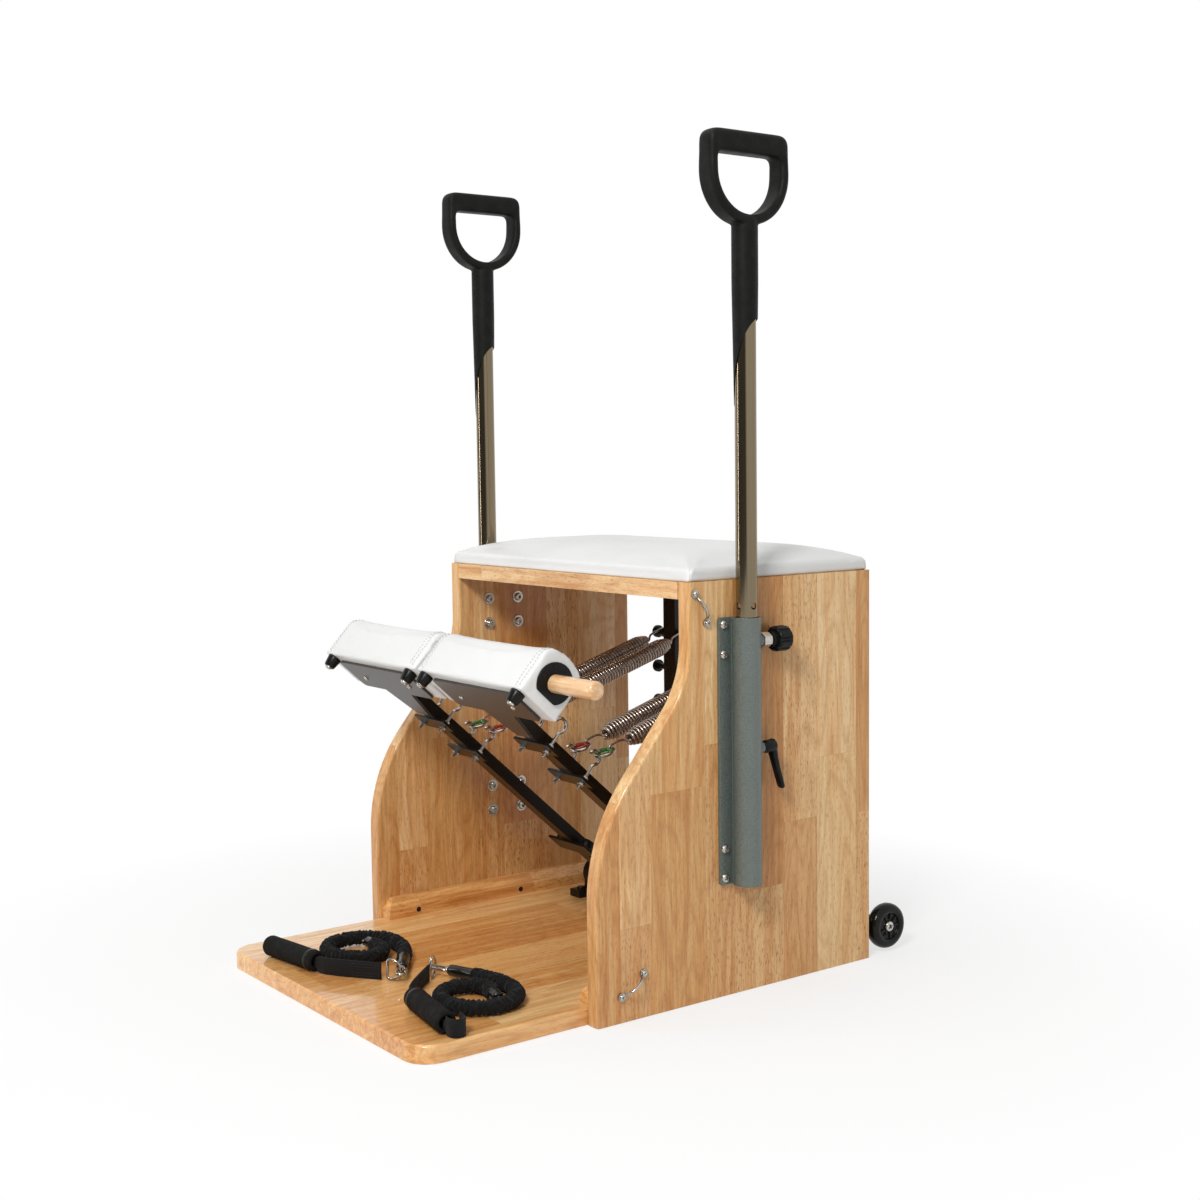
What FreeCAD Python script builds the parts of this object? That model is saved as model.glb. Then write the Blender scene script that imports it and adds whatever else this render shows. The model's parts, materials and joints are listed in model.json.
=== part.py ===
import FreeCAD, Part
import math
import os

# Pilates chair: a wooden box seat with two sprung foot pedals, two adjustable upright handles
# and two exercise bands lying on its base board.
# Millimetres. The origin is the centre of the base's underside, +X right, +Y rear, +Z up.

V = FreeCAD.Vector
X_AXIS = V(1, 0, 0)
Y_AXIS = V(0, 1, 0)
Z_AXIS = V(0, 0, 1)
ORIGIN = V(0, 0, 0)

# Boards
OVERALL_WIDTH = 611.0
BOARD_THICKNESS = 24.0
BASE_DEPTH = 770.0
BASE_CORNER_RADIUS = 38.0
BASE_EDGE_RADIUS = 4.0
PANEL_HEIGHT = 585.0
PANEL_FOOT_DEPTH = 510.0
PANEL_TOP_DEPTH = 348.0
PANEL_STRAIGHT_DROP = 85.0
PANEL_CURVE_TURN_DEG = 39.6
PANEL_UPPER_RADIUS = 140.0
PANEL_LOWER_RADIUS = 250.0
PANEL_EDGE_RADIUS = 4.0
CLEAT_WIDTH = 24.0
CLEAT_HEIGHT = 30.0
CLEAT_BEVEL = 14.0
CLEAT_SETBACK = 6.0
CLEAT_REAR_SETBACK = 60.0
CLEAT_SCREW_SETBACKS = (90.0, 270.0)

# Seat
PLYWOOD_THICKNESS = 12.0
PLYWOOD_INSET = 14.0
CUSHION_HEIGHT = 40.0
CUSHION_CORNER_RADIUS = 8.0
CUSHION_ROUNDING_SHARE = 0.3
CUSHION_DRAW_IN = 2.0
CUSHION_FOOT_INSET = 1.0
CUSHION_SIDE_HEIGHT = 15.0
CUSHION_SHOULDER_RADIUS = 5.0
CUSHION_SHOULDER_TURN_DEG = 62.0
CUSHION_SHOULDER_STEPS = 4
CUSHION_CROWN_SHARE = 0.69
CUSHION_CROWN_STEPS = 6
EDGE_ROUND_LIMIT_SHARE = 0.45

# Fasteners
SCREW_HEAD_RADIUS = 4.0
SCREW_HEAD_HEIGHT = 2.4
SCREW_RADIUS = 2.0
SCREW_LENGTH = 14.0
CLEAT_SCREW_LENGTH = 36.0
BOLT_RADIUS = 4.0
BOLT_HEAD_RADIUS = 6.5
BOLT_HEAD_HEIGHT = 4.0
NUT_FLATS = 13.0
NUT_HEIGHT = 6.5
WASHER_RADIUS = 10.0
WASHER_THICKNESS = 1.6
BOLT_END = 3.0
HEAD_ROUND_SHARE = 0.6
HOLE_CLEARANCE = 0.2
RUNNING_CLEARANCE = 0.06
SOFT_CLEARANCE = 0.3
OVERRUN = 5.0

# Spring posts and springs
PEDAL_X = 137.0
POST_WIDTH = 30.0
POST_DEPTH = 25.0
POST_PLATE_LENGTH = 84.0
POST_PLATE_THICKNESS = 4.0
POST_SCREW_INSET = 10.0
PEG_NECK_RADIUS = 5.0
PEG_NECK_LENGTH = 28.0
PEG_HEAD_RADIUS = 10.5
PEG_HEAD_THICKNESS = 5.0
PEG_TOP_DROP = 104.0
PEG_SPACING = 59.0
PEG_COUNT = 3
SPRING_OUTER_RADIUS = 14.5
SPRING_WIRE_RADIUS = 1.9
SPRING_TURNS = 25
SPRING_CONE_TURNS = 3
SPRING_CONE_RADIUS = 6.0
SPRING_LOWER_STRAIGHT = 20.0
SPRING_UPPER_STRAIGHT = 26.0
SPRING_BEND_RISE = 9.0
RING_OUTER_RADIUS = 16.0
RING_WIRE_RADIUS = 2.25

# Pivot
PIVOT_Y = 245.0
PIVOT_LIFT = 34.0
AXLE_RADIUS = 10.0
AXLE_OVERHANG = 16.0
BLOCK_WIDTH = 26.0
BLOCK_GAP = 2.0
BLOCK_RADIUS = 25.0
BLOCK_NECK_WIDTH = 44.0
BLOCK_FOOT_LENGTH = 104.0
BLOCK_FOOT_HEIGHT = 12.0
BLOCK_BOLT_SPREAD = 39.0
BLOCK_BOLT_LENGTH = 30.0

# Pedals, drawn with the arm level and then raised to rest
PEDAL_REST_DEG = 42.0
ARM_WIDTH = 28.0
ARM_HEIGHT = 18.0
ARM_WALL = 2.0
PAD_REACH = 573.0
ARM_SETBACK = 45.0
ARM_REACH = PAD_REACH - ARM_SETBACK
HUB_RADIUS = 18.0
HUB_LENGTH = 70.0
CROSS_THICKNESS = 4.0
HOOK_CROSS_LENGTH = 84.0
HOOK_CROSS_DEPTH = 26.0
HOOK_REACHES = (378.0, 456.0)
STOP_CROSS_LENGTH = 100.0
STOP_CROSS_DEPTH = 32.0
STOP_REACH = 112.0
BUFFER_RADIUS = 11.0
BUFFER_HEIGHT = 14.0
BUFFER_SPREAD = 34.0
PLATE_THICKNESS = 4.0
PLATE_HALF_WIDTH = 103.0
PLATE_LEAD = 24.0
PLATE_REACH = PAD_REACH + PLATE_LEAD
PLATE_SIDE_LENGTH = 60.0
PLATE_SHOULDER_HALF_WIDTH = 38.0
PLATE_NECK_LENGTH = 56.0
PLATE_NECK_MARGIN = 3.0
PLATE_CORNER_RADIUS = 8.0
PLATE_SCREW_SPREAD = 65.0
PLATE_SCREW_SETBACK = 11.0
PLATE_SCREW_REACH = PAD_REACH - PLATE_SCREW_SETBACK
PAD_LENGTH = 266.0
PAD_DEPTH = 78.0
PAD_HEIGHT = 80.0
PAD_CORNER_RADIUS = 20.0
PAD_CROWN = 3.0
PAD_DRAW_IN = 2.5
PAD_END_TAPER = 12.0
PAD_TAPER_SHARES = (0.0, 0.3, 1.0)
PAD_DRAW_SHARES = (1.0, 0.3, 0.0)
FOOT_SPREAD = 115.0
FOOT_LEAD = 27.0
FOOT_REACH = PAD_REACH + FOOT_LEAD
FOOT_TOP_RADIUS = 10.0
FOOT_TIP_RADIUS = 7.5
FOOT_HEIGHT = 24.0
FOOT_TIP_ROUND = 3.0
HOOK_WIRE_RADIUS = 2.5
HOOK_TAIL = 16.0
HOOK_SHANK = 22.0
HOOK_NECK_RADIUS = 8.0
HOOK_NECK_TURN_DEG = 45.0
HOOK_BOW_RADIUS = 10.0
HOOK_BOW_TURN_DEG = 215.0
HOOK_BOW_SHARES = (0.25, 0.5, 0.75)
HOOK_NUT_FLATS = 9.0
HOOK_NUT_HEIGHT = 5.0
SOCKET_LIFT = 37.0
SOCKET_RADIUS = 15.5
SOCKET_FLANGE_RADIUS = 22.0
SOCKET_FLANGE_THICKNESS = 3.0
SOCKET_FLAT_DROP = 17.0
SOCKET_SCREW_RADIUS = 18.5
SOCKET_SCREW_SHARES = (-0.02, 0.13, 0.37, 0.52)
SMALL_SCREW_HEAD_RADIUS = 2.2
SMALL_SCREW_HEAD_HEIGHT = 1.2
DOWEL_RADIUS = 12.5
DOWEL_LENGTH = 357.0
DOWEL_START = 8.0
DOWEL_CHAMFER = 2.0

# Handles
SLEEVE_SETBACK = 86.0
SLEEVE_OFFSET = 21.0
SLEEVE_RADIUS = 20.0
SLEEVE_BORE_RADIUS = 17.0
SLEEVE_DROP = 51.0
SLEEVE_LENGTH = 374.0
FLANGE_WIDTH = 72.0
FLANGE_THICKNESS = 5.0
FLANGE_CORNER_RADIUS = 4.0
LAND_WIDTH = 28.0
LAND_HEIGHT = 8.0
SLEEVE_BOLT_SPREAD = 28.5
SLEEVE_BOLT_INSETS = (10.0, 51.0)
BUSH_LENGTH = 20.0
BUSH_RECESS = 2.0
POLE_RADIUS = 15.0
POLE_WALL = 2.0
POLE_RISE = 10.0
POLE_LENGTH = 850.0
POLE_HOLE_RADIUS = 4.8
POLE_HOLE_SPACING = 50.0
POLE_HOLES_BELOW = 5
POLE_HOLES_ABOVE = 1
PIN_DROP = 34.0
PIN_RADIUS = 4.0
PIN_BOSS_RADIUS = 8.5
PIN_BOSS_LENGTH = 6.0
PIN_NUT_FLATS = 19.0
PIN_NUT_HEIGHT = 14.0
KNOB_COLLAR_RADIUS = 11.0
KNOB_COLLAR_LENGTH = 7.0
KNOB_RADIUS = 18.0
KNOB_LENGTH = 24.0
KNOB_ROUND = 4.0
KNOB_GAP = 2.0
KNOB_FLUTES = 8
KNOB_FLUTE_RADIUS = 3.0
LEVER_DROP = 184.0
LEVER_HUB_RADIUS = 9.0
LEVER_HUB_LENGTH = 24.0
LEVER_WIDTH = 12.0
LEVER_THICKNESS = 9.0
LEVER_TIP_THICKNESS = 6.0
LEVER_LENGTH = 62.0
LEVER_SLANT = 18.0
LEVER_ROUND = 2.0
TIP_CLEARANCE = 0.4
GRIP_RISE = 168.0
GRIP_HALF_LENGTH = 70.0
GRIP_THICKNESS = 33.0
GRIP_BAR_HEIGHT = 31.0
GRIP_LIMB_WIDTH = 14.0
GRIP_BOW_DROP = 54.0
GRIP_CORNER_RADIUS = 14.0
GRIP_INNER_CORNER_SHARE = 0.5
GRIP_ROUND = 6.0
GRIP_NECK_RADIUS = 18.0
GRIP_NECK_DROP = 179.0
GRIP_ARCH_RISE = 98.0
GRIP_TIP_DEPTH = 0.5

# Transport wheels
WHEEL_RADIUS = 34.5
WHEEL_WIDTH = 22.0
WHEEL_BEHIND = 46.0
WHEEL_LIFT = 4.0
WHEEL_RECESS_RADIUS = 20.0
WHEEL_RECESS_DEPTH = 5.0
WHEEL_ROUND = 4.0
WHEEL_AXLE_RADIUS = 5.0
WHEEL_AXLE_HEAD_RADIUS = 8.0
WHEEL_AXLE_HEAD_HEIGHT = 4.0
WHEEL_GAP = 0.5
BRACKET_THICKNESS = 4.0
BRACKET_ON_PANEL = 44.0
BRACKET_HEIGHT = 34.0
BRACKET_SCREW_INSET = 12.0

# Eye straps
EYE_SPAN = 46.0
EYE_FOOT_RADIUS = 6.0
EYE_FOOT_THICKNESS = 3.0
EYE_WIRE_RADIUS = 2.0
EYE_RISE = 13.0
EYE_HALF_ARCH = 18.0
UPPER_EYE_SETBACK = 20.5
UPPER_EYE_DROP = 36.5
UPPER_EYE_DEG = -62.9
LOWER_EYE_SETBACK = 58.0
LOWER_EYE_LIFT = 49.0
LOWER_EYE_DEG = 34.4

# Exercise bands
BAND_TUBE_RADIUS = 12.0
BAND_COIL_RADIUS = 53.0
BAND_LEAD_WIDENING = 22.0
BAND_LEAD_TURN_DEG = 60.0
BAND_ROUND_TURN_DEG = 280.0
BAND_END_TURN_DEG = 380.0
BAND_INNER_CLOSING = 24.0
BAND_CAP_RADIUS = 8.5
BAND_CAP_LENGTH = 45.0
BAND_INNER_CAP_LENGTH = 18.0
BAND_HOOK_WIRE_RADIUS = 2.0
BAND_HOOK_HALF_WIDTH = 6.5
BAND_HOOK_LENGTH = 26.0
BAND_RING_RADIUS = 16.0
BAND_RING_WIRE_RADIUS = 2.0
STRAP_HEIGHT = 25.0
STRAP_THICKNESS = 2.6
STRAP_BEND_RADIUS = 14.0
STUB_LEAD = 8.0
STUB_RADIUS = 11.0
STUB_RETURN = 16.0
FOAM_RADIUS = 15.5
FOAM_BORE_RADIUS = 9.0
FOAM_ROUND = 3.0
FOAM_LENGTH = 120.0
LEFT_COIL = (-118.0, -245.0)
LEFT_COIL_START_DEG = 27.0
LEFT_STRAP_DEG = 37.0
LEFT_STRAP_RUN = 83.0
LEFT_GRIP_DEG = 8.0
RIGHT_COIL = (179.0, -230.0)
RIGHT_COIL_START_DEG = 138.0
RIGHT_STRAP_DEG = 131.0
RIGHT_STRAP_RUN = 94.0
RIGHT_GRIP_DEG = 170.0
STRAP_LEAD = 24.0

# Places that follow from the sizes above
HALF_WIDTH = OVERALL_WIDTH / 2
INNER_X = HALF_WIDTH - BOARD_THICKNESS
REAR_Y = BASE_DEPTH / 2
FRONT_Y = -BASE_DEPTH / 2
PANEL_TOP_FRONT = REAR_Y - PANEL_TOP_DEPTH
PANEL_FOOT_FRONT = REAR_Y - PANEL_FOOT_DEPTH
TOP_BOARD_UNDER = PANEL_HEIGHT - BOARD_THICKNESS
POST_Y = REAR_Y - POST_DEPTH / 2
PEG_TOP_Z = TOP_BOARD_UNDER - PEG_TOP_DROP
SPRING_OFFSET = POST_WIDTH / 2 + PEG_NECK_LENGTH / 2
PIVOT_Z = BOARD_THICKNESS + PIVOT_LIFT
PIVOT = V(0, PIVOT_Y, PIVOT_Z)
BLOCK_OFFSET = HUB_LENGTH / 2 + BLOCK_GAP + BLOCK_WIDTH / 2
ARM_UNDER = -ARM_HEIGHT / 2
POLE_X = HALF_WIDTH + SLEEVE_OFFSET
SLEEVE_Y = PANEL_TOP_FRONT + SLEEVE_SETBACK
SLEEVE_TOP = PANEL_HEIGHT - SLEEVE_DROP
SLEEVE_BOTTOM = SLEEVE_TOP - SLEEVE_LENGTH
POLE_BOTTOM = SLEEVE_BOTTOM + POLE_RISE
POLE_TOP = POLE_BOTTOM + POLE_LENGTH
GRIP_TOP = POLE_TOP + GRIP_RISE
GRIP_NECK_BOTTOM = POLE_TOP - GRIP_NECK_DROP
PIN_Z = SLEEVE_TOP - PIN_DROP
LEVER_Z = SLEEVE_TOP - LEVER_DROP
BOSS_FACE = SLEEVE_Y + SLEEVE_RADIUS + PIN_BOSS_LENGTH
SOCKET_Z = ARM_UNDER + SOCKET_LIFT
WHEEL_Y = REAR_Y + WHEEL_BEHIND
WHEEL_Z = WHEEL_RADIUS + WHEEL_LIFT
BAND_Z = BOARD_THICKNESS + SOFT_CLEARANCE
SIDES = (("left", -1), ("right", 1))


def box(low, high):
    """Box between two corners."""
    size = [b - a for a, b in zip(low, high)]
    return Part.makeBox(*size, V(*low))


def rod(start, direction, radius, length):
    """Round bar from a point along a direction."""
    return Part.makeCylinder(radius, length, V(*start), V(*direction))


def hole(start, direction, radius, length):
    """Cutting rod that overruns both ends of its length."""
    along = V(*direction).normalize()
    return rod(V(*start) - along * OVERRUN, along, radius, length + 2 * OVERRUN)


def pipe(start, direction, outer, inner, length):
    """Round tube."""
    return rod(start, direction, outer, length).cut(hole(start, direction, inner, length))


def slab(points, along):
    """Flat outline through points, extruded along a vector."""
    corners = [V(*p) for p in points]
    return Part.Face(Part.makePolygon(corners + corners[:1])).extrude(V(*along))


def joined(shapes):
    """One solid out of overlapping ones."""
    return shapes[0].multiFuse(shapes[1:]).removeSplitter()


def bored(shape, cutters):
    """Shape less all cutters."""
    for cutter in cutters:
        shape = shape.cut(cutter)
    return shape


def mirrored(shapes, sign):
    """Shapes of the right side, or their mirror images on the left."""
    if sign > 0:
        return shapes
    return [shape.mirror(ORIGIN, X_AXIS) for shape in shapes]


def aimed(shape, place, direction):
    """Shape drawn along +Z at the origin, put at a place and turned to a direction."""
    turned = shape.copy()
    turned.Placement = FreeCAD.Placement(V(*place), FreeCAD.Rotation(Z_AXIS, V(*direction)))
    return turned


def softened(shape, radius, chosen):
    """Fillet on the edges that a test chooses."""
    return shape.makeFillet(radius, [edge for edge in shape.Edges if chosen(edge)])


def hexagon(flats, height):
    """Six-sided prism on the XY plane."""
    corner = flats / math.sqrt(3)
    points = [(corner * math.cos(a), corner * math.sin(a), 0) for a in
              (math.radians(60 * k) for k in range(6))]
    return slab(points, (0, 0, height))


def headed(head_radius, head_height, shank_radius, length):
    """Screw or bolt with a rounded head: head above the XY plane, shank below."""
    head = Part.makeCylinder(head_radius, head_height)
    head = softened(head, head_height * HEAD_ROUND_SHARE, lambda e: e.BoundBox.ZMin > head_height / 2)
    return joined([head, rod((0, 0, -length), Z_AXIS, shank_radius, length)])


def screw(place, direction, length=SCREW_LENGTH):
    """Wood screw whose head stands on a surface at a place, facing a direction."""
    return aimed(headed(SCREW_HEAD_RADIUS, SCREW_HEAD_HEIGHT, SCREW_RADIUS, length), place, direction)


def screw_hole(place, direction, length=SCREW_LENGTH):
    """Hole for such a screw."""
    back = -V(*direction).normalize()
    depth = length + OVERRUN + HOLE_CLEARANCE
    return rod(V(*place) - back * OVERRUN, back, SCREW_RADIUS + HOLE_CLEARANCE, depth)


def arc_edge(start, heading, end):
    """Arc, or line where it is straight, leaving a point in a heading and ending at another point."""
    chord = end - start
    along = V(chord).normalize()
    side = heading - along * heading.dot(along)
    if side.Length < 1e-6:
        return Part.makeLine(start, end)
    lean = math.atan2(side.Length, heading.dot(along))
    middle = (start + end) * 0.5 + side.normalize() * (chord.Length / 2 * math.tan(lean / 2))
    return Part.Arc(start, middle, end).toShape()


def biarc(start, heading, end, end_heading):
    """Two tangent arcs between two points with given headings."""
    chord = end - start
    total = heading + end_heading
    spread = 2 * (1 - heading.dot(end_heading))
    reach = chord.dot(total)
    if spread < 1e-9:
        step = chord.dot(chord) / (2 * reach)
    else:
        step = (math.sqrt(reach * reach + spread * chord.dot(chord)) - reach) / spread
    joint = (start + end + (heading - end_heading) * step) * 0.5
    joint_heading = ((end - end_heading * step) - (start + heading * step)).normalize()
    return [arc_edge(start, heading, joint), arc_edge(joint, joint_heading, end)]


def through(stations):
    """Path of biarcs through points with headings; a pair that is in line gets a straight run."""
    edges = []
    for (start, heading), (end, end_heading) in zip(stations, stations[1:]):
        across = (end - start).cross(heading).Length + heading.cross(end_heading).Length
        if across < 1e-6:
            edges.append(Part.makeLine(start, end))
        else:
            edges.extend(biarc(start, heading, end, end_heading))
    return Part.Wire(edges)


def round_tube(path, heading, radius):
    """Tube of one radius swept along a path that starts in a heading."""
    start = path.OrderedVertexes[0].Point
    ring = Part.Wire(Part.makeCircle(radius, start, heading))
    tube = path.makePipeShell([ring], True, False)
    section = math.pi * radius * radius
    print("swept tube: volume over section times length %.4f" % (tube.Volume / (section * path.Length)))
    return tube


def self_gap(path, radius):
    """Least clear gap between stretches of one tube, measured on points along its path."""
    step = radius / 2
    points = path.discretize(Distance=step)
    apart = int(3 * math.pi * radius / step)
    least = min(points[i].distanceToPoint(points[j]) for i in range(len(points))
                for j in range(i + apart, len(points)))
    return least - 2 * radius


def panel_outline():
    """Side view of a panel: straight upper front edge, S-curve, straight toe."""
    turn = math.radians(PANEL_CURVE_TURN_DEG)
    forward = math.sin(turn)
    down = math.cos(turn)
    bend = PANEL_FOOT_DEPTH - PANEL_TOP_DEPTH - (PANEL_UPPER_RADIUS + PANEL_LOWER_RADIUS) * (1 - down)
    slope = bend / forward
    curve_top = PANEL_HEIGHT - PANEL_STRAIGHT_DROP
    upper_centre = V(0, PANEL_TOP_FRONT - PANEL_UPPER_RADIUS, curve_top)
    slope_top = upper_centre + V(0, down, -forward) * PANEL_UPPER_RADIUS
    slope_foot = slope_top + V(0, -forward, -down) * slope
    lower_centre = slope_foot + V(0, down, -forward) * PANEL_LOWER_RADIUS
    half = turn / 2
    upper_middle = upper_centre + V(0, math.cos(half), -math.sin(half)) * PANEL_UPPER_RADIUS
    lower_middle = lower_centre + V(0, -math.cos(half), math.sin(half)) * PANEL_LOWER_RADIUS
    toe = V(0, PANEL_FOOT_FRONT, lower_centre.z)
    rear_foot = V(0, REAR_Y, 0)
    rear_top = V(0, REAR_Y, PANEL_HEIGHT)
    front_top = V(0, PANEL_TOP_FRONT, PANEL_HEIGHT)
    front_curve = V(0, PANEL_TOP_FRONT, curve_top)
    front_foot = V(0, PANEL_FOOT_FRONT, 0)
    return Part.Wire([
        Part.makeLine(rear_foot, rear_top),
        Part.makeLine(rear_top, front_top),
        Part.makeLine(front_top, front_curve),
        Part.Arc(front_curve, upper_middle, slope_top).toShape(),
        Part.makeLine(slope_top, slope_foot),
        Part.Arc(slope_foot, lower_middle, toe).toShape(),
        Part.makeLine(toe, front_foot),
        Part.makeLine(front_foot, rear_foot),
    ])


def eye_places():
    """Middle and slope of the two eye straps of one panel."""
    upper = (PANEL_TOP_FRONT + UPPER_EYE_SETBACK, PANEL_HEIGHT - UPPER_EYE_DROP, UPPER_EYE_DEG)
    lower = (PANEL_FOOT_FRONT + LOWER_EYE_SETBACK, LOWER_EYE_LIFT, LOWER_EYE_DEG)
    return (upper, lower)


def eye_screw_places(sign):
    """Screw places of the eye straps on one side, on the tops of their feet."""
    places = []
    for y, z, slope in eye_places():
        along = V(0, math.cos(math.radians(slope)), math.sin(math.radians(slope)))
        for end in (-1, 1):
            spot = V(0, y, z) + along * (end * EYE_SPAN / 2)
            places.append((sign * (HALF_WIDTH + EYE_FOOT_THICKNESS), spot.y, spot.z))
    return places


def sleeve_bolt_places(sign):
    """Bolt places of one sleeve on the outer face of its flange."""
    heights = [SLEEVE_TOP - inset for inset in SLEEVE_BOLT_INSETS]
    heights += [SLEEVE_BOTTOM + inset for inset in SLEEVE_BOLT_INSETS]
    x = sign * (HALF_WIDTH + FLANGE_THICKNESS)
    return [(x, SLEEVE_Y + end * SLEEVE_BOLT_SPREAD, z) for z in heights for end in (-1, 1)]


def bracket_screw_places(sign):
    """Screw places of a wheel bracket on its inner face."""
    x = sign * (INNER_X - BRACKET_THICKNESS)
    front = REAR_Y - BRACKET_ON_PANEL + BRACKET_SCREW_INSET
    return [(x, y, WHEEL_Z) for y in (front, REAR_Y - BRACKET_SCREW_INSET)]


def cleat_screw_places(sign):
    """Screw places on the level top of a cleat."""
    x = sign * (INNER_X - (CLEAT_WIDTH - CLEAT_BEVEL) / 2)
    return [(x, PANEL_FOOT_FRONT + back, BOARD_THICKNESS + CLEAT_HEIGHT) for back in CLEAT_SCREW_SETBACKS]


def post_screw_places(sign):
    """Screw places and facings on the foot and head plates of a post."""
    reach = POST_PLATE_LENGTH / 2 - POST_SCREW_INSET
    places = []
    for end in (-1, 1):
        x = sign * PEDAL_X + end * reach
        places.append(((x, POST_Y, BOARD_THICKNESS + POST_PLATE_THICKNESS), (0, 0, 1)))
        places.append(((x, POST_Y, TOP_BOARD_UNDER - POST_PLATE_THICKNESS), (0, 0, -1)))
    return places


def block_bolt_places():
    """Bolt places on the feet of the pillow blocks."""
    z = BOARD_THICKNESS + BLOCK_FOOT_HEIGHT
    return [(side * PEDAL_X + end * BLOCK_OFFSET, PIVOT_Y + spread * BLOCK_BOLT_SPREAD, z)
            for side in (-1, 1) for end in (-1, 1) for spread in (-1, 1)]


def side_panel(sign):
    """Side panel of one side, with its bolt and screw holes."""
    panel = Part.Face(panel_outline()).extrude(V(BOARD_THICKNESS, 0, 0))
    round_radius = min(PANEL_EDGE_RADIUS, BOARD_THICKNESS * EDGE_ROUND_LIMIT_SHARE)
    panel = softened(panel, round_radius, lambda e: e.BoundBox.XLength < round_radius
                     and e.BoundBox.ZLength > round_radius)
    panel.translate(V(INNER_X, 0, 0))
    cutters = [hole((INNER_X, y, z), X_AXIS, BOLT_RADIUS + HOLE_CLEARANCE, BOARD_THICKNESS)
               for _, y, z in sleeve_bolt_places(1)]
    cutters += [screw_hole(place, X_AXIS) for place in eye_screw_places(1)]
    cutters += [screw_hole(place, -X_AXIS) for place in bracket_screw_places(1)]
    return mirrored([bored(panel, cutters)], sign)


def base_board():
    """Base board with rounded front corners and a softened top edge."""
    board = box((-INNER_X, FRONT_Y, 0), (INNER_X, REAR_Y, BOARD_THICKNESS))
    board = softened(board, BASE_CORNER_RADIUS, lambda e: e.BoundBox.ZLength > BOARD_THICKNESS / 2
                     and e.CenterOfMass.y < 0)
    edge_radius = min(BASE_EDGE_RADIUS, BOARD_THICKNESS * EDGE_ROUND_LIMIT_SHARE)
    board = softened(board, edge_radius, lambda e: e.BoundBox.ZMin > BOARD_THICKNESS - edge_radius
                     and e.BoundBox.YMin < REAR_Y - edge_radius)
    cutters = []
    for _, sign in SIDES:
        cutters += [screw_hole(place, Z_AXIS, CLEAT_SCREW_LENGTH) for place in cleat_screw_places(sign)]
        cutters += [screw_hole(place, facing) for place, facing in post_screw_places(sign)]
    cutters += [rod((x, y, z - BLOCK_BOLT_LENGTH - HOLE_CLEARANCE), Z_AXIS, BOLT_RADIUS + HOLE_CLEARANCE,
                    BLOCK_BOLT_LENGTH) for x, y, z in block_bolt_places()]
    return [bored(board, cutters)]


def top_board():
    """Board between the panels under the seat."""
    board = box((-INNER_X, PANEL_TOP_FRONT, TOP_BOARD_UNDER), (INNER_X, REAR_Y, PANEL_HEIGHT))
    cutters = [screw_hole(place, facing) for _, sign in SIDES for place, facing in post_screw_places(sign)]
    return [bored(board, cutters)]


def base_cleats():
    """Bevelled battens along the base and the inner faces of the panels."""
    front = PANEL_FOOT_FRONT + CLEAT_SETBACK
    length = REAR_Y - CLEAT_REAR_SETBACK - front
    top = BOARD_THICKNESS + CLEAT_HEIGHT
    side = INNER_X - CLEAT_WIDTH
    section = [
        (INNER_X, front, BOARD_THICKNESS),
        (side, front, BOARD_THICKNESS),
        (side, front, top - CLEAT_BEVEL),
        (side + CLEAT_BEVEL, front, top),
        (INNER_X, front, top),
    ]
    batten = slab(section, (0, length, 0))
    nose = [
        (side - OVERRUN, front - OVERRUN, top - CLEAT_BEVEL - OVERRUN),
        (side - OVERRUN, front - OVERRUN, top + OVERRUN),
        (side - OVERRUN, front + CLEAT_BEVEL + OVERRUN, top + OVERRUN),
    ]
    batten = batten.cut(slab(nose, (CLEAT_WIDTH + 2 * OVERRUN, 0, 0)))
    batten = bored(batten, [screw_hole(place, Z_AXIS, CLEAT_SCREW_LENGTH) for place in cleat_screw_places(1)])
    return mirrored([batten], 1) + mirrored([batten], -1)


def seat_plywood():
    """Plywood that carries the cushion."""
    inset = PLYWOOD_INSET
    low = (-HALF_WIDTH + inset, PANEL_TOP_FRONT + inset, PANEL_HEIGHT)
    high = (HALF_WIDTH - inset, REAR_Y - inset, PANEL_HEIGHT + PLYWOOD_THICKNESS)
    return [box(low, high)]


def cushion_outline(inset, z):
    """Rounded seat outline whose sides are drawn in between the corners."""
    radius = CUSHION_CORNER_RADIUS + inset * CUSHION_ROUNDING_SHARE
    half_x = HALF_WIDTH - inset
    half_y = PANEL_TOP_DEPTH / 2 - inset
    middle_y = REAR_Y - PANEL_TOP_DEPTH / 2
    diagonal = radius * (1 - math.sqrt(0.5))
    edges = []
    for quarter in range(4):
        turn = math.radians(90 * quarter)
        long, wide = (half_x, half_y) if quarter % 2 == 0 else (half_y, half_x)
        spots = [V(long, radius - wide, z), V(long - CUSHION_DRAW_IN, 0, z), V(long, wide - radius, z),
                 V(long - diagonal, wide - diagonal, z), V(long - radius, wide, z)]
        spots = [FreeCAD.Rotation(Z_AXIS, math.degrees(turn)).multVec(s) + V(0, middle_y, 0) for s in spots]
        edges.append(Part.Arc(*spots[:3]).toShape())
        edges.append(Part.Arc(*spots[2:]).toShape())
    return Part.Wire(edges)


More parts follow.
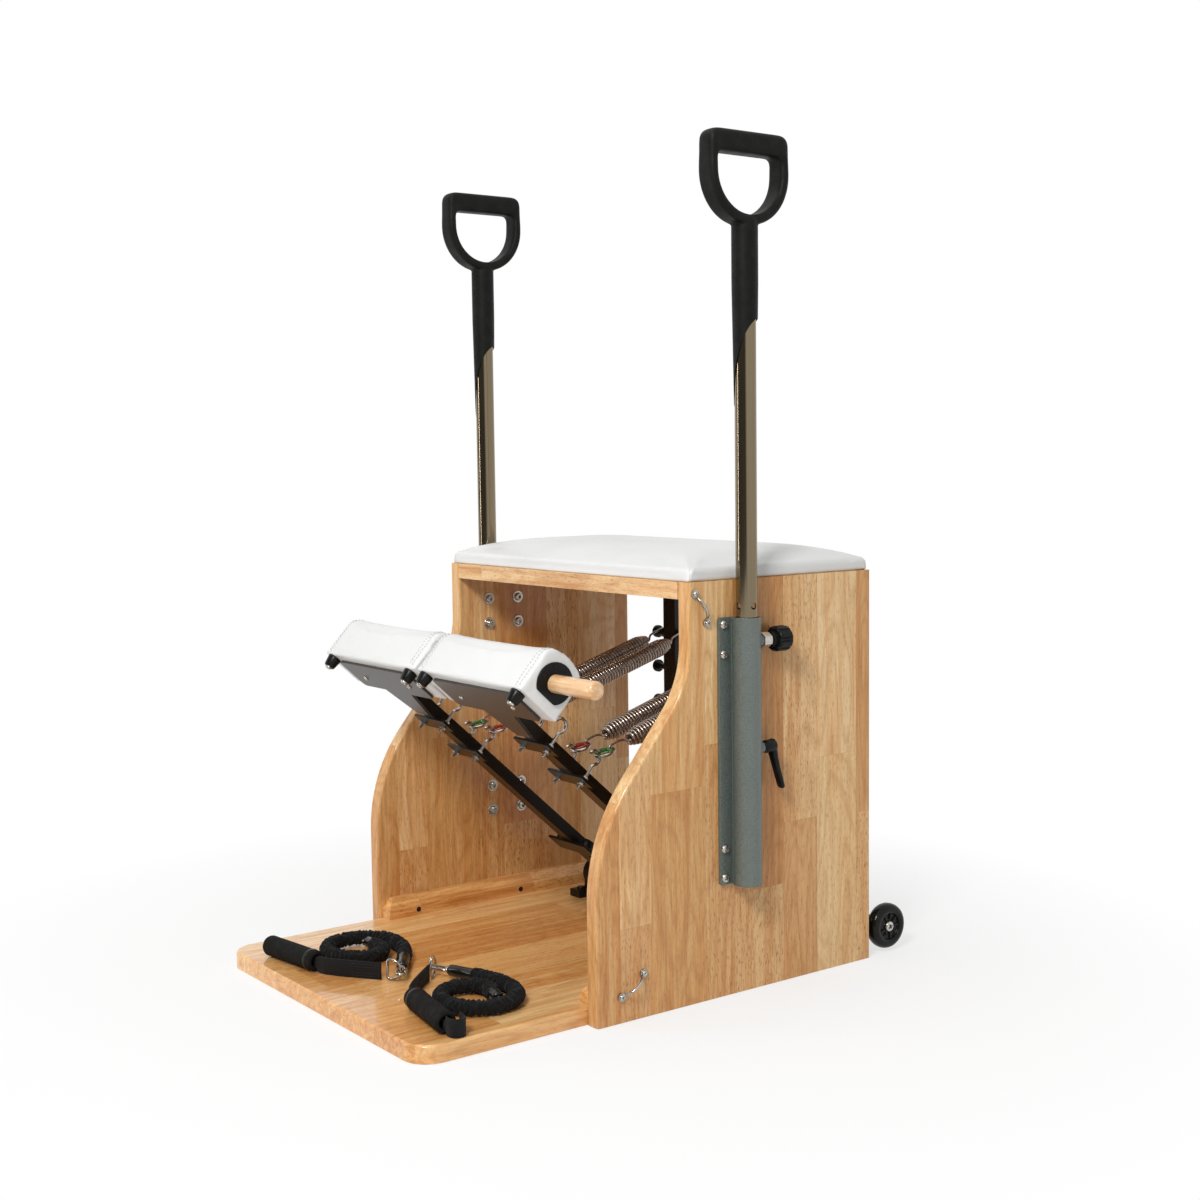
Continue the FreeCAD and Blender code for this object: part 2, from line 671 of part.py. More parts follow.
def cushion_profile():
    """Inset and height up the cushion's side: tucked foot, upright side, shoulder, crown."""
    crown = PANEL_TOP_DEPTH / 2 * CUSHION_CROWN_SHARE
    rows = [(CUSHION_FOOT_INSET, 0), (0, CUSHION_SIDE_HEIGHT / 2)]
    for step in range(CUSHION_SHOULDER_STEPS + 1):
        turn = math.radians(CUSHION_SHOULDER_TURN_DEG) * step / CUSHION_SHOULDER_STEPS
        rows.append((CUSHION_SHOULDER_RADIUS * (1 - math.cos(turn)),
                     CUSHION_SIDE_HEIGHT + CUSHION_SHOULDER_RADIUS * math.sin(turn)))
    brim, shoulder = rows[-1]
    for step in range(1, CUSHION_CROWN_STEPS + 1):
        done = step / CUSHION_CROWN_STEPS
        rows.append((brim + (crown - brim) * done,
                     shoulder + (CUSHION_HEIGHT - shoulder) * (1 - (1 - done) ** 2)))
    return rows


def seat_cushion():
    """Crowned cushion, hollow below for its plywood."""
    outlines = [cushion_outline(inset, PANEL_HEIGHT + height) for inset, height in cushion_profile()]
    cushion = Part.makeLoft(outlines, True, True)
    pocket = PLYWOOD_INSET - SOFT_CLEARANCE
    low = (-HALF_WIDTH + pocket, PANEL_TOP_FRONT + pocket, PANEL_HEIGHT - OVERRUN)
    high = (HALF_WIDTH - pocket, REAR_Y - pocket, PANEL_HEIGHT + PLYWOOD_THICKNESS)
    return [cushion.cut(box(low, high))]


def spring_posts():
    """Uprights with foot and head plates, and their button pegs on both sides."""
    solids = []
    front = POST_Y - POST_DEPTH / 2
    foot_top = BOARD_THICKNESS + POST_PLATE_THICKNESS
    head_under = TOP_BOARD_UNDER - POST_PLATE_THICKNESS
    for _, sign in SIDES:
        x = sign * PEDAL_X
        solids.append(box((x - POST_WIDTH / 2, front, foot_top), (x + POST_WIDTH / 2, REAR_Y, head_under)))
        cutters = [screw_hole(place, facing) for place, facing in post_screw_places(sign)]
        for low, high in ((BOARD_THICKNESS, foot_top), (head_under, TOP_BOARD_UNDER)):
            plate = box((x - POST_PLATE_LENGTH / 2, front, low), (x + POST_PLATE_LENGTH / 2, REAR_Y, high))
            solids.append(bored(plate, cutters))
        for row in range(PEG_COUNT):
            z = PEG_TOP_Z - row * PEG_SPACING
            for end in (-1, 1):
                root = x + end * POST_WIDTH / 2
                tip = root + end * PEG_NECK_LENGTH
                solids.append(rod((root, POST_Y, z), (end, 0, 0), PEG_NECK_RADIUS, PEG_NECK_LENGTH))
                solids.append(rod((tip, POST_Y, z), (end, 0, 0), PEG_HEAD_RADIUS, PEG_HEAD_THICKNESS))
    return solids


def pivot_axle():
    """Shaft on which both pedals turn."""
    half = PEDAL_X + BLOCK_OFFSET + BLOCK_WIDTH / 2 + AXLE_OVERHANG
    return [rod((-half, PIVOT_Y, PIVOT_Z), X_AXIS, AXLE_RADIUS, 2 * half)]


def pivot_blocks():
    """Pillow blocks on both sides of each pedal hub, and their bolts."""
    solids = []
    for x in [side * PEDAL_X + end * BLOCK_OFFSET for side in (-1, 1) for end in (-1, 1)]:
        left = x - BLOCK_WIDTH / 2
        right = x + BLOCK_WIDTH / 2
        foot = box((left, PIVOT_Y - BLOCK_FOOT_LENGTH / 2, BOARD_THICKNESS),
                   (right, PIVOT_Y + BLOCK_FOOT_LENGTH / 2, BOARD_THICKNESS + BLOCK_FOOT_HEIGHT))
        neck = box((left, PIVOT_Y - BLOCK_NECK_WIDTH / 2, BOARD_THICKNESS),
                   (right, PIVOT_Y + BLOCK_NECK_WIDTH / 2, PIVOT_Z))
        housing = rod((left, PIVOT_Y, PIVOT_Z), X_AXIS, BLOCK_RADIUS, BLOCK_WIDTH)
        bearing = joined([neck, housing]).cut(foot)
        bore = hole((left, PIVOT_Y, PIVOT_Z), X_AXIS, AXLE_RADIUS + RUNNING_CLEARANCE, BLOCK_WIDTH)
        cutters = [hole((bx, by, BOARD_THICKNESS), Z_AXIS, BOLT_RADIUS + HOLE_CLEARANCE, BLOCK_FOOT_HEIGHT)
                   for bx, by, _ in block_bolt_places()]
        solids.append(bored(foot, cutters))
        solids.append(bearing.cut(bore))
    bolt = headed(BOLT_HEAD_RADIUS, BOLT_HEAD_HEIGHT, BOLT_RADIUS, BLOCK_BOLT_LENGTH)
    solids += [aimed(bolt, place, Z_AXIS) for place in block_bolt_places()]
    return solids


def sleeve_strip():
    """Flange strip of the right sleeve with its rounded corners."""
    strip = box((HALF_WIDTH, SLEEVE_Y - FLANGE_WIDTH / 2, SLEEVE_BOTTOM),
                (HALF_WIDTH + FLANGE_THICKNESS, SLEEVE_Y + FLANGE_WIDTH / 2, SLEEVE_TOP))
    return softened(strip, FLANGE_CORNER_RADIUS, lambda e: e.BoundBox.XLength > FLANGE_THICKNESS / 2)


def sleeve(sign):
    """Sleeve tube on its flange strip, with bosses for the pull-pin and the clamp."""
    land = box((HALF_WIDTH, SLEEVE_Y - LAND_WIDTH / 2, SLEEVE_BOTTOM),
               (HALF_WIDTH + FLANGE_THICKNESS + LAND_HEIGHT, SLEEVE_Y + LAND_WIDTH / 2, SLEEVE_TOP))
    foot = (POLE_X, SLEEVE_Y, SLEEVE_BOTTOM)
    parts = [sleeve_strip(), land, rod(foot, Z_AXIS, SLEEVE_RADIUS, SLEEVE_LENGTH)]
    boss_reach = BOSS_FACE - SLEEVE_Y
    bosses = [(POLE_X, SLEEVE_Y, z) for z in (PIN_Z, LEVER_Z)]
    parts += [rod(boss, Y_AXIS, PIN_BOSS_RADIUS, boss_reach) for boss in bosses]
    cutters = [hole(foot, Z_AXIS, SLEEVE_BORE_RADIUS, SLEEVE_LENGTH)]
    cutters += [rod(boss, Y_AXIS, PIN_RADIUS + RUNNING_CLEARANCE, boss_reach + OVERRUN) for boss in bosses]
    cutters += [hole((HALF_WIDTH, y, z), X_AXIS, BOLT_RADIUS + HOLE_CLEARANCE, FLANGE_THICKNESS)
                for _, y, z in sleeve_bolt_places(1)]
    return mirrored([bored(joined(parts), cutters)], sign)


def sleeve_bolts():
    """Bolts through flange and panel, each with its washer and nut inside, and the pull-pins' lock nuts."""
    through_length = FLANGE_THICKNESS + BOARD_THICKNESS + WASHER_THICKNESS + NUT_HEIGHT + BOLT_END
    bolt = headed(BOLT_HEAD_RADIUS, BOLT_HEAD_HEIGHT, BOLT_RADIUS, through_length)
    washer = pipe(ORIGIN, Z_AXIS, WASHER_RADIUS, BOLT_RADIUS + HOLE_CLEARANCE, WASHER_THICKNESS)
    nut = hexagon(NUT_FLATS, NUT_HEIGHT).cut(hole(ORIGIN, Z_AXIS, BOLT_RADIUS + HOLE_CLEARANCE, NUT_HEIGHT))
    solids = []
    for place in sleeve_bolt_places(1):
        _, y, z = place
        solids.append(aimed(bolt, place, X_AXIS))
        solids.append(aimed(washer, (INNER_X, y, z), -X_AXIS))
        solids.append(aimed(nut, (INNER_X - WASHER_THICKNESS, y, z), -X_AXIS))
    lock_nut = hexagon(PIN_NUT_FLATS, PIN_NUT_HEIGHT)
    lock_nut = lock_nut.cut(hole(ORIGIN, Z_AXIS, PIN_RADIUS + RUNNING_CLEARANCE, PIN_NUT_HEIGHT))
    solids.append(aimed(lock_nut, (POLE_X, BOSS_FACE, PIN_Z), Y_AXIS))
    return mirrored(solids, 1) + mirrored(solids, -1)


def eye_straps():
    """Wire eyes with screwed feet on the outer faces of the panels."""
    solids = []
    for y, z, slope in eye_places():
        feet = []
        for end in (-1, 1):
            foot = rod((end * EYE_SPAN / 2, 0, 0), Z_AXIS, EYE_FOOT_RADIUS, EYE_FOOT_THICKNESS)
            feet.append(foot)
        low = EYE_FOOT_THICKNESS / 2
        ends = [V(end * EYE_HALF_ARCH, 0, low) for end in (-1, 1)]
        arch = Part.Wire(Part.Arc(ends[0], V(0, 0, EYE_RISE), ends[1]).toShape())
        heading = arch.Edges[0].tangentAt(arch.Edges[0].FirstParameter)
        wire = round_tube(arch, heading, EYE_WIRE_RADIUS)
        reach = EYE_SPAN + 2 * EYE_FOOT_RADIUS
        under = box((-reach, -reach, -reach), (reach, reach, 0))
        cutters = [under]
        for end in (-1, 1):
            spot = (end * EYE_SPAN / 2, 0, 0)
            cutters.append(hole(spot, Z_AXIS, SCREW_RADIUS + HOLE_CLEARANCE, EYE_FOOT_THICKNESS))
        eye = bored(joined(feet + [wire]), cutters)
        eye.rotate(ORIGIN, Z_AXIS, slope)
        turn = FreeCAD.Rotation(Y_AXIS, Z_AXIS, X_AXIS, "ZXY")
        eye.Placement = FreeCAD.Placement(V(HALF_WIDTH, y, z), turn).multiply(eye.Placement)
        solids.append(eye)
    return solids + mirrored(solids, -1)


def frame_screws():
    """Screws of the eye straps, cleats, posts and wheel brackets."""
    solids = []
    for _, sign in SIDES:
        solids += [screw(place, (sign, 0, 0)) for place in eye_screw_places(sign)]
        solids += [screw(place, Z_AXIS, CLEAT_SCREW_LENGTH) for place in cleat_screw_places(sign)]
        solids += [screw(place, facing) for place, facing in post_screw_places(sign)]
        solids += [screw(place, (-sign, 0, 0)) for place in bracket_screw_places(sign)]
    return solids


def wheel_brackets():
    """Plates on the inner faces of the panels that carry the wheel axles, and the axle bolts."""
    half = BRACKET_HEIGHT / 2
    inner = INNER_X - BRACKET_THICKNESS
    bar = box((inner, REAR_Y - BRACKET_ON_PANEL, WHEEL_Z - half + WHEEL_LIFT),
              (INNER_X, WHEEL_Y, WHEEL_Z + half))
    nose = rod((inner, WHEEL_Y, WHEEL_Z), X_AXIS, half, BRACKET_THICKNESS)
    cutters = [hole((inner, WHEEL_Y, WHEEL_Z), X_AXIS, WHEEL_AXLE_RADIUS + HOLE_CLEARANCE, BRACKET_THICKNESS)]
    cutters += [screw_hole(place, -X_AXIS) for place in bracket_screw_places(1)]
    bracket = bored(joined([bar, nose]), cutters)
    seat = INNER_X + WHEEL_GAP + WHEEL_WIDTH - WHEEL_RECESS_DEPTH + WHEEL_GAP
    shank = seat - inner + NUT_HEIGHT
    bolt = headed(WHEEL_AXLE_HEAD_RADIUS, WHEEL_AXLE_HEAD_HEIGHT, WHEEL_AXLE_RADIUS, shank)
    bolt = aimed(bolt, (seat, WHEEL_Y, WHEEL_Z), X_AXIS)
    nut = hexagon(NUT_FLATS + WHEEL_AXLE_RADIUS, NUT_HEIGHT)
    nut = nut.cut(hole(ORIGIN, Z_AXIS, WHEEL_AXLE_RADIUS + HOLE_CLEARANCE, NUT_HEIGHT))
    nut = aimed(nut, (inner, WHEEL_Y, WHEEL_Z), -X_AXIS)
    right = [bracket, bolt, nut]
    return right + mirrored(right, -1)


def wheel(sign):
    """Solid wheel with a recess for the bolt head."""
    disc = softened(Part.makeCylinder(WHEEL_RADIUS, WHEEL_WIDTH), WHEEL_ROUND, lambda e: e.Closed)
    cutters = [rod((0, 0, WHEEL_WIDTH - WHEEL_RECESS_DEPTH), Z_AXIS, WHEEL_RECESS_RADIUS, WHEEL_WIDTH)]
    cutters.append(hole(ORIGIN, Z_AXIS, WHEEL_AXLE_RADIUS + RUNNING_CLEARANCE, WHEEL_WIDTH))
    right = [aimed(bored(disc, cutters), (INNER_X + WHEEL_GAP, WHEEL_Y, WHEEL_Z), X_AXIS)]
    return mirrored(right, sign)


def raised(shapes, sign):
    """Pedal pieces drawn level at the pivot, put on one side and raised to rest."""
    placed = []
    for shape in shapes:
        piece = shape.copy()
        piece.translate(V(sign * PEDAL_X, 0, 0))
        piece.rotate(ORIGIN, X_AXIS, -PEDAL_REST_DEG)
        piece.translate(PIVOT)
        placed.append(piece)
    return placed


def raised_point(point):
    """Place of a point of the level pedal once it is raised."""
    return FreeCAD.Rotation(X_AXIS, -PEDAL_REST_DEG).multVec(V(*point)) + PIVOT


def cross_plate(length, depth, reach):
    """Flat plate across the underside of the arm."""
    return box((-length / 2, -reach - depth / 2, ARM_UNDER - CROSS_THICKNESS),
               (length / 2, -reach + depth / 2, ARM_UNDER))


def hook_places():
    """Shank places of the J-hooks on top of their cross plates."""
    return [(end * SPRING_OFFSET, -reach, ARM_UNDER) for reach in HOOK_REACHES for end in (-1, 1)]


def pedal_arm(sign):
    """Rectangular tube on its hub, with the cross plates below."""
    tube = box((-ARM_WIDTH / 2, -ARM_REACH, ARM_UNDER), (ARM_WIDTH / 2, 0, -ARM_UNDER))
    inside = box((-ARM_WIDTH / 2 + ARM_WALL, -ARM_REACH - OVERRUN, ARM_UNDER + ARM_WALL),
                 (ARM_WIDTH / 2 - ARM_WALL, -HUB_RADIUS, -ARM_UNDER - ARM_WALL))
    hub = rod((-HUB_LENGTH / 2, 0, 0), X_AXIS, HUB_RADIUS, HUB_LENGTH)
    bore = hole((-HUB_LENGTH / 2, 0, 0), X_AXIS, AXLE_RADIUS + RUNNING_CLEARANCE, HUB_LENGTH)
    arm = bored(tube, [inside, hub])
    plates = [cross_plate(HOOK_CROSS_LENGTH, HOOK_CROSS_DEPTH, reach) for reach in HOOK_REACHES]
    plates = [bored(plate, [hole((x, y, z - CROSS_THICKNESS), Z_AXIS, HOOK_WIRE_RADIUS + HOLE_CLEARANCE,
                                 CROSS_THICKNESS) for x, y, z in hook_places()]) for plate in plates]
    stop = cross_plate(STOP_CROSS_LENGTH, STOP_CROSS_DEPTH, STOP_REACH)
    return raised([arm, hub.cut(bore), *plates, stop], sign)


def plate_screw_places():
    """Screw places below the pedal plate."""
    return [(end * PLATE_SCREW_SPREAD, -PLATE_SCREW_REACH, ARM_UNDER - PLATE_THICKNESS) for end in (-1, 1)]


def pedal_plate(sign):
    """Plate below the pad that narrows into the arm."""
    neck = ARM_WIDTH / 2 + PLATE_NECK_MARGIN
    shoulder = PLATE_REACH - PLATE_SIDE_LENGTH
    low = ARM_UNDER - PLATE_THICKNESS
    half = [(PLATE_HALF_WIDTH, PLATE_REACH), (PLATE_HALF_WIDTH, shoulder),
            (PLATE_SHOULDER_HALF_WIDTH, shoulder), (neck, shoulder - PLATE_NECK_LENGTH)]
    outline = [(x, -s, low) for x, s in half] + [(-x, -s, low) for x, s in reversed(half)]
    plate = slab(outline, (0, 0, PLATE_THICKNESS))
    plate = softened(plate, PLATE_CORNER_RADIUS, lambda e: e.BoundBox.ZLength > PLATE_THICKNESS / 2
                     and abs(e.CenterOfMass.x) > PLATE_SHOULDER_HALF_WIDTH + PLATE_CORNER_RADIUS)
    return raised([bored(plate, [screw_hole(place, -Z_AXIS) for place in plate_screw_places()])], sign)


def pad_outline(x, draw_in):
    """Side view of a pad at one place along it: level foot, upright sides, arched top."""
    half = PAD_DEPTH / 2 - draw_in
    foot = ARM_UNDER
    shoulder = foot + PAD_HEIGHT - PAD_CROWN - draw_in
    radius = PAD_CORNER_RADIUS
    cut = radius * (1 - math.sqrt(0.5))

    def at(across, z):
        return V(x, across - PAD_REACH, z)

    rear = [at(half, shoulder - radius), at(half - cut, shoulder - cut), at(half - radius, shoulder)]
    front = [at(radius - half, shoulder), at(cut - half, shoulder - cut), at(-half, shoulder - radius)]
    return Part.Wire([
        Part.makeLine(at(-half, foot), at(half, foot)),
        Part.makeLine(at(half, foot), rear[0]),
        Part.Arc(*rear).toShape(),
        Part.Arc(rear[2], at(0, shoulder + PAD_CROWN), front[0]).toShape(),
        Part.Arc(*front).toShape(),
        Part.makeLine(front[2], at(-half, foot)),
    ])


def pedal_pad(sign):
    """Padded pedal with drawn-in ends, bored for its dowel socket."""
    half = PAD_LENGTH / 2
    taper = [(half - PAD_END_TAPER * along, PAD_DRAW_IN * draw) for along, draw in
             zip(PAD_TAPER_SHARES, PAD_DRAW_SHARES)]
    stations = [(-x, draw_in) for x, draw_in in taper] + taper[::-1]
    pad = Part.makeLoft([pad_outline(x, draw_in) for x, draw_in in stations], True, True)
    cutters = [hole((-half, -PAD_REACH, SOCKET_Z), X_AXIS, SOCKET_RADIUS + SOFT_CLEARANCE, PAD_LENGTH)]
    cutters += [screw_hole(place, -Z_AXIS) for place in plate_screw_places()]
    return raised([bored(pad, cutters)], sign)


def pedal_feet(sign):
    """Rubber feet below the pad's front corners and buffers on the stop plate."""
    solids = []
    for end in (-1, 1):
        foot = Part.makeCone(FOOT_TOP_RADIUS, FOOT_TIP_RADIUS, FOOT_HEIGHT)
        foot = softened(foot, FOOT_TIP_ROUND, lambda e: e.BoundBox.ZMin > FOOT_HEIGHT / 2
                        and e.BoundBox.ZLength < FOOT_HEIGHT / 2)
        solids.append(aimed(foot, (end * FOOT_SPREAD, -FOOT_REACH, ARM_UNDER), -Z_AXIS))
        spot = (end * BUFFER_SPREAD, -STOP_REACH, ARM_UNDER)
        solids.append(rod(spot, Z_AXIS, BUFFER_RADIUS, BUFFER_HEIGHT))
    return raised(solids, sign)


def flange_screw_places(sign):
    """Small screw places on the socket flange at a pad's outer end."""
    x = sign * (PAD_LENGTH / 2 + SOCKET_FLANGE_THICKNESS)
    places = []
    for share in SOCKET_SCREW_SHARES:
        turn = 2 * math.pi * share
        y = SOCKET_SCREW_RADIUS * math.cos(turn) - PAD_REACH
        places.append((x, y, SOCKET_Z + SOCKET_SCREW_RADIUS * math.sin(turn)))
    return places


def pedal_screws(sign):
    """Screws of the pedal plate and of the socket flange."""
    solids = [screw(place, -Z_AXIS) for place in plate_screw_places()]
    head = Part.makeCylinder(SMALL_SCREW_HEAD_RADIUS, SMALL_SCREW_HEAD_HEIGHT)
    head = softened(head, SMALL_SCREW_HEAD_HEIGHT * HEAD_ROUND_SHARE,
                    lambda e: e.BoundBox.ZMin > SMALL_SCREW_HEAD_HEIGHT / 2)
    solids += [aimed(head, place, (sign, 0, 0)) for place in flange_screw_places(sign)]
    return raised(solids, sign)


def dowel_socket(sign):
    """Tube through the pad with a flange at its outer end, flattened towards the plate."""
    half = PAD_LENGTH / 2
    bore = DOWEL_RADIUS + SOFT_CLEARANCE
    parts = [rod((-half, -PAD_REACH, SOCKET_Z), X_AXIS, SOCKET_RADIUS, PAD_LENGTH),
             rod((sign * half, -PAD_REACH, SOCKET_Z), (sign, 0, 0), SOCKET_FLANGE_RADIUS,
                 SOCKET_FLANGE_THICKNESS)]
    reach = half + 2 * SOCKET_FLANGE_THICKNESS
    wide = 2 * SOCKET_FLANGE_RADIUS
    below = SOCKET_Z - SOCKET_FLAT_DROP
    flat = box((-reach, -PAD_REACH - wide, below - wide), (reach, wide - PAD_REACH, below))
    cutters = [hole((-half, -PAD_REACH, SOCKET_Z), X_AXIS, bore, PAD_LENGTH), flat]
    return raised([bored(joined(parts), cutters)], sign)


def dowel():
    """Wooden rod that can couple the pedals, parked in the right pad."""
    bar = Part.makeCylinder(DOWEL_RADIUS, DOWEL_LENGTH)
    bar = bar.makeChamfer(DOWEL_CHAMFER, [e for e in bar.Edges if e.BoundBox.ZLength < DOWEL_CHAMFER])
    start = DOWEL_START - PEDAL_X
    return raised([aimed(bar, (start, -PAD_REACH, SOCKET_Z), X_AXIS)], 1)


def hook_path(x, y, z):
    """Centre line of a J-hook that stands on a cross plate and opens forward; its bow's centre."""
    turn = math.radians(HOOK_NECK_TURN_DEG)
    back = math.radians(HOOK_BOW_TURN_DEG)
    top = z + HOOK_SHANK
    neck_centre = V(x, y + HOOK_NECK_RADIUS, top)
    neck_middle = neck_centre + V(0, -math.cos(turn / 2), math.sin(turn / 2)) * HOOK_NECK_RADIUS
    neck_end = neck_centre + V(0, -math.cos(turn), math.sin(turn)) * HOOK_NECK_RADIUS
    bow_centre = neck_end + V(0, -math.cos(turn), math.sin(turn)) * HOOK_BOW_RADIUS

    def on_bow(angle):
        return bow_centre + V(0, math.cos(angle), -math.sin(angle)) * HOOK_BOW_RADIUS

    bow = [on_bow(turn - back * share) for share in HOOK_BOW_SHARES]
    edges = [
        Part.makeLine(V(x, y, z - HOOK_TAIL), V(x, y, top)),
        Part.Arc(V(x, y, top), neck_middle, neck_end).toShape(),
        Part.Arc(neck_end, bow[0], bow[1]).toShape(),
        Part.Arc(bow[1], bow[2], on_bow(turn - back)).toShape(),
    ]
    return Part.Wire(edges), bow_centre


def spring_hooks(sign):
    """J-hooks with a nut above and below their cross plate."""
    nut = hexagon(HOOK_NUT_FLATS, HOOK_NUT_HEIGHT)
    nut = nut.cut(hole(ORIGIN, Z_AXIS, HOOK_WIRE_RADIUS + HOLE_CLEARANCE, HOOK_NUT_HEIGHT))
    solids = []
    for x, y, z in hook_places():
        path, _ = hook_path(x, y, z)
        solids.append(round_tube(path, Z_AXIS, HOOK_WIRE_RADIUS))
        solids.append(aimed(nut, (x, y, z), Z_AXIS))
        solids.append(aimed(nut, (x, y, z - CROSS_THICKNESS), -Z_AXIS))
    return raised(solids, sign)


def spring_line(sign, end):
    """Seat in the hook's bow, peg and direction of one spring."""
    x, y, z = end * SPRING_OFFSET, -HOOK_REACHES[0], ARM_UNDER
    _, bow_centre = hook_path(x, y, z)
    bow = raised_point(bow_centre)
    seat_x = sign * PEDAL_X + end * SPRING_OFFSET
    seat = V(seat_x, bow.y, bow.z)
    peg = V(seat_x, POST_Y, PEG_TOP_Z)
    along = (peg - seat).normalize()
    return seat, peg, along


def spring_ring(sign, end):
    """Ring in the bow of a hook, in line with its spring."""
    seat, _, along = spring_line(sign, end)
    middle = RING_OUTER_RADIUS - RING_WIRE_RADIUS
    reach = HOOK_BOW_RADIUS - HOOK_WIRE_RADIUS - RING_WIRE_RADIUS - SOFT_CLEARANCE
    centre = seat + along * (reach + middle)
    normal = X_AXIS.cross(along)
    return [Part.makeTorus(middle, RING_WIRE_RADIUS, centre, normal)], centre


def spring_stations(sign, end):
    """Points and headings along a spring's wire: straight ends, cones, and turns between them."""
    _, peg, along = spring_line(sign, end)
    _, ring_centre = spring_ring(sign, end)
    start = ring_centre + along * (RING_OUTER_RADIUS + SOFT_CLEARANCE)
    finish = peg - along * (PEG_NECK_RADIUS + SOFT_CLEARANCE)
    full = SPRING_OUTER_RADIUS - SPRING_WIRE_RADIUS
    lower = SPRING_LOWER_STRAIGHT + SPRING_BEND_RISE
    upper = SPRING_UPPER_STRAIGHT + SPRING_BEND_RISE
    wound = (finish - start).Length - lower - upper
    side = X_AXIS
    across = along.cross(side)
    quarters = 4 * SPRING_TURNS
    cone = 4 * SPRING_CONE_TURNS
    pitch = wound / quarters
    stations = [(start, along), (start + along * SPRING_LOWER_STRAIGHT, along)]
    for step in range(quarters + 1):
        rim = min(1.0, step / cone, (quarters - step) / cone)
        slope = (1 if step < cone else -1 if step > quarters - cone else 0) / cone
        radius = SPRING_CONE_RADIUS + (full - SPRING_CONE_RADIUS) * rim
        growth = (full - SPRING_CONE_RADIUS) * slope
        turn = math.pi / 2 * step
        out = side * math.cos(turn) + across * math.sin(turn)
        around = across * math.cos(turn) - side * math.sin(turn)
        heading = (around * (radius * math.pi / 2) + along * pitch + out * growth).normalize()
        stations.append((start + along * (lower + pitch * step) + out * radius, heading))
    stations += [(finish - along * SPRING_UPPER_STRAIGHT, along), (finish, along)]
    return stations


def spring(sign, end):
    """Wound wire of a tension spring with its upper straight, up to the top peg."""
    stations = spring_stations(sign, end)[1:]
    path = through(stations)
    print("spring least gap to itself %.2f mm" % self_gap(path, SPRING_WIRE_RADIUS))
    return [round_tube(path, stations[0][1], SPRING_WIRE_RADIUS)]


def spring_eye(sign, end):
    """Straight lower end of a spring, between its ring and the first turn."""
    (start, along), *_ = spring_stations(sign, end)
    return [rod(start, along, SPRING_WIRE_RADIUS, SPRING_LOWER_STRAIGHT)]


def guide_bush(sign):
    """Collars in the top and the bottom of a sleeve."""
    inner = POLE_RADIUS + RUNNING_CLEARANCE
    outer = SLEEVE_BORE_RADIUS - RUNNING_CLEARANCE
    starts = (SLEEVE_BOTTOM + BUSH_RECESS, SLEEVE_TOP - BUSH_RECESS - BUSH_LENGTH)
    return mirrored([pipe((POLE_X, SLEEVE_Y, z), Z_AXIS, outer, inner, BUSH_LENGTH) for z in starts], sign)


def handle_pole(sign):
    """Tube with its row of adjusting holes."""
    foot = (POLE_X, SLEEVE_Y, POLE_BOTTOM)
    tube = pipe(foot, Z_AXIS, POLE_RADIUS, POLE_RADIUS - POLE_WALL, POLE_LENGTH)
    cutters = []
    for step in range(-POLE_HOLES_BELOW, POLE_HOLES_ABOVE + 1):
        z = PIN_Z + step * POLE_HOLE_SPACING
        for direction in (X_AXIS, Y_AXIS):
            back = V(POLE_X, SLEEVE_Y, z) - direction * POLE_RADIUS
            cutters.append(hole(back, direction, POLE_HOLE_RADIUS, 2 * POLE_RADIUS))
    return mirrored([bored(tube, cutters)], sign)


def grip_wire(half, top, corner, centre_z):
    """D-shaped outline in the YZ plane: level bar above, upright limbs, round bow below."""
    slant = half * math.sqrt(0.5)

    def at(across, z):
        return V(POLE_X - GRIP_THICKNESS / 2, SLEEVE_Y + across, z)

    bow = [at(-half, centre_z), at(-slant, centre_z - slant), at(0, centre_z - half),
           at(slant, centre_z - slant), at(half, centre_z)]
    edges = [Part.Arc(*bow[:3]).toShape(), Part.Arc(*bow[2:]).toShape()]
    cut = corner * (1 - math.sqrt(0.5))
    edges += [
        Part.makeLine(at(half, centre_z), at(half, top - corner)),
        Part.Arc(at(half, top - corner), at(half - cut, top - cut), at(half - corner, top)).toShape(),
        Part.makeLine(at(half - corner, top), at(corner - half, top)),
        Part.Arc(at(corner - half, top), at(cut - half, top - cut), at(-half, top - corner)).toShape(),
        Part.makeLine(at(-half, top - corner), at(-half, centre_z)),
    ]
    return Part.Wire(edges)


def handle_grip(sign):
    """D-grip with a socket neck that ends in a tongue before and behind the pole."""
    centre_z = GRIP_TOP - GRIP_BOW_DROP
    inner_half = GRIP_HALF_LENGTH - GRIP_LIMB_WIDTH
    inner_corner = GRIP_CORNER_RADIUS * GRIP_INNER_CORNER_SHARE
    outside = Part.Face(grip_wire(GRIP_HALF_LENGTH, GRIP_TOP, GRIP_CORNER_RADIUS, centre_z))
    inside = Part.Face(grip_wire(inner_half, GRIP_TOP - GRIP_BAR_HEIGHT, inner_corner, centre_z))
    loop = outside.cut(inside).extrude(V(GRIP_THICKNESS, 0, 0))
    loop = softened(loop, GRIP_ROUND, lambda e: e.BoundBox.XLength < GRIP_ROUND)
    neck_top = centre_z - inner_half - GRIP_LIMB_WIDTH / 2
    neck = rod((POLE_X, SLEEVE_Y, GRIP_NECK_BOTTOM), Z_AXIS, GRIP_NECK_RADIUS, neck_top - GRIP_NECK_BOTTOM)
    bore = rod((POLE_X, SLEEVE_Y, GRIP_NECK_BOTTOM - OVERRUN), Z_AXIS, POLE_RADIUS + RUNNING_CLEARANCE,
               POLE_TOP + RUNNING_CLEARANCE - GRIP_NECK_BOTTOM + OVERRUN)
    return mirrored([bored(joined([loop, neck]), [bore, grip_arch()])], sign)


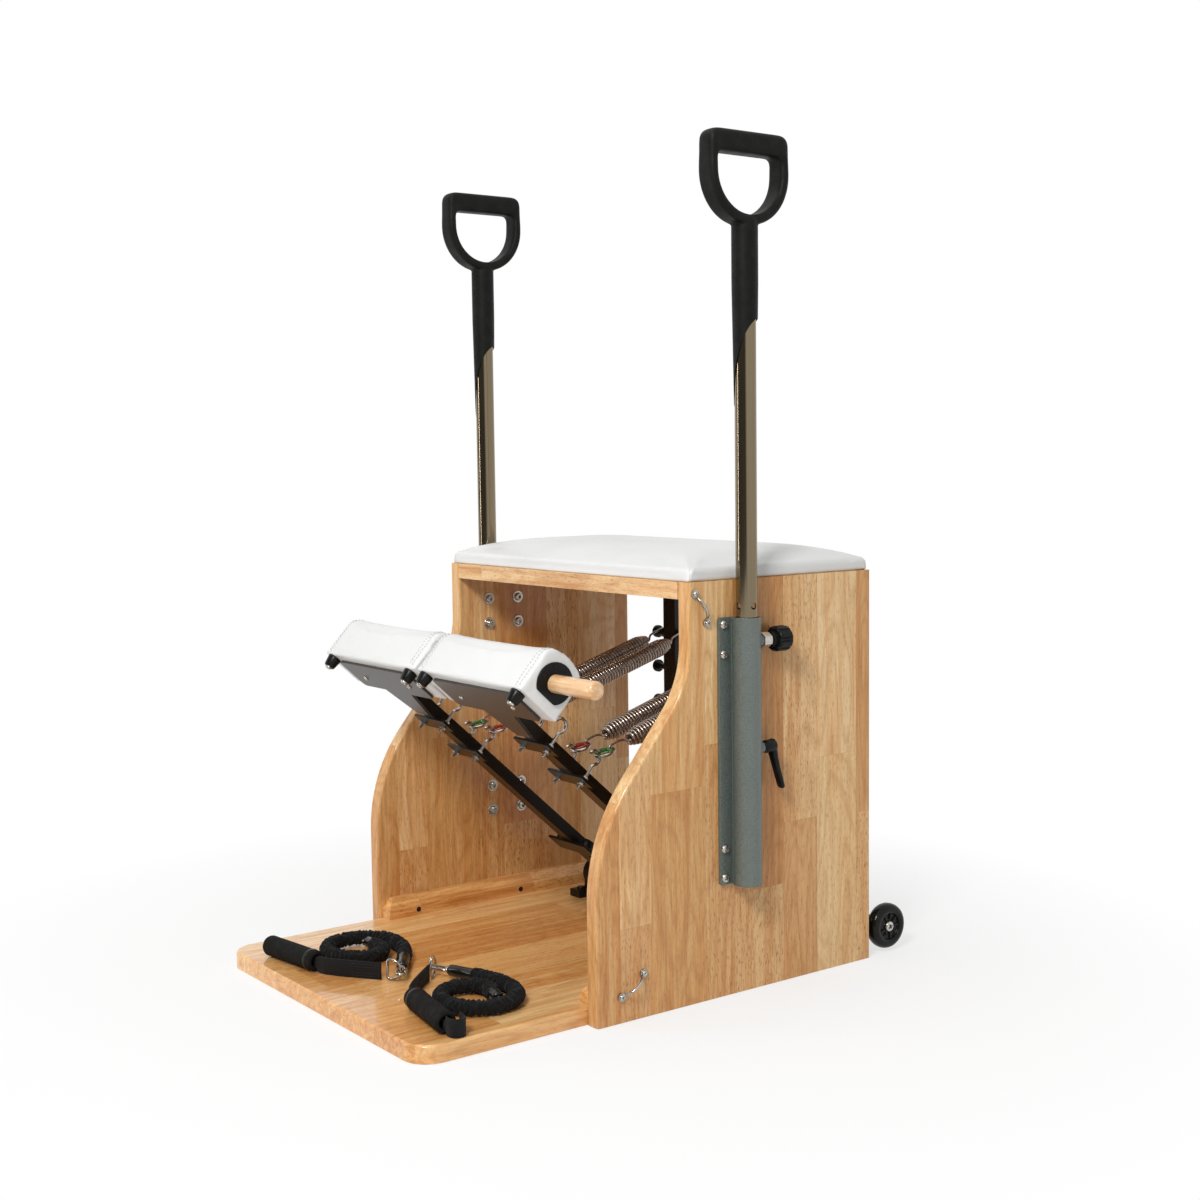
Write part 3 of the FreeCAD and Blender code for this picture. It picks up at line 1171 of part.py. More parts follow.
def grip_arch():
    """Cutter of the tall elliptic arch between the two tongues of a grip."""
    left = POLE_X - GRIP_NECK_RADIUS - OVERRUN
    half = GRIP_NECK_RADIUS - GRIP_TIP_DEPTH
    foot = V(left, SLEEVE_Y, GRIP_NECK_BOTTOM)
    ellipse = Part.Ellipse(foot + V(0, 0, GRIP_ARCH_RISE), foot + V(0, half, 0), foot)
    arch = Part.Arc(ellipse, -math.pi / 2, math.pi / 2).toShape()
    ends = [vertex.Point for vertex in arch.Vertexes]
    below = [end - V(0, 0, OVERRUN) for end in ends]
    sides = [Part.makeLine(end, foot) for end, foot in zip(ends, below)]
    outline = Part.Wire(Part.__sortEdges__([arch, *sides, Part.makeLine(*below)]))
    return Part.Face(outline).extrude(V(2 * (GRIP_NECK_RADIUS + OVERRUN), 0, 0))


def pull_knob(sign):
    """Pin, collar and fluted knob of a pull-pin, drawn along +Z from the pole's axis."""
    tip = POLE_RADIUS + TIP_CLEARANCE
    face = BOSS_FACE + PIN_NUT_HEIGHT + KNOB_GAP - SLEEVE_Y
    pin = rod((0, 0, tip), Z_AXIS, PIN_RADIUS, face - tip + KNOB_COLLAR_LENGTH)
    collar = rod((0, 0, face), Z_AXIS, KNOB_COLLAR_RADIUS, KNOB_COLLAR_LENGTH)
    start = face + KNOB_COLLAR_LENGTH
    head = softened(rod((0, 0, start), Z_AXIS, KNOB_RADIUS, KNOB_LENGTH), KNOB_ROUND, lambda e: e.Closed)
    flutes = []
    for step in range(KNOB_FLUTES):
        turn = 2 * math.pi * step / KNOB_FLUTES
        spot = (KNOB_RADIUS * math.cos(turn), KNOB_RADIUS * math.sin(turn), start)
        flutes.append(hole(spot, Z_AXIS, KNOB_FLUTE_RADIUS, KNOB_LENGTH))
    knob = joined([pin, collar, bored(head, flutes)])
    return mirrored([aimed(knob, (POLE_X, SLEEVE_Y, PIN_Z), Y_AXIS)], sign)


def clamp_lever(sign):
    """Clamp stud, hub and hanging lever."""
    tip = POLE_RADIUS + TIP_CLEARANCE
    stud = rod((POLE_X, SLEEVE_Y + tip, LEVER_Z), Y_AXIS, PIN_RADIUS, BOSS_FACE - SLEEVE_Y - tip + OVERRUN)
    hub = rod((POLE_X, BOSS_FACE, LEVER_Z), Y_AXIS, LEVER_HUB_RADIUS, LEVER_HUB_LENGTH)
    hub_end = BOSS_FACE + LEVER_HUB_LENGTH
    left = POLE_X - LEVER_WIDTH / 2
    arm = [
        (left, hub_end - LEVER_THICKNESS, LEVER_Z + LEVER_HUB_RADIUS / 2),
        (left, hub_end, LEVER_Z + LEVER_HUB_RADIUS / 2),
        (left, hub_end + LEVER_SLANT, LEVER_Z - LEVER_LENGTH),
        (left, hub_end + LEVER_SLANT - LEVER_TIP_THICKNESS, LEVER_Z - LEVER_LENGTH),
    ]
    bar = softened(slab(arm, (LEVER_WIDTH, 0, 0)), LEVER_ROUND, lambda e: True)
    return mirrored([joined([stud, hub, bar])], sign)


def turned_out(degrees):
    """Unit vector in plan at an angle from +X towards +Y."""
    return V(math.cos(math.radians(degrees)), math.sin(math.radians(degrees)), 0)


class Band:
    """Layout of one exercise band on the base, worked out from its coil to its grip."""

    def __init__(self, coil, start_deg, turning, strap_deg, strap_run, grip_deg):
        self.centre = V(*coil, BAND_Z + BAND_TUBE_RADIUS)
        self.start_deg = start_deg
        self.turning = turning
        self.strap = turned_out(strap_deg)
        self.grip = turned_out(grip_deg)
        entry, inward = self.station(0)
        self.lead = inward
        self.tube_end = entry - inward * (2 * BAND_TUBE_RADIUS)
        self.hook_eye = self.tube_end - inward * (BAND_CAP_LENGTH + BAND_HOOK_LENGTH)
        ring_middle = BAND_RING_RADIUS - BAND_RING_WIRE_RADIUS
        rise = BAND_RING_RADIUS - BAND_TUBE_RADIUS
        reach = math.sqrt(ring_middle ** 2 - rise ** 2)
        self.ring = self.hook_eye - self.strap * reach + V(0, 0, rise)
        level = BAND_Z + STRAP_HEIGHT / 2 - self.ring.z
        gap = BAND_RING_RADIUS + SOFT_CLEARANCE
        self.strap_end = self.ring - self.strap * gap + V(0, 0, level)
        self.corner = self.strap_end - self.strap * strap_run
        self.grip_end = self.corner - self.grip * STRAP_LEAD

    def station(self, degrees):
        """Point and heading of the tube's axis, a turn angle after its start."""
        radius = BAND_COIL_RADIUS
        growth = 0
        if degrees < BAND_LEAD_TURN_DEG:
            left = 1 - degrees / BAND_LEAD_TURN_DEG
            radius += BAND_LEAD_WIDENING * left * left
            growth = -2 * BAND_LEAD_WIDENING * left / math.radians(BAND_LEAD_TURN_DEG)
        if degrees > BAND_ROUND_TURN_DEG:
            span = BAND_END_TURN_DEG - BAND_ROUND_TURN_DEG
            done = (degrees - BAND_ROUND_TURN_DEG) / span
            radius -= BAND_INNER_CLOSING * done * done
            growth = -2 * BAND_INNER_CLOSING * done / math.radians(span)
        out = turned_out(self.start_deg + self.turning * degrees)
        around = V(-out.y, out.x, 0) * self.turning
        return self.centre + out * radius, (around * radius + out * growth).normalize()

    def stations(self):
        """Points and headings of the whole tube, with a straight run at each end."""
        turns = [0, BAND_LEAD_TURN_DEG / 2, BAND_LEAD_TURN_DEG]
        round_turn = BAND_ROUND_TURN_DEG - BAND_LEAD_TURN_DEG
        turns += [BAND_LEAD_TURN_DEG + round_turn * step / 3 for step in (1, 2, 3)]
        last = BAND_END_TURN_DEG - BAND_ROUND_TURN_DEG
        turns += [BAND_ROUND_TURN_DEG + last * step / 3 for step in (1, 2, 3)]
        run = [self.station(turn) for turn in turns]
        end, heading = run[-1]
        tail = (end + heading * (2 * BAND_TUBE_RADIUS), heading)
        return [(self.tube_end, self.lead), *run, tail]


BANDS = {
    "left": Band(LEFT_COIL, LEFT_COIL_START_DEG, 1, LEFT_STRAP_DEG, LEFT_STRAP_RUN, LEFT_GRIP_DEG),
    "right": Band(RIGHT_COIL, RIGHT_COIL_START_DEG, -1, RIGHT_STRAP_DEG, RIGHT_STRAP_RUN, RIGHT_GRIP_DEG),
}


def band_tubes():
    """Elastic tubes of the bands, each wound on the base in one unbroken run."""
    tubes = []
    for name, band in BANDS.items():
        path = through(band.stations())
        print("band %s: length %.1f mm, least gap to itself %.2f mm"
              % (name, path.Length, self_gap(path, BAND_TUBE_RADIUS)))
        tubes.append(round_tube(path, band.lead, BAND_TUBE_RADIUS))
    return tubes


def band_caps():
    """Moulded caps on both ends of each tube."""
    solids = []
    for band in BANDS.values():
        solids.append(rod(band.tube_end, -band.lead, BAND_CAP_RADIUS, BAND_CAP_LENGTH))
        tail, heading = band.stations()[-1]
        solids.append(rod(tail, heading, BAND_CAP_RADIUS, BAND_INNER_CAP_LENGTH))
    return solids


def band_hooks():
    """D-rings, and snap hooks between them and the caps."""
    solids = []
    for band in BANDS.values():
        across = band.strap.cross(Z_AXIS)
        middle = BAND_RING_RADIUS - BAND_RING_WIRE_RADIUS
        solids.append(Part.makeTorus(middle, BAND_RING_WIRE_RADIUS, band.ring, across))
        side = band.lead.cross(Z_AXIS) * BAND_HOOK_HALF_WIDTH
        far = band.hook_eye
        near = far + band.lead * (BAND_HOOK_LENGTH - BAND_HOOK_HALF_WIDTH - BAND_HOOK_WIRE_RADIUS)
        path = Part.Wire([
            Part.makeLine(far + side, near + side),
            Part.Arc(near + side, near + band.lead * BAND_HOOK_HALF_WIDTH, near - side).toShape(),
            Part.makeLine(near - side, far - side),
            Part.Arc(far - side, far - band.lead * BAND_HOOK_HALF_WIDTH, far + side).toShape(),
        ])
        solids.append(round_tube(path, band.lead, BAND_HOOK_WIRE_RADIUS))
    return solids


def ribbon(path, heading):
    """Webbing on edge along a level path."""
    start = path.OrderedVertexes[0].Point
    side = heading.cross(Z_AXIS) * (STRAP_THICKNESS / 2)
    up = V(0, 0, STRAP_HEIGHT / 2)
    corners = [start + side + up, start - side + up, start - side - up, start + side - up]
    return path.makePipeShell([Part.makePolygon(corners + corners[:1])], True, False)


def band_straps():
    """Webbing from each grip to its D-ring, and the folded stub behind the right grip."""
    solids = []
    for band in BANDS.values():
        turn = band.grip.getAngle(band.strap)
        trim = STRAP_BEND_RADIUS * math.tan(turn / 2)
        bend_start = band.corner - band.grip * trim
        bend_end = band.corner + band.strap * trim
        path = Part.Wire([
            Part.makeLine(band.grip_end, bend_start),
            arc_edge(bend_start, V(band.grip), bend_end),
            Part.makeLine(bend_end, band.strap_end),
        ])
        solids.append(ribbon(path, band.grip))
    return solids + [strap_stub(BANDS["right"])]


def strap_stub(band):
    """Webbing folded back beside the far end of a grip, on the coil's side."""
    away = -band.grip
    start = band.grip_end + away * (FOAM_LENGTH + 2 * SOFT_CLEARANCE)
    side = Z_AXIS.cross(away)
    if side.dot(band.centre - start) < 0:
        side = -side
    fold = start + away * STUB_LEAD
    over = fold + side * (2 * STUB_RADIUS)
    middle = fold + (away + side) * STUB_RADIUS
    path = Part.Wire([
        Part.makeLine(start, fold),
        Part.Arc(fold, middle, over).toShape(),
        Part.makeLine(over, over - away * STUB_RETURN),
    ])
    return ribbon(path, away)


def band_grips():
    """Foam tubes of the band handles."""
    solids = []
    for band in BANDS.values():
        start = V(band.grip_end.x, band.grip_end.y, BAND_Z + FOAM_RADIUS) - band.grip * SOFT_CLEARANCE
        foam = softened(Part.makeCylinder(FOAM_RADIUS, FOAM_LENGTH), FOAM_ROUND, lambda e: e.Closed)
        foam = foam.cut(hole(ORIGIN, Z_AXIS, FOAM_BORE_RADIUS, FOAM_LENGTH))
        solids.append(aimed(foam, start, -band.grip))
    return solids


def pieces():
    """All sub-parts of the chair by name."""
    named = {
        "base_board": base_board(),
        "top_board": top_board(),
        "seat_plywood": seat_plywood(),
        "seat_cushion": seat_cushion(),
        "base_cleats": base_cleats(),
        "pivot_axle": pivot_axle(),
        "pivot_blocks": pivot_blocks(),
        "sleeve_bolts": sleeve_bolts(),
        "spring_posts": spring_posts(),
        "band_tubes": band_tubes(),
        "eye_straps": eye_straps(),
        "frame_screws": frame_screws(),
        "wheel_brackets": wheel_brackets(),
        "dowel": dowel(),
        "band_grips": band_grips(),
        "band_straps": band_straps(),
        "band_hooks": band_hooks(),
        "band_caps": band_caps(),
    }
    for side, sign in SIDES:
        named["side_panel_" + side] = side_panel(sign)
        named["sleeve_" + side] = sleeve(sign)
        named["wheel_" + side] = wheel(sign)
        named["pedal_arm_" + side] = pedal_arm(sign)
        named["pedal_plate_" + side] = pedal_plate(sign)
        named["pedal_pad_" + side] = pedal_pad(sign)
        named["pedal_feet_" + side] = pedal_feet(sign)
        named["pedal_screws_" + side] = pedal_screws(sign)
        named["dowel_socket_" + side] = dowel_socket(sign)
        named["spring_hooks_" + side] = spring_hooks(sign)
        named["ring_green_" + side] = spring_ring(sign, sign)[0]
        named["ring_red_" + side] = spring_ring(sign, -sign)[0]
        for place, end in (("outer", sign), ("inner", -sign)):
            named["spring_%s_%s" % (side, place)] = spring(sign, end)
            named["spring_eye_%s_%s" % (side, place)] = spring_eye(sign, end)
        named["guide_bush_" + side] = guide_bush(sign)
        named["handle_pole_" + side] = handle_pole(sign)
        named["handle_grip_" + side] = handle_grip(sign)
        named["pull_knob_" + side] = pull_knob(sign)
        named["clamp_lever_" + side] = clamp_lever(sign)
    return named


def main():
    """Write every sub-part to its own file."""
    os.makedirs("parts", exist_ok=True)
    for name, solids in pieces().items():
        shape = solids[0] if len(solids) == 1 else Part.makeCompound(solids)
        bad = [s for s in solids if not s.isValid() or s.Volume <= 0 or len(s.Solids) != 1]
        if bad:
            print("check %s: %d faulty solids" % (name, len(bad)))
        shape.exportStep("parts/%s.step" % name)


main()
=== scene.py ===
"""Looks of a pilates chair: lacquered wood, vinyl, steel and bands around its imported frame.

Metres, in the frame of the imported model: the origin is the middle of the base's underside,
+X is the chair's right, +Y its rear and +Z up.
"""

import json
import logging
import math
from collections.abc import Callable, Iterable, Iterator, Sequence
from contextlib import contextmanager
from dataclasses import dataclass, field
from enum import Enum

import bmesh
import bpy
from mathutils import Matrix, Vector, noise
from mathutils.bvhtree import BVHTree

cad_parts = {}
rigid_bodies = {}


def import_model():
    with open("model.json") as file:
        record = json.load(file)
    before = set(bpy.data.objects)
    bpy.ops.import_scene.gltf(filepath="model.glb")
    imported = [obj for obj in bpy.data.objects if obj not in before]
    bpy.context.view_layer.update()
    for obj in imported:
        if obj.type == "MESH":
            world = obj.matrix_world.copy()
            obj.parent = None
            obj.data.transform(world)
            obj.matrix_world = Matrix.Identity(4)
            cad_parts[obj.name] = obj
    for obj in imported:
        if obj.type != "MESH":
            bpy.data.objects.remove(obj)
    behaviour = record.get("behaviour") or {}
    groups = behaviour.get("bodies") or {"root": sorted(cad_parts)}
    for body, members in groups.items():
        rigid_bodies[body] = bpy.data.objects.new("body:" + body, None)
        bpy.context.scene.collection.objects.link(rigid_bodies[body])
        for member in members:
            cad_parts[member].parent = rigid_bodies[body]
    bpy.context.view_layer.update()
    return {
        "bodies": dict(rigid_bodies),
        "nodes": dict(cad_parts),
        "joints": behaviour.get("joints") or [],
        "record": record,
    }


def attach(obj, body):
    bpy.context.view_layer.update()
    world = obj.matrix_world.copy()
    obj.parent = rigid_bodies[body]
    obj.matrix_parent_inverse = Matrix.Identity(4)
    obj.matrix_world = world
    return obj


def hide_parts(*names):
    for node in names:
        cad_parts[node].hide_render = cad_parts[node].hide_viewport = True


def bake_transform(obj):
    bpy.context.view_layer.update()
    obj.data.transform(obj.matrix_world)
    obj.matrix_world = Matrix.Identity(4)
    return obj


LOG = logging.getLogger("pilates_chair")
Colour = tuple[float, float, float]
Value = object
UP = Vector((0.0, 0.0, 1.0))
RIGHT = Vector((1.0, 0.0, 0.0))
REARWARD = Vector((0.0, 1.0, 0.0))
WHITE = (1.0, 1.0, 1.0, 1.0)
POLE = (0.3265, 0.123)  # a handle's pole: its distance from the middle and its place along +Y
WELD = 1e-6  # points of a drawn mesh that are closer than this are one
PACKED_WELD = 1e-5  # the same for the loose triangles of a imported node


class Side(Enum):
    """Side of the chair, as the sign of its X."""

    LEFT = -1
    RIGHT = 1

    @property
    def label(self) -> str:
        """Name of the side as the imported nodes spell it."""
        return self.name.lower()


class Axis(Enum):
    """Axis of the chair's frame."""

    X = 0
    Y = 1
    Z = 2


class Drive(Enum):
    """Recess in a screw's head."""

    CROSS = "cross"
    HEX = "hex"


# Node trees


class NodeTree:
    """A node tree under construction."""

    def __init__(self, tree: bpy.types.NodeTree) -> None:
        """Start from an empty tree.

        Args:
            tree: the tree to fill.
        """
        self.tree = tree
        tree.nodes.clear()

    def feed(self, socket: bpy.types.NodeSocket, value: Value) -> None:
        """Link a socket to another one, or set its own value.

        Args:
            socket: input to feed.
            value: an output socket, or a plain value.
        """
        if isinstance(value, bpy.types.NodeSocket):
            self.tree.links.new(value, socket)
        else:
            socket.default_value = value

    def add(self, kind: str, inputs: dict | None = None, **settings: Value) -> bpy.types.Node:
        """Add a node.

        Args:
            kind: Blender's name of the node type.
            inputs: values or sockets by input name or number.
            settings: properties of the node.

        Returns:
            The new node.
        """
        node = self.tree.nodes.new(kind)
        for key, value in settings.items():
            setattr(node, key, value)
        for key, value in (inputs or {}).items():
            self.feed(node.inputs[key], value)
        return node

    def math(self, operation: str, *values: Value) -> bpy.types.NodeSocket:
        """One step of arithmetic on sockets or numbers."""
        node = self.add("ShaderNodeMath", dict(enumerate(values)), operation=operation)
        return node.outputs[0]

    def join(self, x: Value, y: Value, z: Value) -> bpy.types.NodeSocket:
        """Vector out of three numbers."""
        return self.add("ShaderNodeCombineXYZ", {0: x, 1: y, 2: z}).outputs[0]

    def remap(self, value: Value, low: float, high: float, to_low: float = 0.0,
              to_high: float = 1.0) -> bpy.types.NodeSocket:
        """Clamped linear change of range.

        Args:
            value: number to change.
            low: value that gives to_low.
            high: value that gives to_high.
            to_low: first result.
            to_high: last result.

        Returns:
            Socket of the result.
        """
        inputs = {"Value": value, "From Min": low, "From Max": high, "To Min": to_low, "To Max": to_high}
        return self.add("ShaderNodeMapRange", inputs, clamp=True).outputs[0]


class Surface(NodeTree):
    """A material with one Principled shader under construction."""

    def __init__(self, name: str) -> None:
        """Start a material.

        Args:
            name: the material's name.
        """
        self.material = bpy.data.materials.new(name)
        self.material.use_nodes = True
        super().__init__(self.material.node_tree)
        self.shader = self.add("ShaderNodeBsdfPrincipled")
        self.add("ShaderNodeOutputMaterial", {"Surface": self.shader.outputs[0]})

    def place(self) -> bpy.types.NodeSocket:
        """Object coordinates."""
        return self.add("ShaderNodeTexCoord").outputs["Object"]

    def unwrapped(self) -> bpy.types.NodeSocket:
        """The piece's own UV map, in metres."""
        return self.add("ShaderNodeTexCoord").outputs["UV"]

    def split(self, vector: Value) -> list[bpy.types.NodeSocket]:
        """Three numbers of a vector."""
        return list(self.add("ShaderNodeSeparateXYZ", {0: vector}).outputs)

    def shift(self, vector: Value, by: Value) -> bpy.types.NodeSocket:
        """Sum of two vectors."""
        return self.add("ShaderNodeVectorMath", {0: vector, 1: by}, operation="ADD").outputs[0]

    def clouds(self, vector: Value, size: float, detail: float = 2.0, rough: float = 0.5,
               swirl: float = 0.0) -> bpy.types.NodeSocket:
        """Noise.

        Args:
            vector: where to read it.
            size: size of its features in metres.
            detail: octaves of finer noise.
            rough: strength of the finer octaves.
            swirl: distortion.

        Returns:
            Socket of the noise, about 0 to 1.
        """
        inputs = {"Vector": vector, "Scale": 1.0 / size, "Detail": detail, "Roughness": rough,
                  "Distortion": swirl}
        return self.add("ShaderNodeTexNoise", inputs).outputs[0]

    def cells(self, vector: Value, size: float, feature: str = "F1") -> bpy.types.NodeSocket:
        """Distance in a field of irregular cells of one size."""
        inputs = {"Vector": vector, "Scale": 1.0 / size}
        return self.add("ShaderNodeTexVoronoi", inputs, feature=feature).outputs["Distance"]

    def dice(self, vector: Value) -> bpy.types.Node:
        """Random value and colour for each whole-numbered place."""
        return self.add("ShaderNodeTexWhiteNoise", {"Vector": vector}, noise_dimensions="3D")

    def ramp(self, value: Value, colours: Sequence[Colour]) -> bpy.types.NodeSocket:
        """Colours in even steps over 0 to 1.

        Args:
            value: place on the ramp.
            colours: the colours in order.

        Returns:
            Socket of the colour.
        """
        node = self.add("ShaderNodeValToRGB", {0: value})
        stops = node.color_ramp.elements
        while len(stops) < len(colours):
            stops.new(0.5)
        for number, colour in enumerate(colours):
            stops[number].position = number / (len(colours) - 1)
            stops[number].color = (*colour, 1.0)
        return node.outputs[0]

    def mix(self, share: Value, first: Value, second: Value, way: str = "MIX") -> bpy.types.NodeSocket:
        """Blend of two colours.

        Args:
            share: weight of the second colour.
            first: colour or socket.
            second: colour or socket.
            way: Blender's name of the blending.

        Returns:
            Socket of the mixed colour.
        """
        pair = [value if isinstance(value, bpy.types.NodeSocket) else (*value, 1.0)
                for value in (first, second)]
        node = self.add("ShaderNodeMix", {0: share, 6: pair[0], 7: pair[1]}, data_type="RGBA", blend_type=way)
        return node.outputs[2]

    def relief(self, height: Value, depth: float, below: Value | None = None,
               strength: float = 1.0) -> bpy.types.NodeSocket:
        """Normal of a fine relief.

        Args:
            height: relief, 0 to 1.
            depth: its depth in metres.
            below: normal that it lies on.
            strength: how much of it shows.

        Returns:
            Socket of the normal.
        """
        inputs = {"Height": height, "Distance": depth, "Strength": strength}
        if below is not None:
            inputs["Normal"] = below
        return self.add("ShaderNodeBump", inputs).outputs[0]

    def eased(self, radius: float) -> bpy.types.NodeSocket:
        """Normal with the edges eased by a small radius."""
        return self.add("ShaderNodeBevel", {"Radius": radius}, samples=6).outputs[0]

    def finish(self, **values: Value) -> bpy.types.Material:
        """Set the shader's inputs, named with underscores for blanks.

        Args:
            values: numbers, colours or sockets.

        Returns:
            The finished material.
        """
        for key, value in values.items():
            if isinstance(value, tuple) and len(value) == 3:
                value = (*value, 1.0)
            self.feed(self.shader.inputs[key.replace("_", " ")], value)
        return self.material


# Finishes


@dataclass(frozen=True)
class Grain:
    """One layer of wood grain: noise drawn out along a stave."""

    size: float
    detail: float
    rough: float
    swirl: float
    low: float
    share: float
    tint: Colour
    high: float = 0.66

    def seen(self, art: Surface, fibre: Value) -> bpy.types.NodeSocket:
        """How much of the layer shows at a place, 0 to 1."""
        return art.remap(art.clouds(fibre, self.size, self.detail, self.rough, self.swirl), self.low, self.high)


STREAKS = Grain(0.0085, 4.0, 0.58, 0.6, 0.38, 0.95, (0.76, 0.58, 0.40))
THREADS = Grain(0.0019, 3.0, 0.6, 0.0, 0.38, 0.48, (0.78, 0.64, 0.48))
BROAD = Grain(0.024, 3.0, 0.5, 0.9, 0.40, 0.60, (0.90, 0.67, 0.43))
FLAME_TINT = (0.66, 0.46, 0.30)
PORE_TINT = (0.52, 0.36, 0.23)
SEAM_TINT = (0.45, 0.28, 0.16)


@dataclass(frozen=True)
class StaveWood:
    """Lacquered rubberwood, glued up from staves that are butted end to end."""

    name: str
    run: Axis
    across: Axis
    tones: tuple[Colour, ...]
    stave: float = 0.064
    block: float = 0.33
    seed: float = 0.0
    roughness: float = 0.30
    figure: float = 0.34
    lacquer: float = 0.3
    pore: float = 0.9

    def build(self) -> bpy.types.Material:
        """Make the material with its staves, streaks, pores and glue lines.

        Returns:
            The finished material.
        """
        art = Surface(self.name)
        axes = art.split(art.place())
        run, across = axes[self.run.value], axes[self.across.value]
        deep = axes[3 - self.run.value - self.across.value]
        uneven = art.math("SINE", art.math("MULTIPLY_ADD", across, 47.0, self.seed))
        lane_place = art.math("MULTIPLY_ADD", uneven, 0.17,
                              art.math("MULTIPLY_ADD", across, 1.0 / self.stave, self.seed))
        lane = art.math("FLOOR", lane_place)
        lane_dice = art.dice(art.join(lane, self.seed, 3.0)).outputs["Value"]
        length = art.math("MULTIPLY_ADD", lane_dice, self.block * 0.8, self.block * 0.6)
        block_place = art.math("DIVIDE", art.math("MULTIPLY_ADD", lane_dice, 1.7, run), length)
        cell = art.dice(art.join(lane, art.math("FLOOR", block_place), self.seed))
        tone = art.ramp(cell.outputs["Value"], self.tones)

        def drawn_out(share: float) -> bpy.types.NodeSocket:
            """Place in the block, with its length shortened to a share."""
            place = art.join(across, deep, art.math("MULTIPLY", run, share))
            return art.shift(place, cell.outputs["Color"])

        fibre = drawn_out(0.045)
        strong = art.remap(art.split(cell.outputs["Color"])[1], 0.0, 1.0, 0.35, 1.0)
        streaks = art.math("MULTIPLY", STREAKS.seen(art, fibre), strong)
        waves = art.math("MULTIPLY", art.clouds(drawn_out(0.16), 0.056, 1.0, 0.4), 15.0)
        flame = art.remap(art.math("PINGPONG", waves, 0.5), 0.30, 0.0, 0.0, self.figure)
        density = art.dice(art.join(art.math("FLOOR", block_place), lane, 5.0)).outputs["Value"]
        pores = art.math("MULTIPLY", art.remap(art.clouds(drawn_out(0.13), 0.00125, 1.0, 0.5), 0.585, 0.66),
                         art.remap(density, 0.0, 1.0, 0.30 * self.pore, self.pore))
        lines = art.math("MINIMUM", self.nearness(art, lane_place, self.stave),
                         self.nearness(art, block_place, self.block))
        seam = art.remap(lines, 0.0001, 0.0008, 0.16, 0.0)
        colour = tone
        threads, broad = THREADS.seen(art, fibre), BROAD.seen(art, fibre)
        for layer, shows in ((STREAKS, streaks), (THREADS, threads), (BROAD, broad)):
            colour = art.mix(art.math("MULTIPLY", shows, layer.share), colour, layer.tint, "MULTIPLY")
        for shows, tint in ((flame, FLAME_TINT), (pores, PORE_TINT), (seam, SEAM_TINT)):
            colour = art.mix(shows, colour, tint, "MULTIPLY")
        gloss = art.math("MULTIPLY_ADD", streaks, 0.10, self.roughness)
        normal = art.relief(art.math("SUBTRACT", 1.0, art.math("MAXIMUM", pores, seam)), 0.00006)
        return art.finish(Base_Color=colour, Roughness=gloss, Normal=normal, Coat_Weight=self.lacquer,
                          Coat_Roughness=0.09, Specular_IOR_Level=0.30)

    @staticmethod
    def nearness(art: Surface, place: Value, size: float) -> bpy.types.NodeSocket:
        """Distance in metres from the nearest whole number of a counted place."""
        part = art.math("FRACT", place)
        return art.math("MULTIPLY", art.math("MINIMUM", part, art.math("SUBTRACT", 1.0, part)), size)


@dataclass(frozen=True)
class PlyStack:
    """Edges of plywood, dark and light plies in turn."""

    name: str
    light: Colour = (0.52, 0.35, 0.19)
    dark: Colour = (0.30, 0.17, 0.08)
    ply: float = 0.0015

    def build(self) -> bpy.types.Material:
        """Make the material.

        Returns:
            The finished material.
        """
        art = Surface(self.name)
        place = art.place()
        x, y, z = art.split(place)
        plies = art.math("PINGPONG", art.math("DIVIDE", z, self.ply), 1.0)
        fibre = art.clouds(art.join(art.math("MULTIPLY", x, 0.05), y, z), 0.003, 4.0)
        colour = art.mix(art.math("MULTIPLY", plies, 0.8), self.light, self.dark)
        colour = art.mix(art.math("MULTIPLY", fibre, 0.5), colour, (0.6, 0.5, 0.4), "MULTIPLY")
        return art.finish(Base_Color=colour, Roughness=0.62, Normal=art.relief(fibre, 0.0001))


@dataclass(frozen=True)
class SoftVinyl:
    """Upholstery vinyl with a fine pebbled grain."""

    name: str
    colour: Colour = (0.715, 0.715, 0.708)
    shade: Colour = (0.672, 0.672, 0.661)
    grain: float = 0.0013
    depth: float = 0.00007
    roughness: float = 0.36

    def build(self) -> bpy.types.Material:
        """Make the material with its pebbles, painted shade in the hollows between them, faint creases and soft
        gloss.

        Returns:
            The finished material.
        """
        art = Surface(self.name)
        place = art.place()
        pebbles = art.remap(art.cells(place, self.grain, "DISTANCE_TO_EDGE"), 0.0, 0.16)
        creases = art.clouds(place, 0.034, 4.0, 0.55, 1.2)
        drift = art.clouds(place, 0.12, 2.0)
        colour = art.mix(art.remap(drift, 0.35, 0.7), self.colour, self.shade)
        # Painted shade: the hollows between the pebbles are darkened in the colour.
        colour = art.mix(art.remap(pebbles, 0.0, 1.0, 0.16, 0.0), colour, (0.80, 0.79, 0.77), "MULTIPLY")
        normal = art.relief(creases, 0.0006, strength=0.35)
        normal = art.relief(pebbles, self.depth, normal)
        gloss = art.remap(art.clouds(place, 0.006, 3.0), 0.3, 0.7, self.roughness - 0.05, self.roughness + 0.07)
        return art.finish(Base_Color=colour, Roughness=gloss, Normal=normal, Coat_Weight=0.12,
                          Coat_Roughness=0.22)


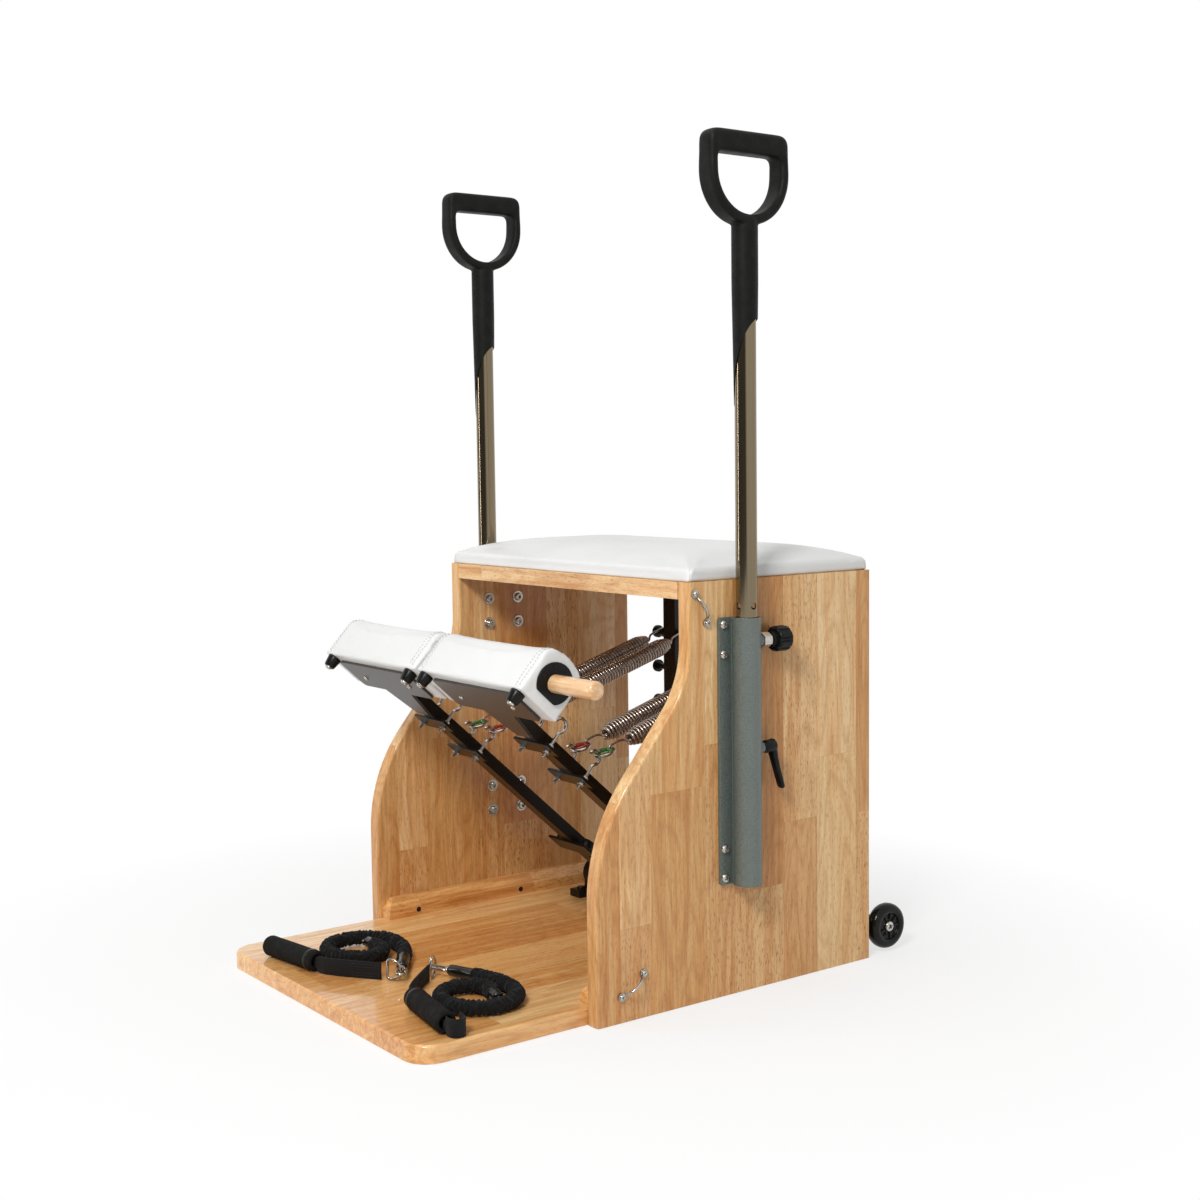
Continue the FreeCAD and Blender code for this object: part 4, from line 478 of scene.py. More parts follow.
@dataclass(frozen=True)
class PlatedMetal:
    """Plated or drawn metal with faint stains and handling marks."""

    name: str
    colour: Colour
    stain: Colour
    roughness: float = 0.22
    cloud: float = 0.02
    scuff: float = 0.0012
    stretch: tuple[float, float, float] = (1.0, 1.0, 1.0)
    depth: float = 0.00002

    def build(self) -> bpy.types.Material:
        """Make the material.

        Returns:
            The finished material.
        """
        art = Surface(self.name)
        place = art.add("ShaderNodeMapping", {"Vector": art.place(), "Scale": self.stretch}).outputs[0]
        stains = art.remap(art.clouds(place, self.cloud, 4.0, 0.6), 0.35, 0.68)
        marks = art.clouds(place, self.scuff, 4.0, 0.65)
        gloss = art.remap(marks, 0.3, 0.75, self.roughness * 0.75, self.roughness * 1.45)
        colour = art.mix(stains, self.colour, self.stain)
        normal = art.relief(marks, self.depth, art.eased(0.0004))
        return art.finish(Base_Color=colour, Metallic=1.0, Roughness=gloss, Normal=normal)


@dataclass(frozen=True)
class BakedPaint:
    """Baked paint: orange peel when fine, a hammered skin when coarse."""

    name: str
    colour: Colour
    fleck: Colour
    cell: float
    depth: float
    roughness: float
    metallic: float = 0.0
    flecks: float = 0.5
    ease: float = 0.0009
    shine: float = 0.3

    def build(self) -> bpy.types.Material:
        """Make the material with its dimples, flecks and eased edges.

        Returns:
            The finished material.
        """
        art = Surface(self.name)
        place = art.place()
        warp = art.clouds(place, self.cell * 2.5, 2.0)
        moved = art.shift(place, art.join(art.math("MULTIPLY", warp, self.cell), 0.0, 0.0))
        dimples = art.remap(art.cells(moved, self.cell, "SMOOTH_F1"), 0.05, 0.65)
        specks = art.remap(art.clouds(place, self.cell * 0.45, 2.0, 0.7), 0.42, 0.72)
        drift = art.remap(art.clouds(place, 0.05, 3.0), 0.3, 0.7)
        colour = art.mix(art.math("MULTIPLY", specks, self.flecks), self.colour, self.fleck)
        colour = art.mix(art.math("MULTIPLY", drift, 0.25), colour, (0.72, 0.72, 0.72), "MULTIPLY")
        gloss = art.remap(specks, 0.0, 1.0, self.roughness * 0.9, self.roughness * 1.2)
        normal = art.relief(dimples, self.depth, art.eased(self.ease))
        return art.finish(Base_Color=colour, Metallic=self.metallic, Roughness=gloss, Normal=normal,
                          Specular_IOR_Level=self.shine)


@dataclass(frozen=True)
class Moulded:
    """Moulded plastic, rubber or foam with a fine skin."""

    name: str
    colour: Colour
    worn: Colour
    grain: float
    depth: float
    roughness: float
    ease: float = 0.0008
    shine: float = 0.22

    def build(self) -> bpy.types.Material:
        """Make the material with its skin, handling marks and eased edges.

        Returns:
            The finished material.
        """
        art = Surface(self.name)
        place = art.place()
        skin = art.clouds(place, self.grain, 3.0, 0.7)
        wear = art.remap(art.clouds(place, 0.018, 5.0, 0.65), 0.42, 0.75)
        colour = art.mix(wear, self.colour, self.worn)
        gloss = art.remap(wear, 0.0, 1.0, self.roughness, self.roughness * 0.8)
        normal = art.relief(skin, self.depth, art.eased(self.ease))
        return art.finish(Base_Color=colour, Roughness=gloss, Normal=normal, Specular_IOR_Level=self.shine)


@dataclass(frozen=True)
class Woven:
    """Woven cloth on the piece's own UV map, in metres along and around."""

    name: str
    colour: Colour
    light: Colour
    along: float
    around: float
    depth: float
    roughness: float = 0.82
    sheen: float = 0.05

    def build(self) -> bpy.types.Material:
        """Make the material with its crossing threads, a painted highlight on their raised crowns and painted shade
        between them.

        Returns:
            The finished material.
        """
        art = Surface(self.name)
        u, v, _ = art.split(art.unwrapped())
        warp = art.math("MULTIPLY", u, math.pi / self.along)
        weft = art.math("MULTIPLY", v, math.pi / self.around)
        over = art.math("MULTIPLY", art.math("SINE", warp), art.math("SINE", weft))
        thread = art.remap(art.math("ABSOLUTE", over), 0.0, 0.9)
        fuzz = art.clouds(art.place(), 0.0009, 3.0, 0.7)
        lint = art.remap(fuzz, 0.45, 0.8)
        # Painted highlight and shade: the raised crowns of the threads are lighter and the gaps between them darker
        # in the colour.
        colour = art.mix(art.math("MULTIPLY", thread, 0.7), self.colour, self.light)
        colour = art.mix(art.math("MULTIPLY", lint, 0.25), colour, self.light)
        normal = art.relief(art.math("MULTIPLY_ADD", fuzz, 0.3, thread), self.depth)
        return art.finish(Base_Color=colour, Roughness=self.roughness, Normal=normal, Specular_IOR_Level=0.12,
                          Sheen_Weight=self.sheen, Sheen_Roughness=0.5)


PANEL_TONES = ((0.70, 0.415, 0.165), (0.86, 0.620, 0.330), (0.77, 0.500, 0.225), (0.90, 0.680, 0.400),
               (0.66, 0.360, 0.130), (0.82, 0.565, 0.285))
BASE_TONES = ((0.76, 0.415, 0.145), (0.88, 0.560, 0.245), (0.82, 0.480, 0.180), (0.92, 0.640, 0.310),
              (0.72, 0.375, 0.125))
TOP_TONES = ((0.82, 0.57, 0.305), (0.88, 0.65, 0.39), (0.78, 0.51, 0.255))
DOWEL_TONES = ((0.84, 0.595, 0.350), (0.87, 0.640, 0.395))


class Finish(Enum):
    """Finishes of the chair."""

    PANEL_WOOD = StaveWood("rubberwood_panel", Axis.Z, Axis.Y, PANEL_TONES, 0.076, 0.62, 2.3)
    BASE_WOOD = StaveWood("rubberwood_base", Axis.Y, Axis.X, BASE_TONES, 0.094, 0.66, 7.1, 0.32, 0.34, 0.7)
    TOP_WOOD = StaveWood("rubberwood_top", Axis.X, Axis.Y, TOP_TONES, 0.058, 0.52, 4.6)
    CLEAT_WOOD = StaveWood("rubberwood_cleat", Axis.Y, Axis.Z, BASE_TONES, 0.110, 0.30, 5.2)
    DOWEL_WOOD = StaveWood("rubberwood_dowel", Axis.X, Axis.Y, DOWEL_TONES, 0.300, 0.90, 1.4, 0.22, 0.10, 1.0, 0.25)
    PLYWOOD = PlyStack("plywood")
    VINYL = SoftVinyl("white_vinyl")
    THREAD = Moulded("white_thread", (0.46, 0.46, 0.45), (0.38, 0.38, 0.37), 0.0008, 0.00012, 0.6, 0.0001)
    BLACK_STEEL = BakedPaint("black_steel", (0.0085, 0.0066, 0.0050), (0.018, 0.014, 0.0105), 0.0016, 0.00005,
                             0.30, 0.0, 0.5, 0.0014, 0.22)
    PLATE_STEEL = BakedPaint("plate_steel", (0.046, 0.036, 0.029), (0.078, 0.063, 0.051), 0.0016, 0.00004,
                             0.34, 0.0, 0.6, 0.0010, 0.25)
    HAMMERED = BakedPaint("hammered_green", (0.080, 0.098, 0.085), (0.250, 0.285, 0.255), 0.0026, 0.00032,
                          0.40, 0.15, 0.55, 0.0012, 0.9)
    CHROME = PlatedMetal("chrome", (0.47, 0.445, 0.41), (0.30, 0.27, 0.24), 0.13)
    # The pole's tan tint, in both its colours, stands in for the wood reflected in it: a painted reflection.
    POLE_CHROME = PlatedMetal("pole_chrome", (0.25, 0.20, 0.130), (0.19, 0.150, 0.096), 0.09, 0.03, 0.0040,
                              (1.0, 1.0, 0.03), 0.0000006)
    NICKEL = PlatedMetal("spring_nickel", (0.42, 0.36, 0.315), (0.27, 0.225, 0.190), 0.24, 0.009)
    ZINC = PlatedMetal("zinc", (0.60, 0.58, 0.535), (0.42, 0.39, 0.335), 0.24, 0.006)
    GRIP_PLASTIC = Moulded("grip_plastic", (0.0060, 0.0060, 0.0053), (0.0115, 0.0115, 0.0105), 0.0011, 0.00016,
                           0.50, 0.0008, 0.11)
    PLASTIC = Moulded("black_plastic", (0.0040, 0.0040, 0.0037), (0.0080, 0.0080, 0.0074), 0.0008, 0.00006, 0.34,
                      0.0008, 0.16)
    RUBBER = Moulded("black_rubber", (0.0045, 0.0042, 0.0039), (0.0085, 0.0080, 0.0074), 0.0010, 0.00008, 0.30,
                     0.0008, 0.18)
    TYRE = Moulded("wheel_black", (0.0040, 0.0040, 0.0035), (0.0080, 0.0076, 0.0066), 0.0014, 0.00006, 0.20,
                   0.0008, 0.20)
    CAP_PLASTIC = Moulded("cap_plastic", (0.0045, 0.0045, 0.0042), (0.0085, 0.0082, 0.0078), 0.0007, 0.00004, 0.20,
                          0.0008, 0.30)
    FOAM = Moulded("foam_grip", (0.0082, 0.0080, 0.0073), (0.0140, 0.0136, 0.0126), 0.0012, 0.00045, 0.80,
                   0.0008, 0.08)
    RED = Moulded("ring_red", (0.40, 0.014, 0.012), (0.30, 0.010, 0.009), 0.0009, 0.00004, 0.24, 0.0004, 0.5)
    GREEN = Moulded("ring_green", (0.020, 0.22, 0.040), (0.014, 0.15, 0.028), 0.0009, 0.00004, 0.24, 0.0004, 0.5)
    BAND_CLOTH = Woven("band_fabric", (0.0042, 0.0042, 0.0042), (0.0125, 0.0125, 0.0128), 0.0011, 0.0014, 0.00025)
    WEBBING = Woven("webbing", (0.0050, 0.0050, 0.0050), (0.0150, 0.0150, 0.0153), 0.0017, 0.0012, 0.00035, 0.70)
    BLACK_THREAD = Moulded("black_thread", (0.016, 0.016, 0.016), (0.030, 0.030, 0.030), 0.0006, 0.0001, 0.6,
                           0.0001)

    def material(self) -> bpy.types.Material:
        """The finish's material, made on its first use.

        Returns:
            The material.
        """
        made = bpy.data.materials.get(self.value.name + "_finish")
        if made is None:
            made = self.value.build()
            made.name = self.value.name + "_finish"
        return made


# Meshes


def aimed(place: Vector, direction: Vector, side: Vector | None = None) -> Matrix:
    """Matrix that puts local +Z on a direction.

    Args:
        place: where the local origin goes.
        direction: where local +Z points.
        side: about where local +X points.

    Returns:
        The placing matrix.
    """
    ahead = Vector(direction).normalized()
    guess = Vector(side) if side is not None else (RIGHT if abs(ahead.x) < 0.9 else REARWARD)
    left = ahead.cross(guess).normalized()
    turned = Matrix((left.cross(ahead), left, ahead)).transposed().to_4x4()
    turned.translation = Vector(place)
    return turned


def angles(count: int) -> list[float]:
    """Even steps round a circle, in radians."""
    return [2 * math.pi * step / count for step in range(count)]


def mm(rows: Iterable[tuple[float, ...]]) -> list[tuple[float, ...]]:
    """Rows of millimetres as metres."""
    return [tuple(value / 1000 for value in row) for row in rows]


def circle(radius: float, height: float, count: int) -> list[Vector]:
    """Points of a level circle."""
    return [Vector((radius * math.cos(turn), radius * math.sin(turn), height)) for turn in angles(count)]


def shaped(outline: Callable[[float], float], height: float, count: int) -> list[Vector]:
    """Points of a level outline given by its radius at each angle."""
    return [Vector((math.cos(turn), math.sin(turn), 0.0)) * outline(turn) + UP * height for turn in angles(count)]


def hexagon(flats: float) -> Callable[[float], float]:
    """Outline of a hexagon by its width over the flats."""
    sector = math.pi / 3
    return lambda turn: flats / 2 / math.cos((turn % sector) - sector / 2)


def cross(reach: float, half_width: float) -> Callable[[float], float]:
    """Outline of a cross recess.

    Args:
        reach: half the length of an arm pair.
        half_width: half the width of an arm.

    Returns:
        The outline's radius by angle.
    """

    def radius(turn: float) -> float:
        """Radius of the outline at an angle."""
        c, s = max(abs(math.cos(turn)), 1e-6), max(abs(math.sin(turn)), 1e-6)
        return max(min(reach / c, half_width / s), min(half_width / c, reach / s))

    return radius


@contextmanager
def edited(mesh: bpy.types.Mesh) -> Iterator[bmesh.types.BMesh]:
    """Editable form of a mesh, written back when the work on it is done.

    Args:
        mesh: the mesh to edit.

    Yields:
        Its editable form.
    """
    work = bmesh.new()
    work.from_mesh(mesh)
    yield work
    work.to_mesh(mesh)
    work.free()


class Shell:
    """Points and faces of a piece under construction."""

    def __init__(self) -> None:
        """Start empty."""
        self.points: list[Vector] = []
        self.faces: list[tuple[int, ...]] = []
        self.unwrap: list[tuple[float, float]] = []

    def loft(self, rings: Sequence[Sequence[Vector]], closed: bool = False,
             lengths: Sequence[float] | None = None, girth: float = 1.0) -> "Shell":
        """Skin over rings of equal count, with open ends filled.

        Args:
            rings: the rings in order.
            closed: whether the last ring joins the first.
            lengths: distance of each ring along the piece, for the UV map.
            girth: length round a ring, for the UV map.

        Returns:
            This shell.
        """
        base, count = len(self.points), len(rings[0])
        for ring in rings:
            self.points.extend(Vector(point) for point in ring)
        lengths = lengths or [float(number) for number in range(len(rings) + 1)]
        spans = len(rings) if closed else len(rings) - 1
        for row in range(spans):
            after = (row + 1) % len(rings)
            for step in range(count):
                turn = (step + 1) % count
                self.faces.append((base + row * count + step, base + row * count + turn,
                                   base + after * count + turn, base + after * count + step))
                low, high = lengths[row], lengths[min(row + 1, len(lengths) - 1)]
                a, b = girth * step / count, girth * (step + 1) / count
                self.unwrap += [(low, a), (low, b), (high, b), (high, a)]
        if not closed:
            for row, order in ((0, -1), (len(rings) - 1, 1)):
                start = base + row * count
                self.faces.append(tuple(range(start, start + count))[::order])
                self.unwrap += [(point.x, point.y) for point in rings[row]][::order]
        return self

    def lathe(self, profile: Sequence[tuple[float, float]], matrix: Matrix, count: int = 32,
              closed: bool = False) -> "Shell":
        """Turned body from (radius, height) pairs.

        Args:
            profile: its outline along local +Z.
            matrix: where it goes.
            count: points to a circle.
            closed: whether the outline closes on itself, as a ring's does.

        Returns:
            This shell.
        """
        rings = [[matrix @ point for point in circle(radius, height, count)] for radius, height in profile]
        return self.loft(rings, closed)

    def tube(self, path: Sequence[Vector], radius: float | Sequence[float], count: int = 12,
             closed: bool = False) -> "Shell":
        """Round tube along a path.

        Args:
            path: points of its axis.
            radius: one radius, or one for each point.
            count: points to a circle.
            closed: whether the path closes.

        Returns:
            This shell.
        """
        radii = list(radius) if isinstance(radius, Sequence) else [radius] * len(path)
        rings, lengths = [], [0.0]
        for frame, size in zip(frames(path, closed), radii):
            rings.append([frame @ point for point in circle(size, 0.0, count)])
        for near, far in zip(path, path[1:]):
            lengths.append(lengths[-1] + (far - near).length)
        lengths.append(lengths[-1] + (path[0] - path[-1]).length)
        return self.loft(rings, closed, lengths, 2 * math.pi * max(radii))

    def mesh(self, name: str, crease: float = 35.0) -> bpy.types.Mesh:
        """Mesh with merged poles, outward normals and smooth shading.

        Args:
            name: the mesh's name.
            crease: edges sharper than this angle in degrees stay sharp.

        Returns:
            The new mesh.
        """
        mesh = bpy.data.meshes.new(name)
        mesh.from_pydata(self.points, [], self.faces)
        layer = mesh.uv_layers.new(name="UVMap")
        for corner, place in enumerate(self.unwrap):
            layer.data[corner].uv = place
        with edited(mesh) as work:
            bmesh.ops.remove_doubles(work, verts=work.verts, dist=WELD)
            bmesh.ops.dissolve_degenerate(work, edges=work.edges, dist=WELD / 10)
            bmesh.ops.recalc_face_normals(work, faces=work.faces)
        return smooth(mesh, crease)


def frames(path: Sequence[Vector], closed: bool = False) -> list[Matrix]:
    """Placing matrices along a path, carried over without twist.

    Args:
        path: its points.
        closed: whether it closes.

    Returns:
        One matrix for each point, with local +Z ahead.
    """
    count = len(path)
    made: list[Matrix] = []
    side = None
    for number, point in enumerate(path):
        before = path[number - 1] if number or closed else point
        after = path[(number + 1) % count] if number + 1 < count or closed else point
        ahead = (after - before).normalized()
        matrix = aimed(point, ahead, side)
        side = matrix.col[0].to_3d()
        made.append(matrix)
    return made


def smooth(mesh: bpy.types.Mesh, crease: float = 35.0) -> bpy.types.Mesh:
    """Smooth shading with sharp edges above an angle in degrees.

    Args:
        mesh: the mesh, changed in place.
        crease: edges sharper than this angle in degrees stay sharp.

    Returns:
        The same mesh.
    """
    mesh.polygons.foreach_set("use_smooth", [True] * len(mesh.polygons))
    mesh.set_sharp_from_angle(angle=math.radians(crease))
    mesh.update()
    return mesh


def shown(name: str, mesh: bpy.types.Mesh, finish: Finish | None = None) -> bpy.types.Object:
    """Object of a mesh, at the origin.

    Args:
        name: the piece's name.
        mesh: its mesh.
        finish: its finish, where the mesh has none yet.

    Returns:
        The object, in the scene.
    """
    piece = bpy.data.objects.new(name, mesh)
    bpy.context.scene.collection.objects.link(piece)
    if finish is not None:
        mesh.materials.clear()
        mesh.materials.append(finish.material())
    return piece


def node_copy(node: bpy.types.Object) -> bpy.types.Mesh:
    """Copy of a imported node's mesh with its loose triangles merged.

    Args:
        node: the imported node.

    Returns:
        The copy.
    """
    mesh = node.data.copy()
    mesh.materials.clear()
    with edited(mesh) as work:
        bmesh.ops.remove_doubles(work, verts=work.verts, dist=PACKED_WELD)
    return mesh


def evaluated(piece: bpy.types.Object) -> bpy.types.Mesh:
    """Plain mesh of an object with its modifiers applied."""
    graph = bpy.context.evaluated_depsgraph_get()
    return bpy.data.meshes.new_from_object(piece.evaluated_get(graph), preserve_all_data_layers=True,
                                           depsgraph=graph)


def dropped(piece: bpy.types.Object) -> None:
    """Take a helper object and its data out of the file.

    Args:
        piece: the helper object.
    """
    data = piece.data
    bpy.data.objects.remove(piece)
    if isinstance(data, bpy.types.Mesh):
        bpy.data.meshes.remove(data)
    elif isinstance(data, bpy.types.Curve):
        bpy.data.curves.remove(data)


def voxelled(name: str, mesh: bpy.types.Mesh, size: float) -> bpy.types.Mesh:
    """Mesh laid anew in even voxels.

    Args:
        name: name of the helper object.
        mesh: the mesh to start from.
        size: size of a voxel.

    Returns:
        The new mesh.
    """
    piece = shown(name, mesh)
    remesh = piece.modifiers.new("remesh", "REMESH")
    remesh.mode = "VOXEL"
    remesh.voxel_size = size
    even = evaluated(piece)
    dropped(piece)
    return even


def welded(name: str, *meshes: bpy.types.Mesh, crease: float = 35.0) -> bpy.types.Mesh:
    """One mesh out of several.

    Args:
        name: name of the whole.
        meshes: its parts.
        crease: edges sharper than this angle in degrees stay sharp.

    Returns:
        The whole mesh.
    """
    work = bmesh.new()
    for mesh in meshes:
        work.from_mesh(mesh)
    whole = bpy.data.meshes.new(name)
    work.to_mesh(whole)
    work.free()
    return smooth(whole, crease)


def settle(name: str, mesh: bpy.types.Mesh, finish: Finish | None, body: str, slot: str,
           *nodes: str) -> bpy.types.Object:
    """Show a finished piece and ride it on its body.

    Args:
        name: the piece's name.
        mesh: its mesh.
        finish: its finish, where the mesh has none yet.
        body: the body that carries it.
        slot: not used.
        nodes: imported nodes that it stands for.

    Returns:
        The piece.
    """
    piece = shown(name, mesh, finish)
    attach(piece, body)
    if nodes:
        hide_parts(*nodes)
    LOG.info("%s rides on %s, %d faces", piece.name, body, len(piece.data.polygons))
    return piece


class Route:
    """Smooth line of a cord or wire: one NURBS spline on its route points."""

    def __init__(self, name: str, points: Iterable[Vector]) -> None:
        """Lay the spline.

        Args:
            name: name of the curve.
            points: the route's control points.
        """
        spots = [Vector(point) for point in points]
        curve = bpy.data.curves.new(name, "CURVE")
        curve.dimensions = "3D"
        curve.resolution_u = 10
        spline = curve.splines.new("NURBS")
        spline.points.add(len(spots) - 1)
        for control, spot in zip(spline.points, spots):
            control.co = (*spot, 1.0)
        spline.order_u = 3
        spline.use_endpoint_u = True
        holder = bpy.data.objects.new(name, curve)
        bpy.context.scene.collection.objects.link(holder)
        traced = evaluated(holder)
        self.points = [vertex.co.copy() for vertex in traced.vertices]
        bpy.data.meshes.remove(traced)
        dropped(holder)

    def length(self) -> float:
        """Length of the line."""
        return sum((far - near).length for near, far in zip(self.points, self.points[1:]))

    def paced(self, pace: float) -> list[Vector]:
        """Points at an even pace along the line.

        Args:
            pace: about how far apart the points are.

        Returns:
            The points, with both ends.
        """
        steps = max(2, round(self.length() / pace))
        wanted = self.length() / steps
        made, gone, goal = [self.points[0]], 0.0, wanted
        for near, far in zip(self.points, self.points[1:]):
            span = (far - near).length
            while span > 0 and gone + span >= goal - 1e-9 and len(made) < steps:
                made.append(near.lerp(far, (goal - gone) / span))
                goal += wanted
            gone += span
        return made + [self.points[-1]]


# Repeats in Geometry Nodes


class Repeats:
    """Geometry Nodes tree that sets one small part on many places."""

    def __init__(self) -> None:
        """Build the tree once, with its part and finish as inputs."""
        tree = bpy.data.node_groups.new("repeat_on_places", "GeometryNodeTree")
        face = tree.interface
        face.new_socket("Places", in_out="INPUT", socket_type="NodeSocketGeometry")
        self.part = face.new_socket("Part", in_out="INPUT", socket_type="NodeSocketObject").identifier
        self.finish = face.new_socket("Finish", in_out="INPUT", socket_type="NodeSocketMaterial").identifier
        face.new_socket("Pieces", in_out="OUTPUT", socket_type="NodeSocketGeometry")
        work = NodeTree(tree)
        given = work.add("NodeGroupInput").outputs
        part = work.add("GeometryNodeObjectInfo", {"Object": given["Part"]}).outputs["Geometry"]
        turn = work.add("GeometryNodeInputNamedAttribute", {"Name": "turn"}, data_type="FLOAT_VECTOR")
        facing = work.add("FunctionNodeEulerToRotation", {0: turn.outputs["Attribute"]}).outputs[0]
        copies = work.add("GeometryNodeInstanceOnPoints", {"Points": given["Places"], "Instance": part,
                                                           "Rotation": facing})
        real = work.add("GeometryNodeRealizeInstances", {"Geometry": copies.outputs[0]})
        dressed = work.add("GeometryNodeSetMaterial", {"Geometry": real.outputs[0], "Material": given["Finish"]})
        work.add("NodeGroupOutput", {0: dressed.outputs[0]})
        self.tree = tree

    def scatter(self, name: str, part: bpy.types.Mesh, places: Sequence[Matrix],
                finish: Finish) -> bpy.types.Mesh:
        """Copies of a part as one plain mesh.

        Args:
            name: name of the mesh.
            part: the part, drawn along +Z at the origin.
            places: placing matrix of each copy.
            finish: finish of all copies.

        Returns:
            The mesh of all copies.
        """
        dots = bpy.data.meshes.new(name + "_places")
        dots.from_pydata([place.translation for place in places], [], [])
        turns = dots.attributes.new("turn", "FLOAT_VECTOR", "POINT")
        for number, place in enumerate(places):
            turns.data[number].vector = place.to_euler()
        holder = shown(name + "_places", dots)
        sample = shown(name + "_part", part)
        modifier = holder.modifiers.new("repeat", "NODES")
        modifier.node_group = self.tree
        modifier[self.part] = sample
        modifier[self.finish] = finish.material()
        mesh = evaluated(holder)
        mesh.name = name
        holder.modifiers.remove(modifier)
        dropped(holder)
        dropped(sample)
        return mesh

    def settle(self, name: str, part: bpy.types.Mesh, places: Sequence[Matrix], finish: Finish, body: str,
               slot: str, *nodes: str, crease: float = 40.0) -> bpy.types.Object:
        """Copies of a part as one piece on a body: as scatter and settle, with sharp edges above an angle."""
        mesh = smooth(self.scatter(name, part, places, finish), crease)
        return settle(name, mesh, None, body, slot, *nodes)


class Coil:
    """Geometry Nodes tree of a close-wound spring with tapered ends, along +Z."""

    SIZES = ("Turns", "Radius", "End Radius", "Taper Turns", "Wire Radius", "Length")
    STEPS_A_TURN = 22.0
    TAPER_POWER = 0.7
    WIRE_SIDES = 12

    def __init__(self) -> None:
        """Build the tree with the spring's sizes and finish as inputs."""
        tree = bpy.data.node_groups.new("wound_spring", "GeometryNodeTree")
        face = tree.interface
        self.keys = {name: face.new_socket(name, in_out="INPUT", socket_type="NodeSocketFloat").identifier
                     for name in self.SIZES}
        self.finish = face.new_socket("Finish", in_out="INPUT", socket_type="NodeSocketMaterial").identifier
        face.new_socket("Spring", in_out="OUTPUT", socket_type="NodeSocketGeometry")
        work = NodeTree(tree)
        given = work.add("NodeGroupInput").outputs
        share = work.add("GeometryNodeSplineParameter").outputs["Factor"]
        count = work.math("MULTIPLY", given["Turns"], self.STEPS_A_TURN)
        line = work.add("GeometryNodeCurvePrimitiveLine").outputs[0]
        line = work.add("GeometryNodeResampleCurve", {"Curve": line, "Count": count}).outputs[0]
        turned = work.math("MULTIPLY", share, given["Turns"])
        left = work.math("SUBTRACT", given["Turns"], turned)
        rim = work.math("MINIMUM", work.math("DIVIDE", work.math("MINIMUM", turned, left),
                                             given["Taper Turns"]), 1.0)
        swell = work.math("SUBTRACT", given["Radius"], given["End Radius"])
        radius = work.math("MULTIPLY_ADD", swell, work.math("POWER", rim, self.TAPER_POWER), given["End Radius"])
        angle = work.math("MULTIPLY", turned, 2 * math.pi)
        x = work.math("MULTIPLY", radius, work.math("COSINE", angle))
        y = work.math("MULTIPLY", radius, work.math("SINE", angle))
        spot = work.join(x, y, work.math("MULTIPLY", share, given["Length"]))
        wire = work.add("GeometryNodeSetPosition", {"Geometry": line, "Position": spot}).outputs[0]
        section = work.add("GeometryNodeCurvePrimitiveCircle", {"Resolution": self.WIRE_SIDES,
                                                                "Radius": given["Wire Radius"]})
        skin = work.add("GeometryNodeCurveToMesh", {"Curve": wire, "Profile Curve": section.outputs[0],
                                                    "Fill Caps": True}).outputs[0]
        real = work.add("GeometryNodeRealizeInstances", {"Geometry": skin}).outputs[0]
        dressed = work.add("GeometryNodeSetMaterial", {"Geometry": real, "Material": given["Finish"]})
        work.add("NodeGroupOutput", {0: dressed.outputs[0]})
        self.tree = tree

    def wind(self, name: str, sizes: dict[str, float], finish: Finish) -> bpy.types.Mesh:
        """Plain mesh of one spring.

        Args:
            name: name of the mesh.
            sizes: the spring's sizes by input name.
            finish: its finish.

        Returns:
            The mesh, along +Z from the origin.
        """
        holder = shown(name + "_coil", bpy.data.meshes.new(name + "_coil"))
        modifier = holder.modifiers.new("coil", "NODES")
        modifier.node_group = self.tree
        for key, value in sizes.items():
            modifier[self.keys[key]] = value
        modifier[self.finish] = finish.material()
        mesh = evaluated(holder)
        holder.modifiers.remove(modifier)
        dropped(holder)
        return mesh


# Small parts


@dataclass(frozen=True)
class ScrewHead:
    """Domed screw head with a recess."""

    radius: float
    height: float
    drive: Drive = Drive.CROSS

    def mesh(self) -> bpy.types.Mesh:
        """Head standing on the origin along +Z.

        Returns:
            Its mesh.
        """
        count = 24
        recess = cross(self.radius * 0.52, self.radius * 0.15)
        if self.drive is Drive.HEX:
            recess = hexagon(self.radius * 0.85)
        rings = [circle(self.radius * wide, self.height * high, count)
                 for wide, high in ((0.97, 0.0), (1.0, 0.12), (0.97, 0.42), (0.86, 0.74), (0.70, 0.95))]
        rings.append(shaped(lambda turn: max(recess(turn), 0.0) * 1.06, self.height, count))
        rings.append(shaped(recess, self.height * 0.93, count))
        rings.append(shaped(lambda turn: recess(turn) * 0.86, self.height * 0.30, count))
        return Shell().loft(rings).mesh("screw_head", 40.0)


@dataclass(frozen=True)
class PanelNut:
    """Washer with the round cap of a connector bolt."""

    washer: float = 0.010
    thickness: float = 0.0016
    cap: float = 0.0066
    height: float = 0.0050

    def mesh(self) -> bpy.types.Mesh:
        """Washer and cap standing on the origin along +Z.

        Returns:
            Its mesh.
        """
        count, top = 24, self.thickness + self.height
        rings = [circle(radius, height, count) for radius, height in (
            (self.washer, 0.0), (self.washer, self.thickness * 0.75), (self.washer * 0.96, self.thickness),
            (self.cap * 1.02, self.thickness), (self.cap, self.thickness + self.height * 0.45),
            (self.cap * 0.90, self.thickness + self.height * 0.80), (self.cap * 0.74, top))]
        recess = hexagon(self.cap * 0.95)
        rings.append(shaped(recess, top, count))
        rings.append(shaped(recess, self.thickness + self.height * 0.15, count))
        return Shell().loft(rings).mesh("panel_nut", 30.0)


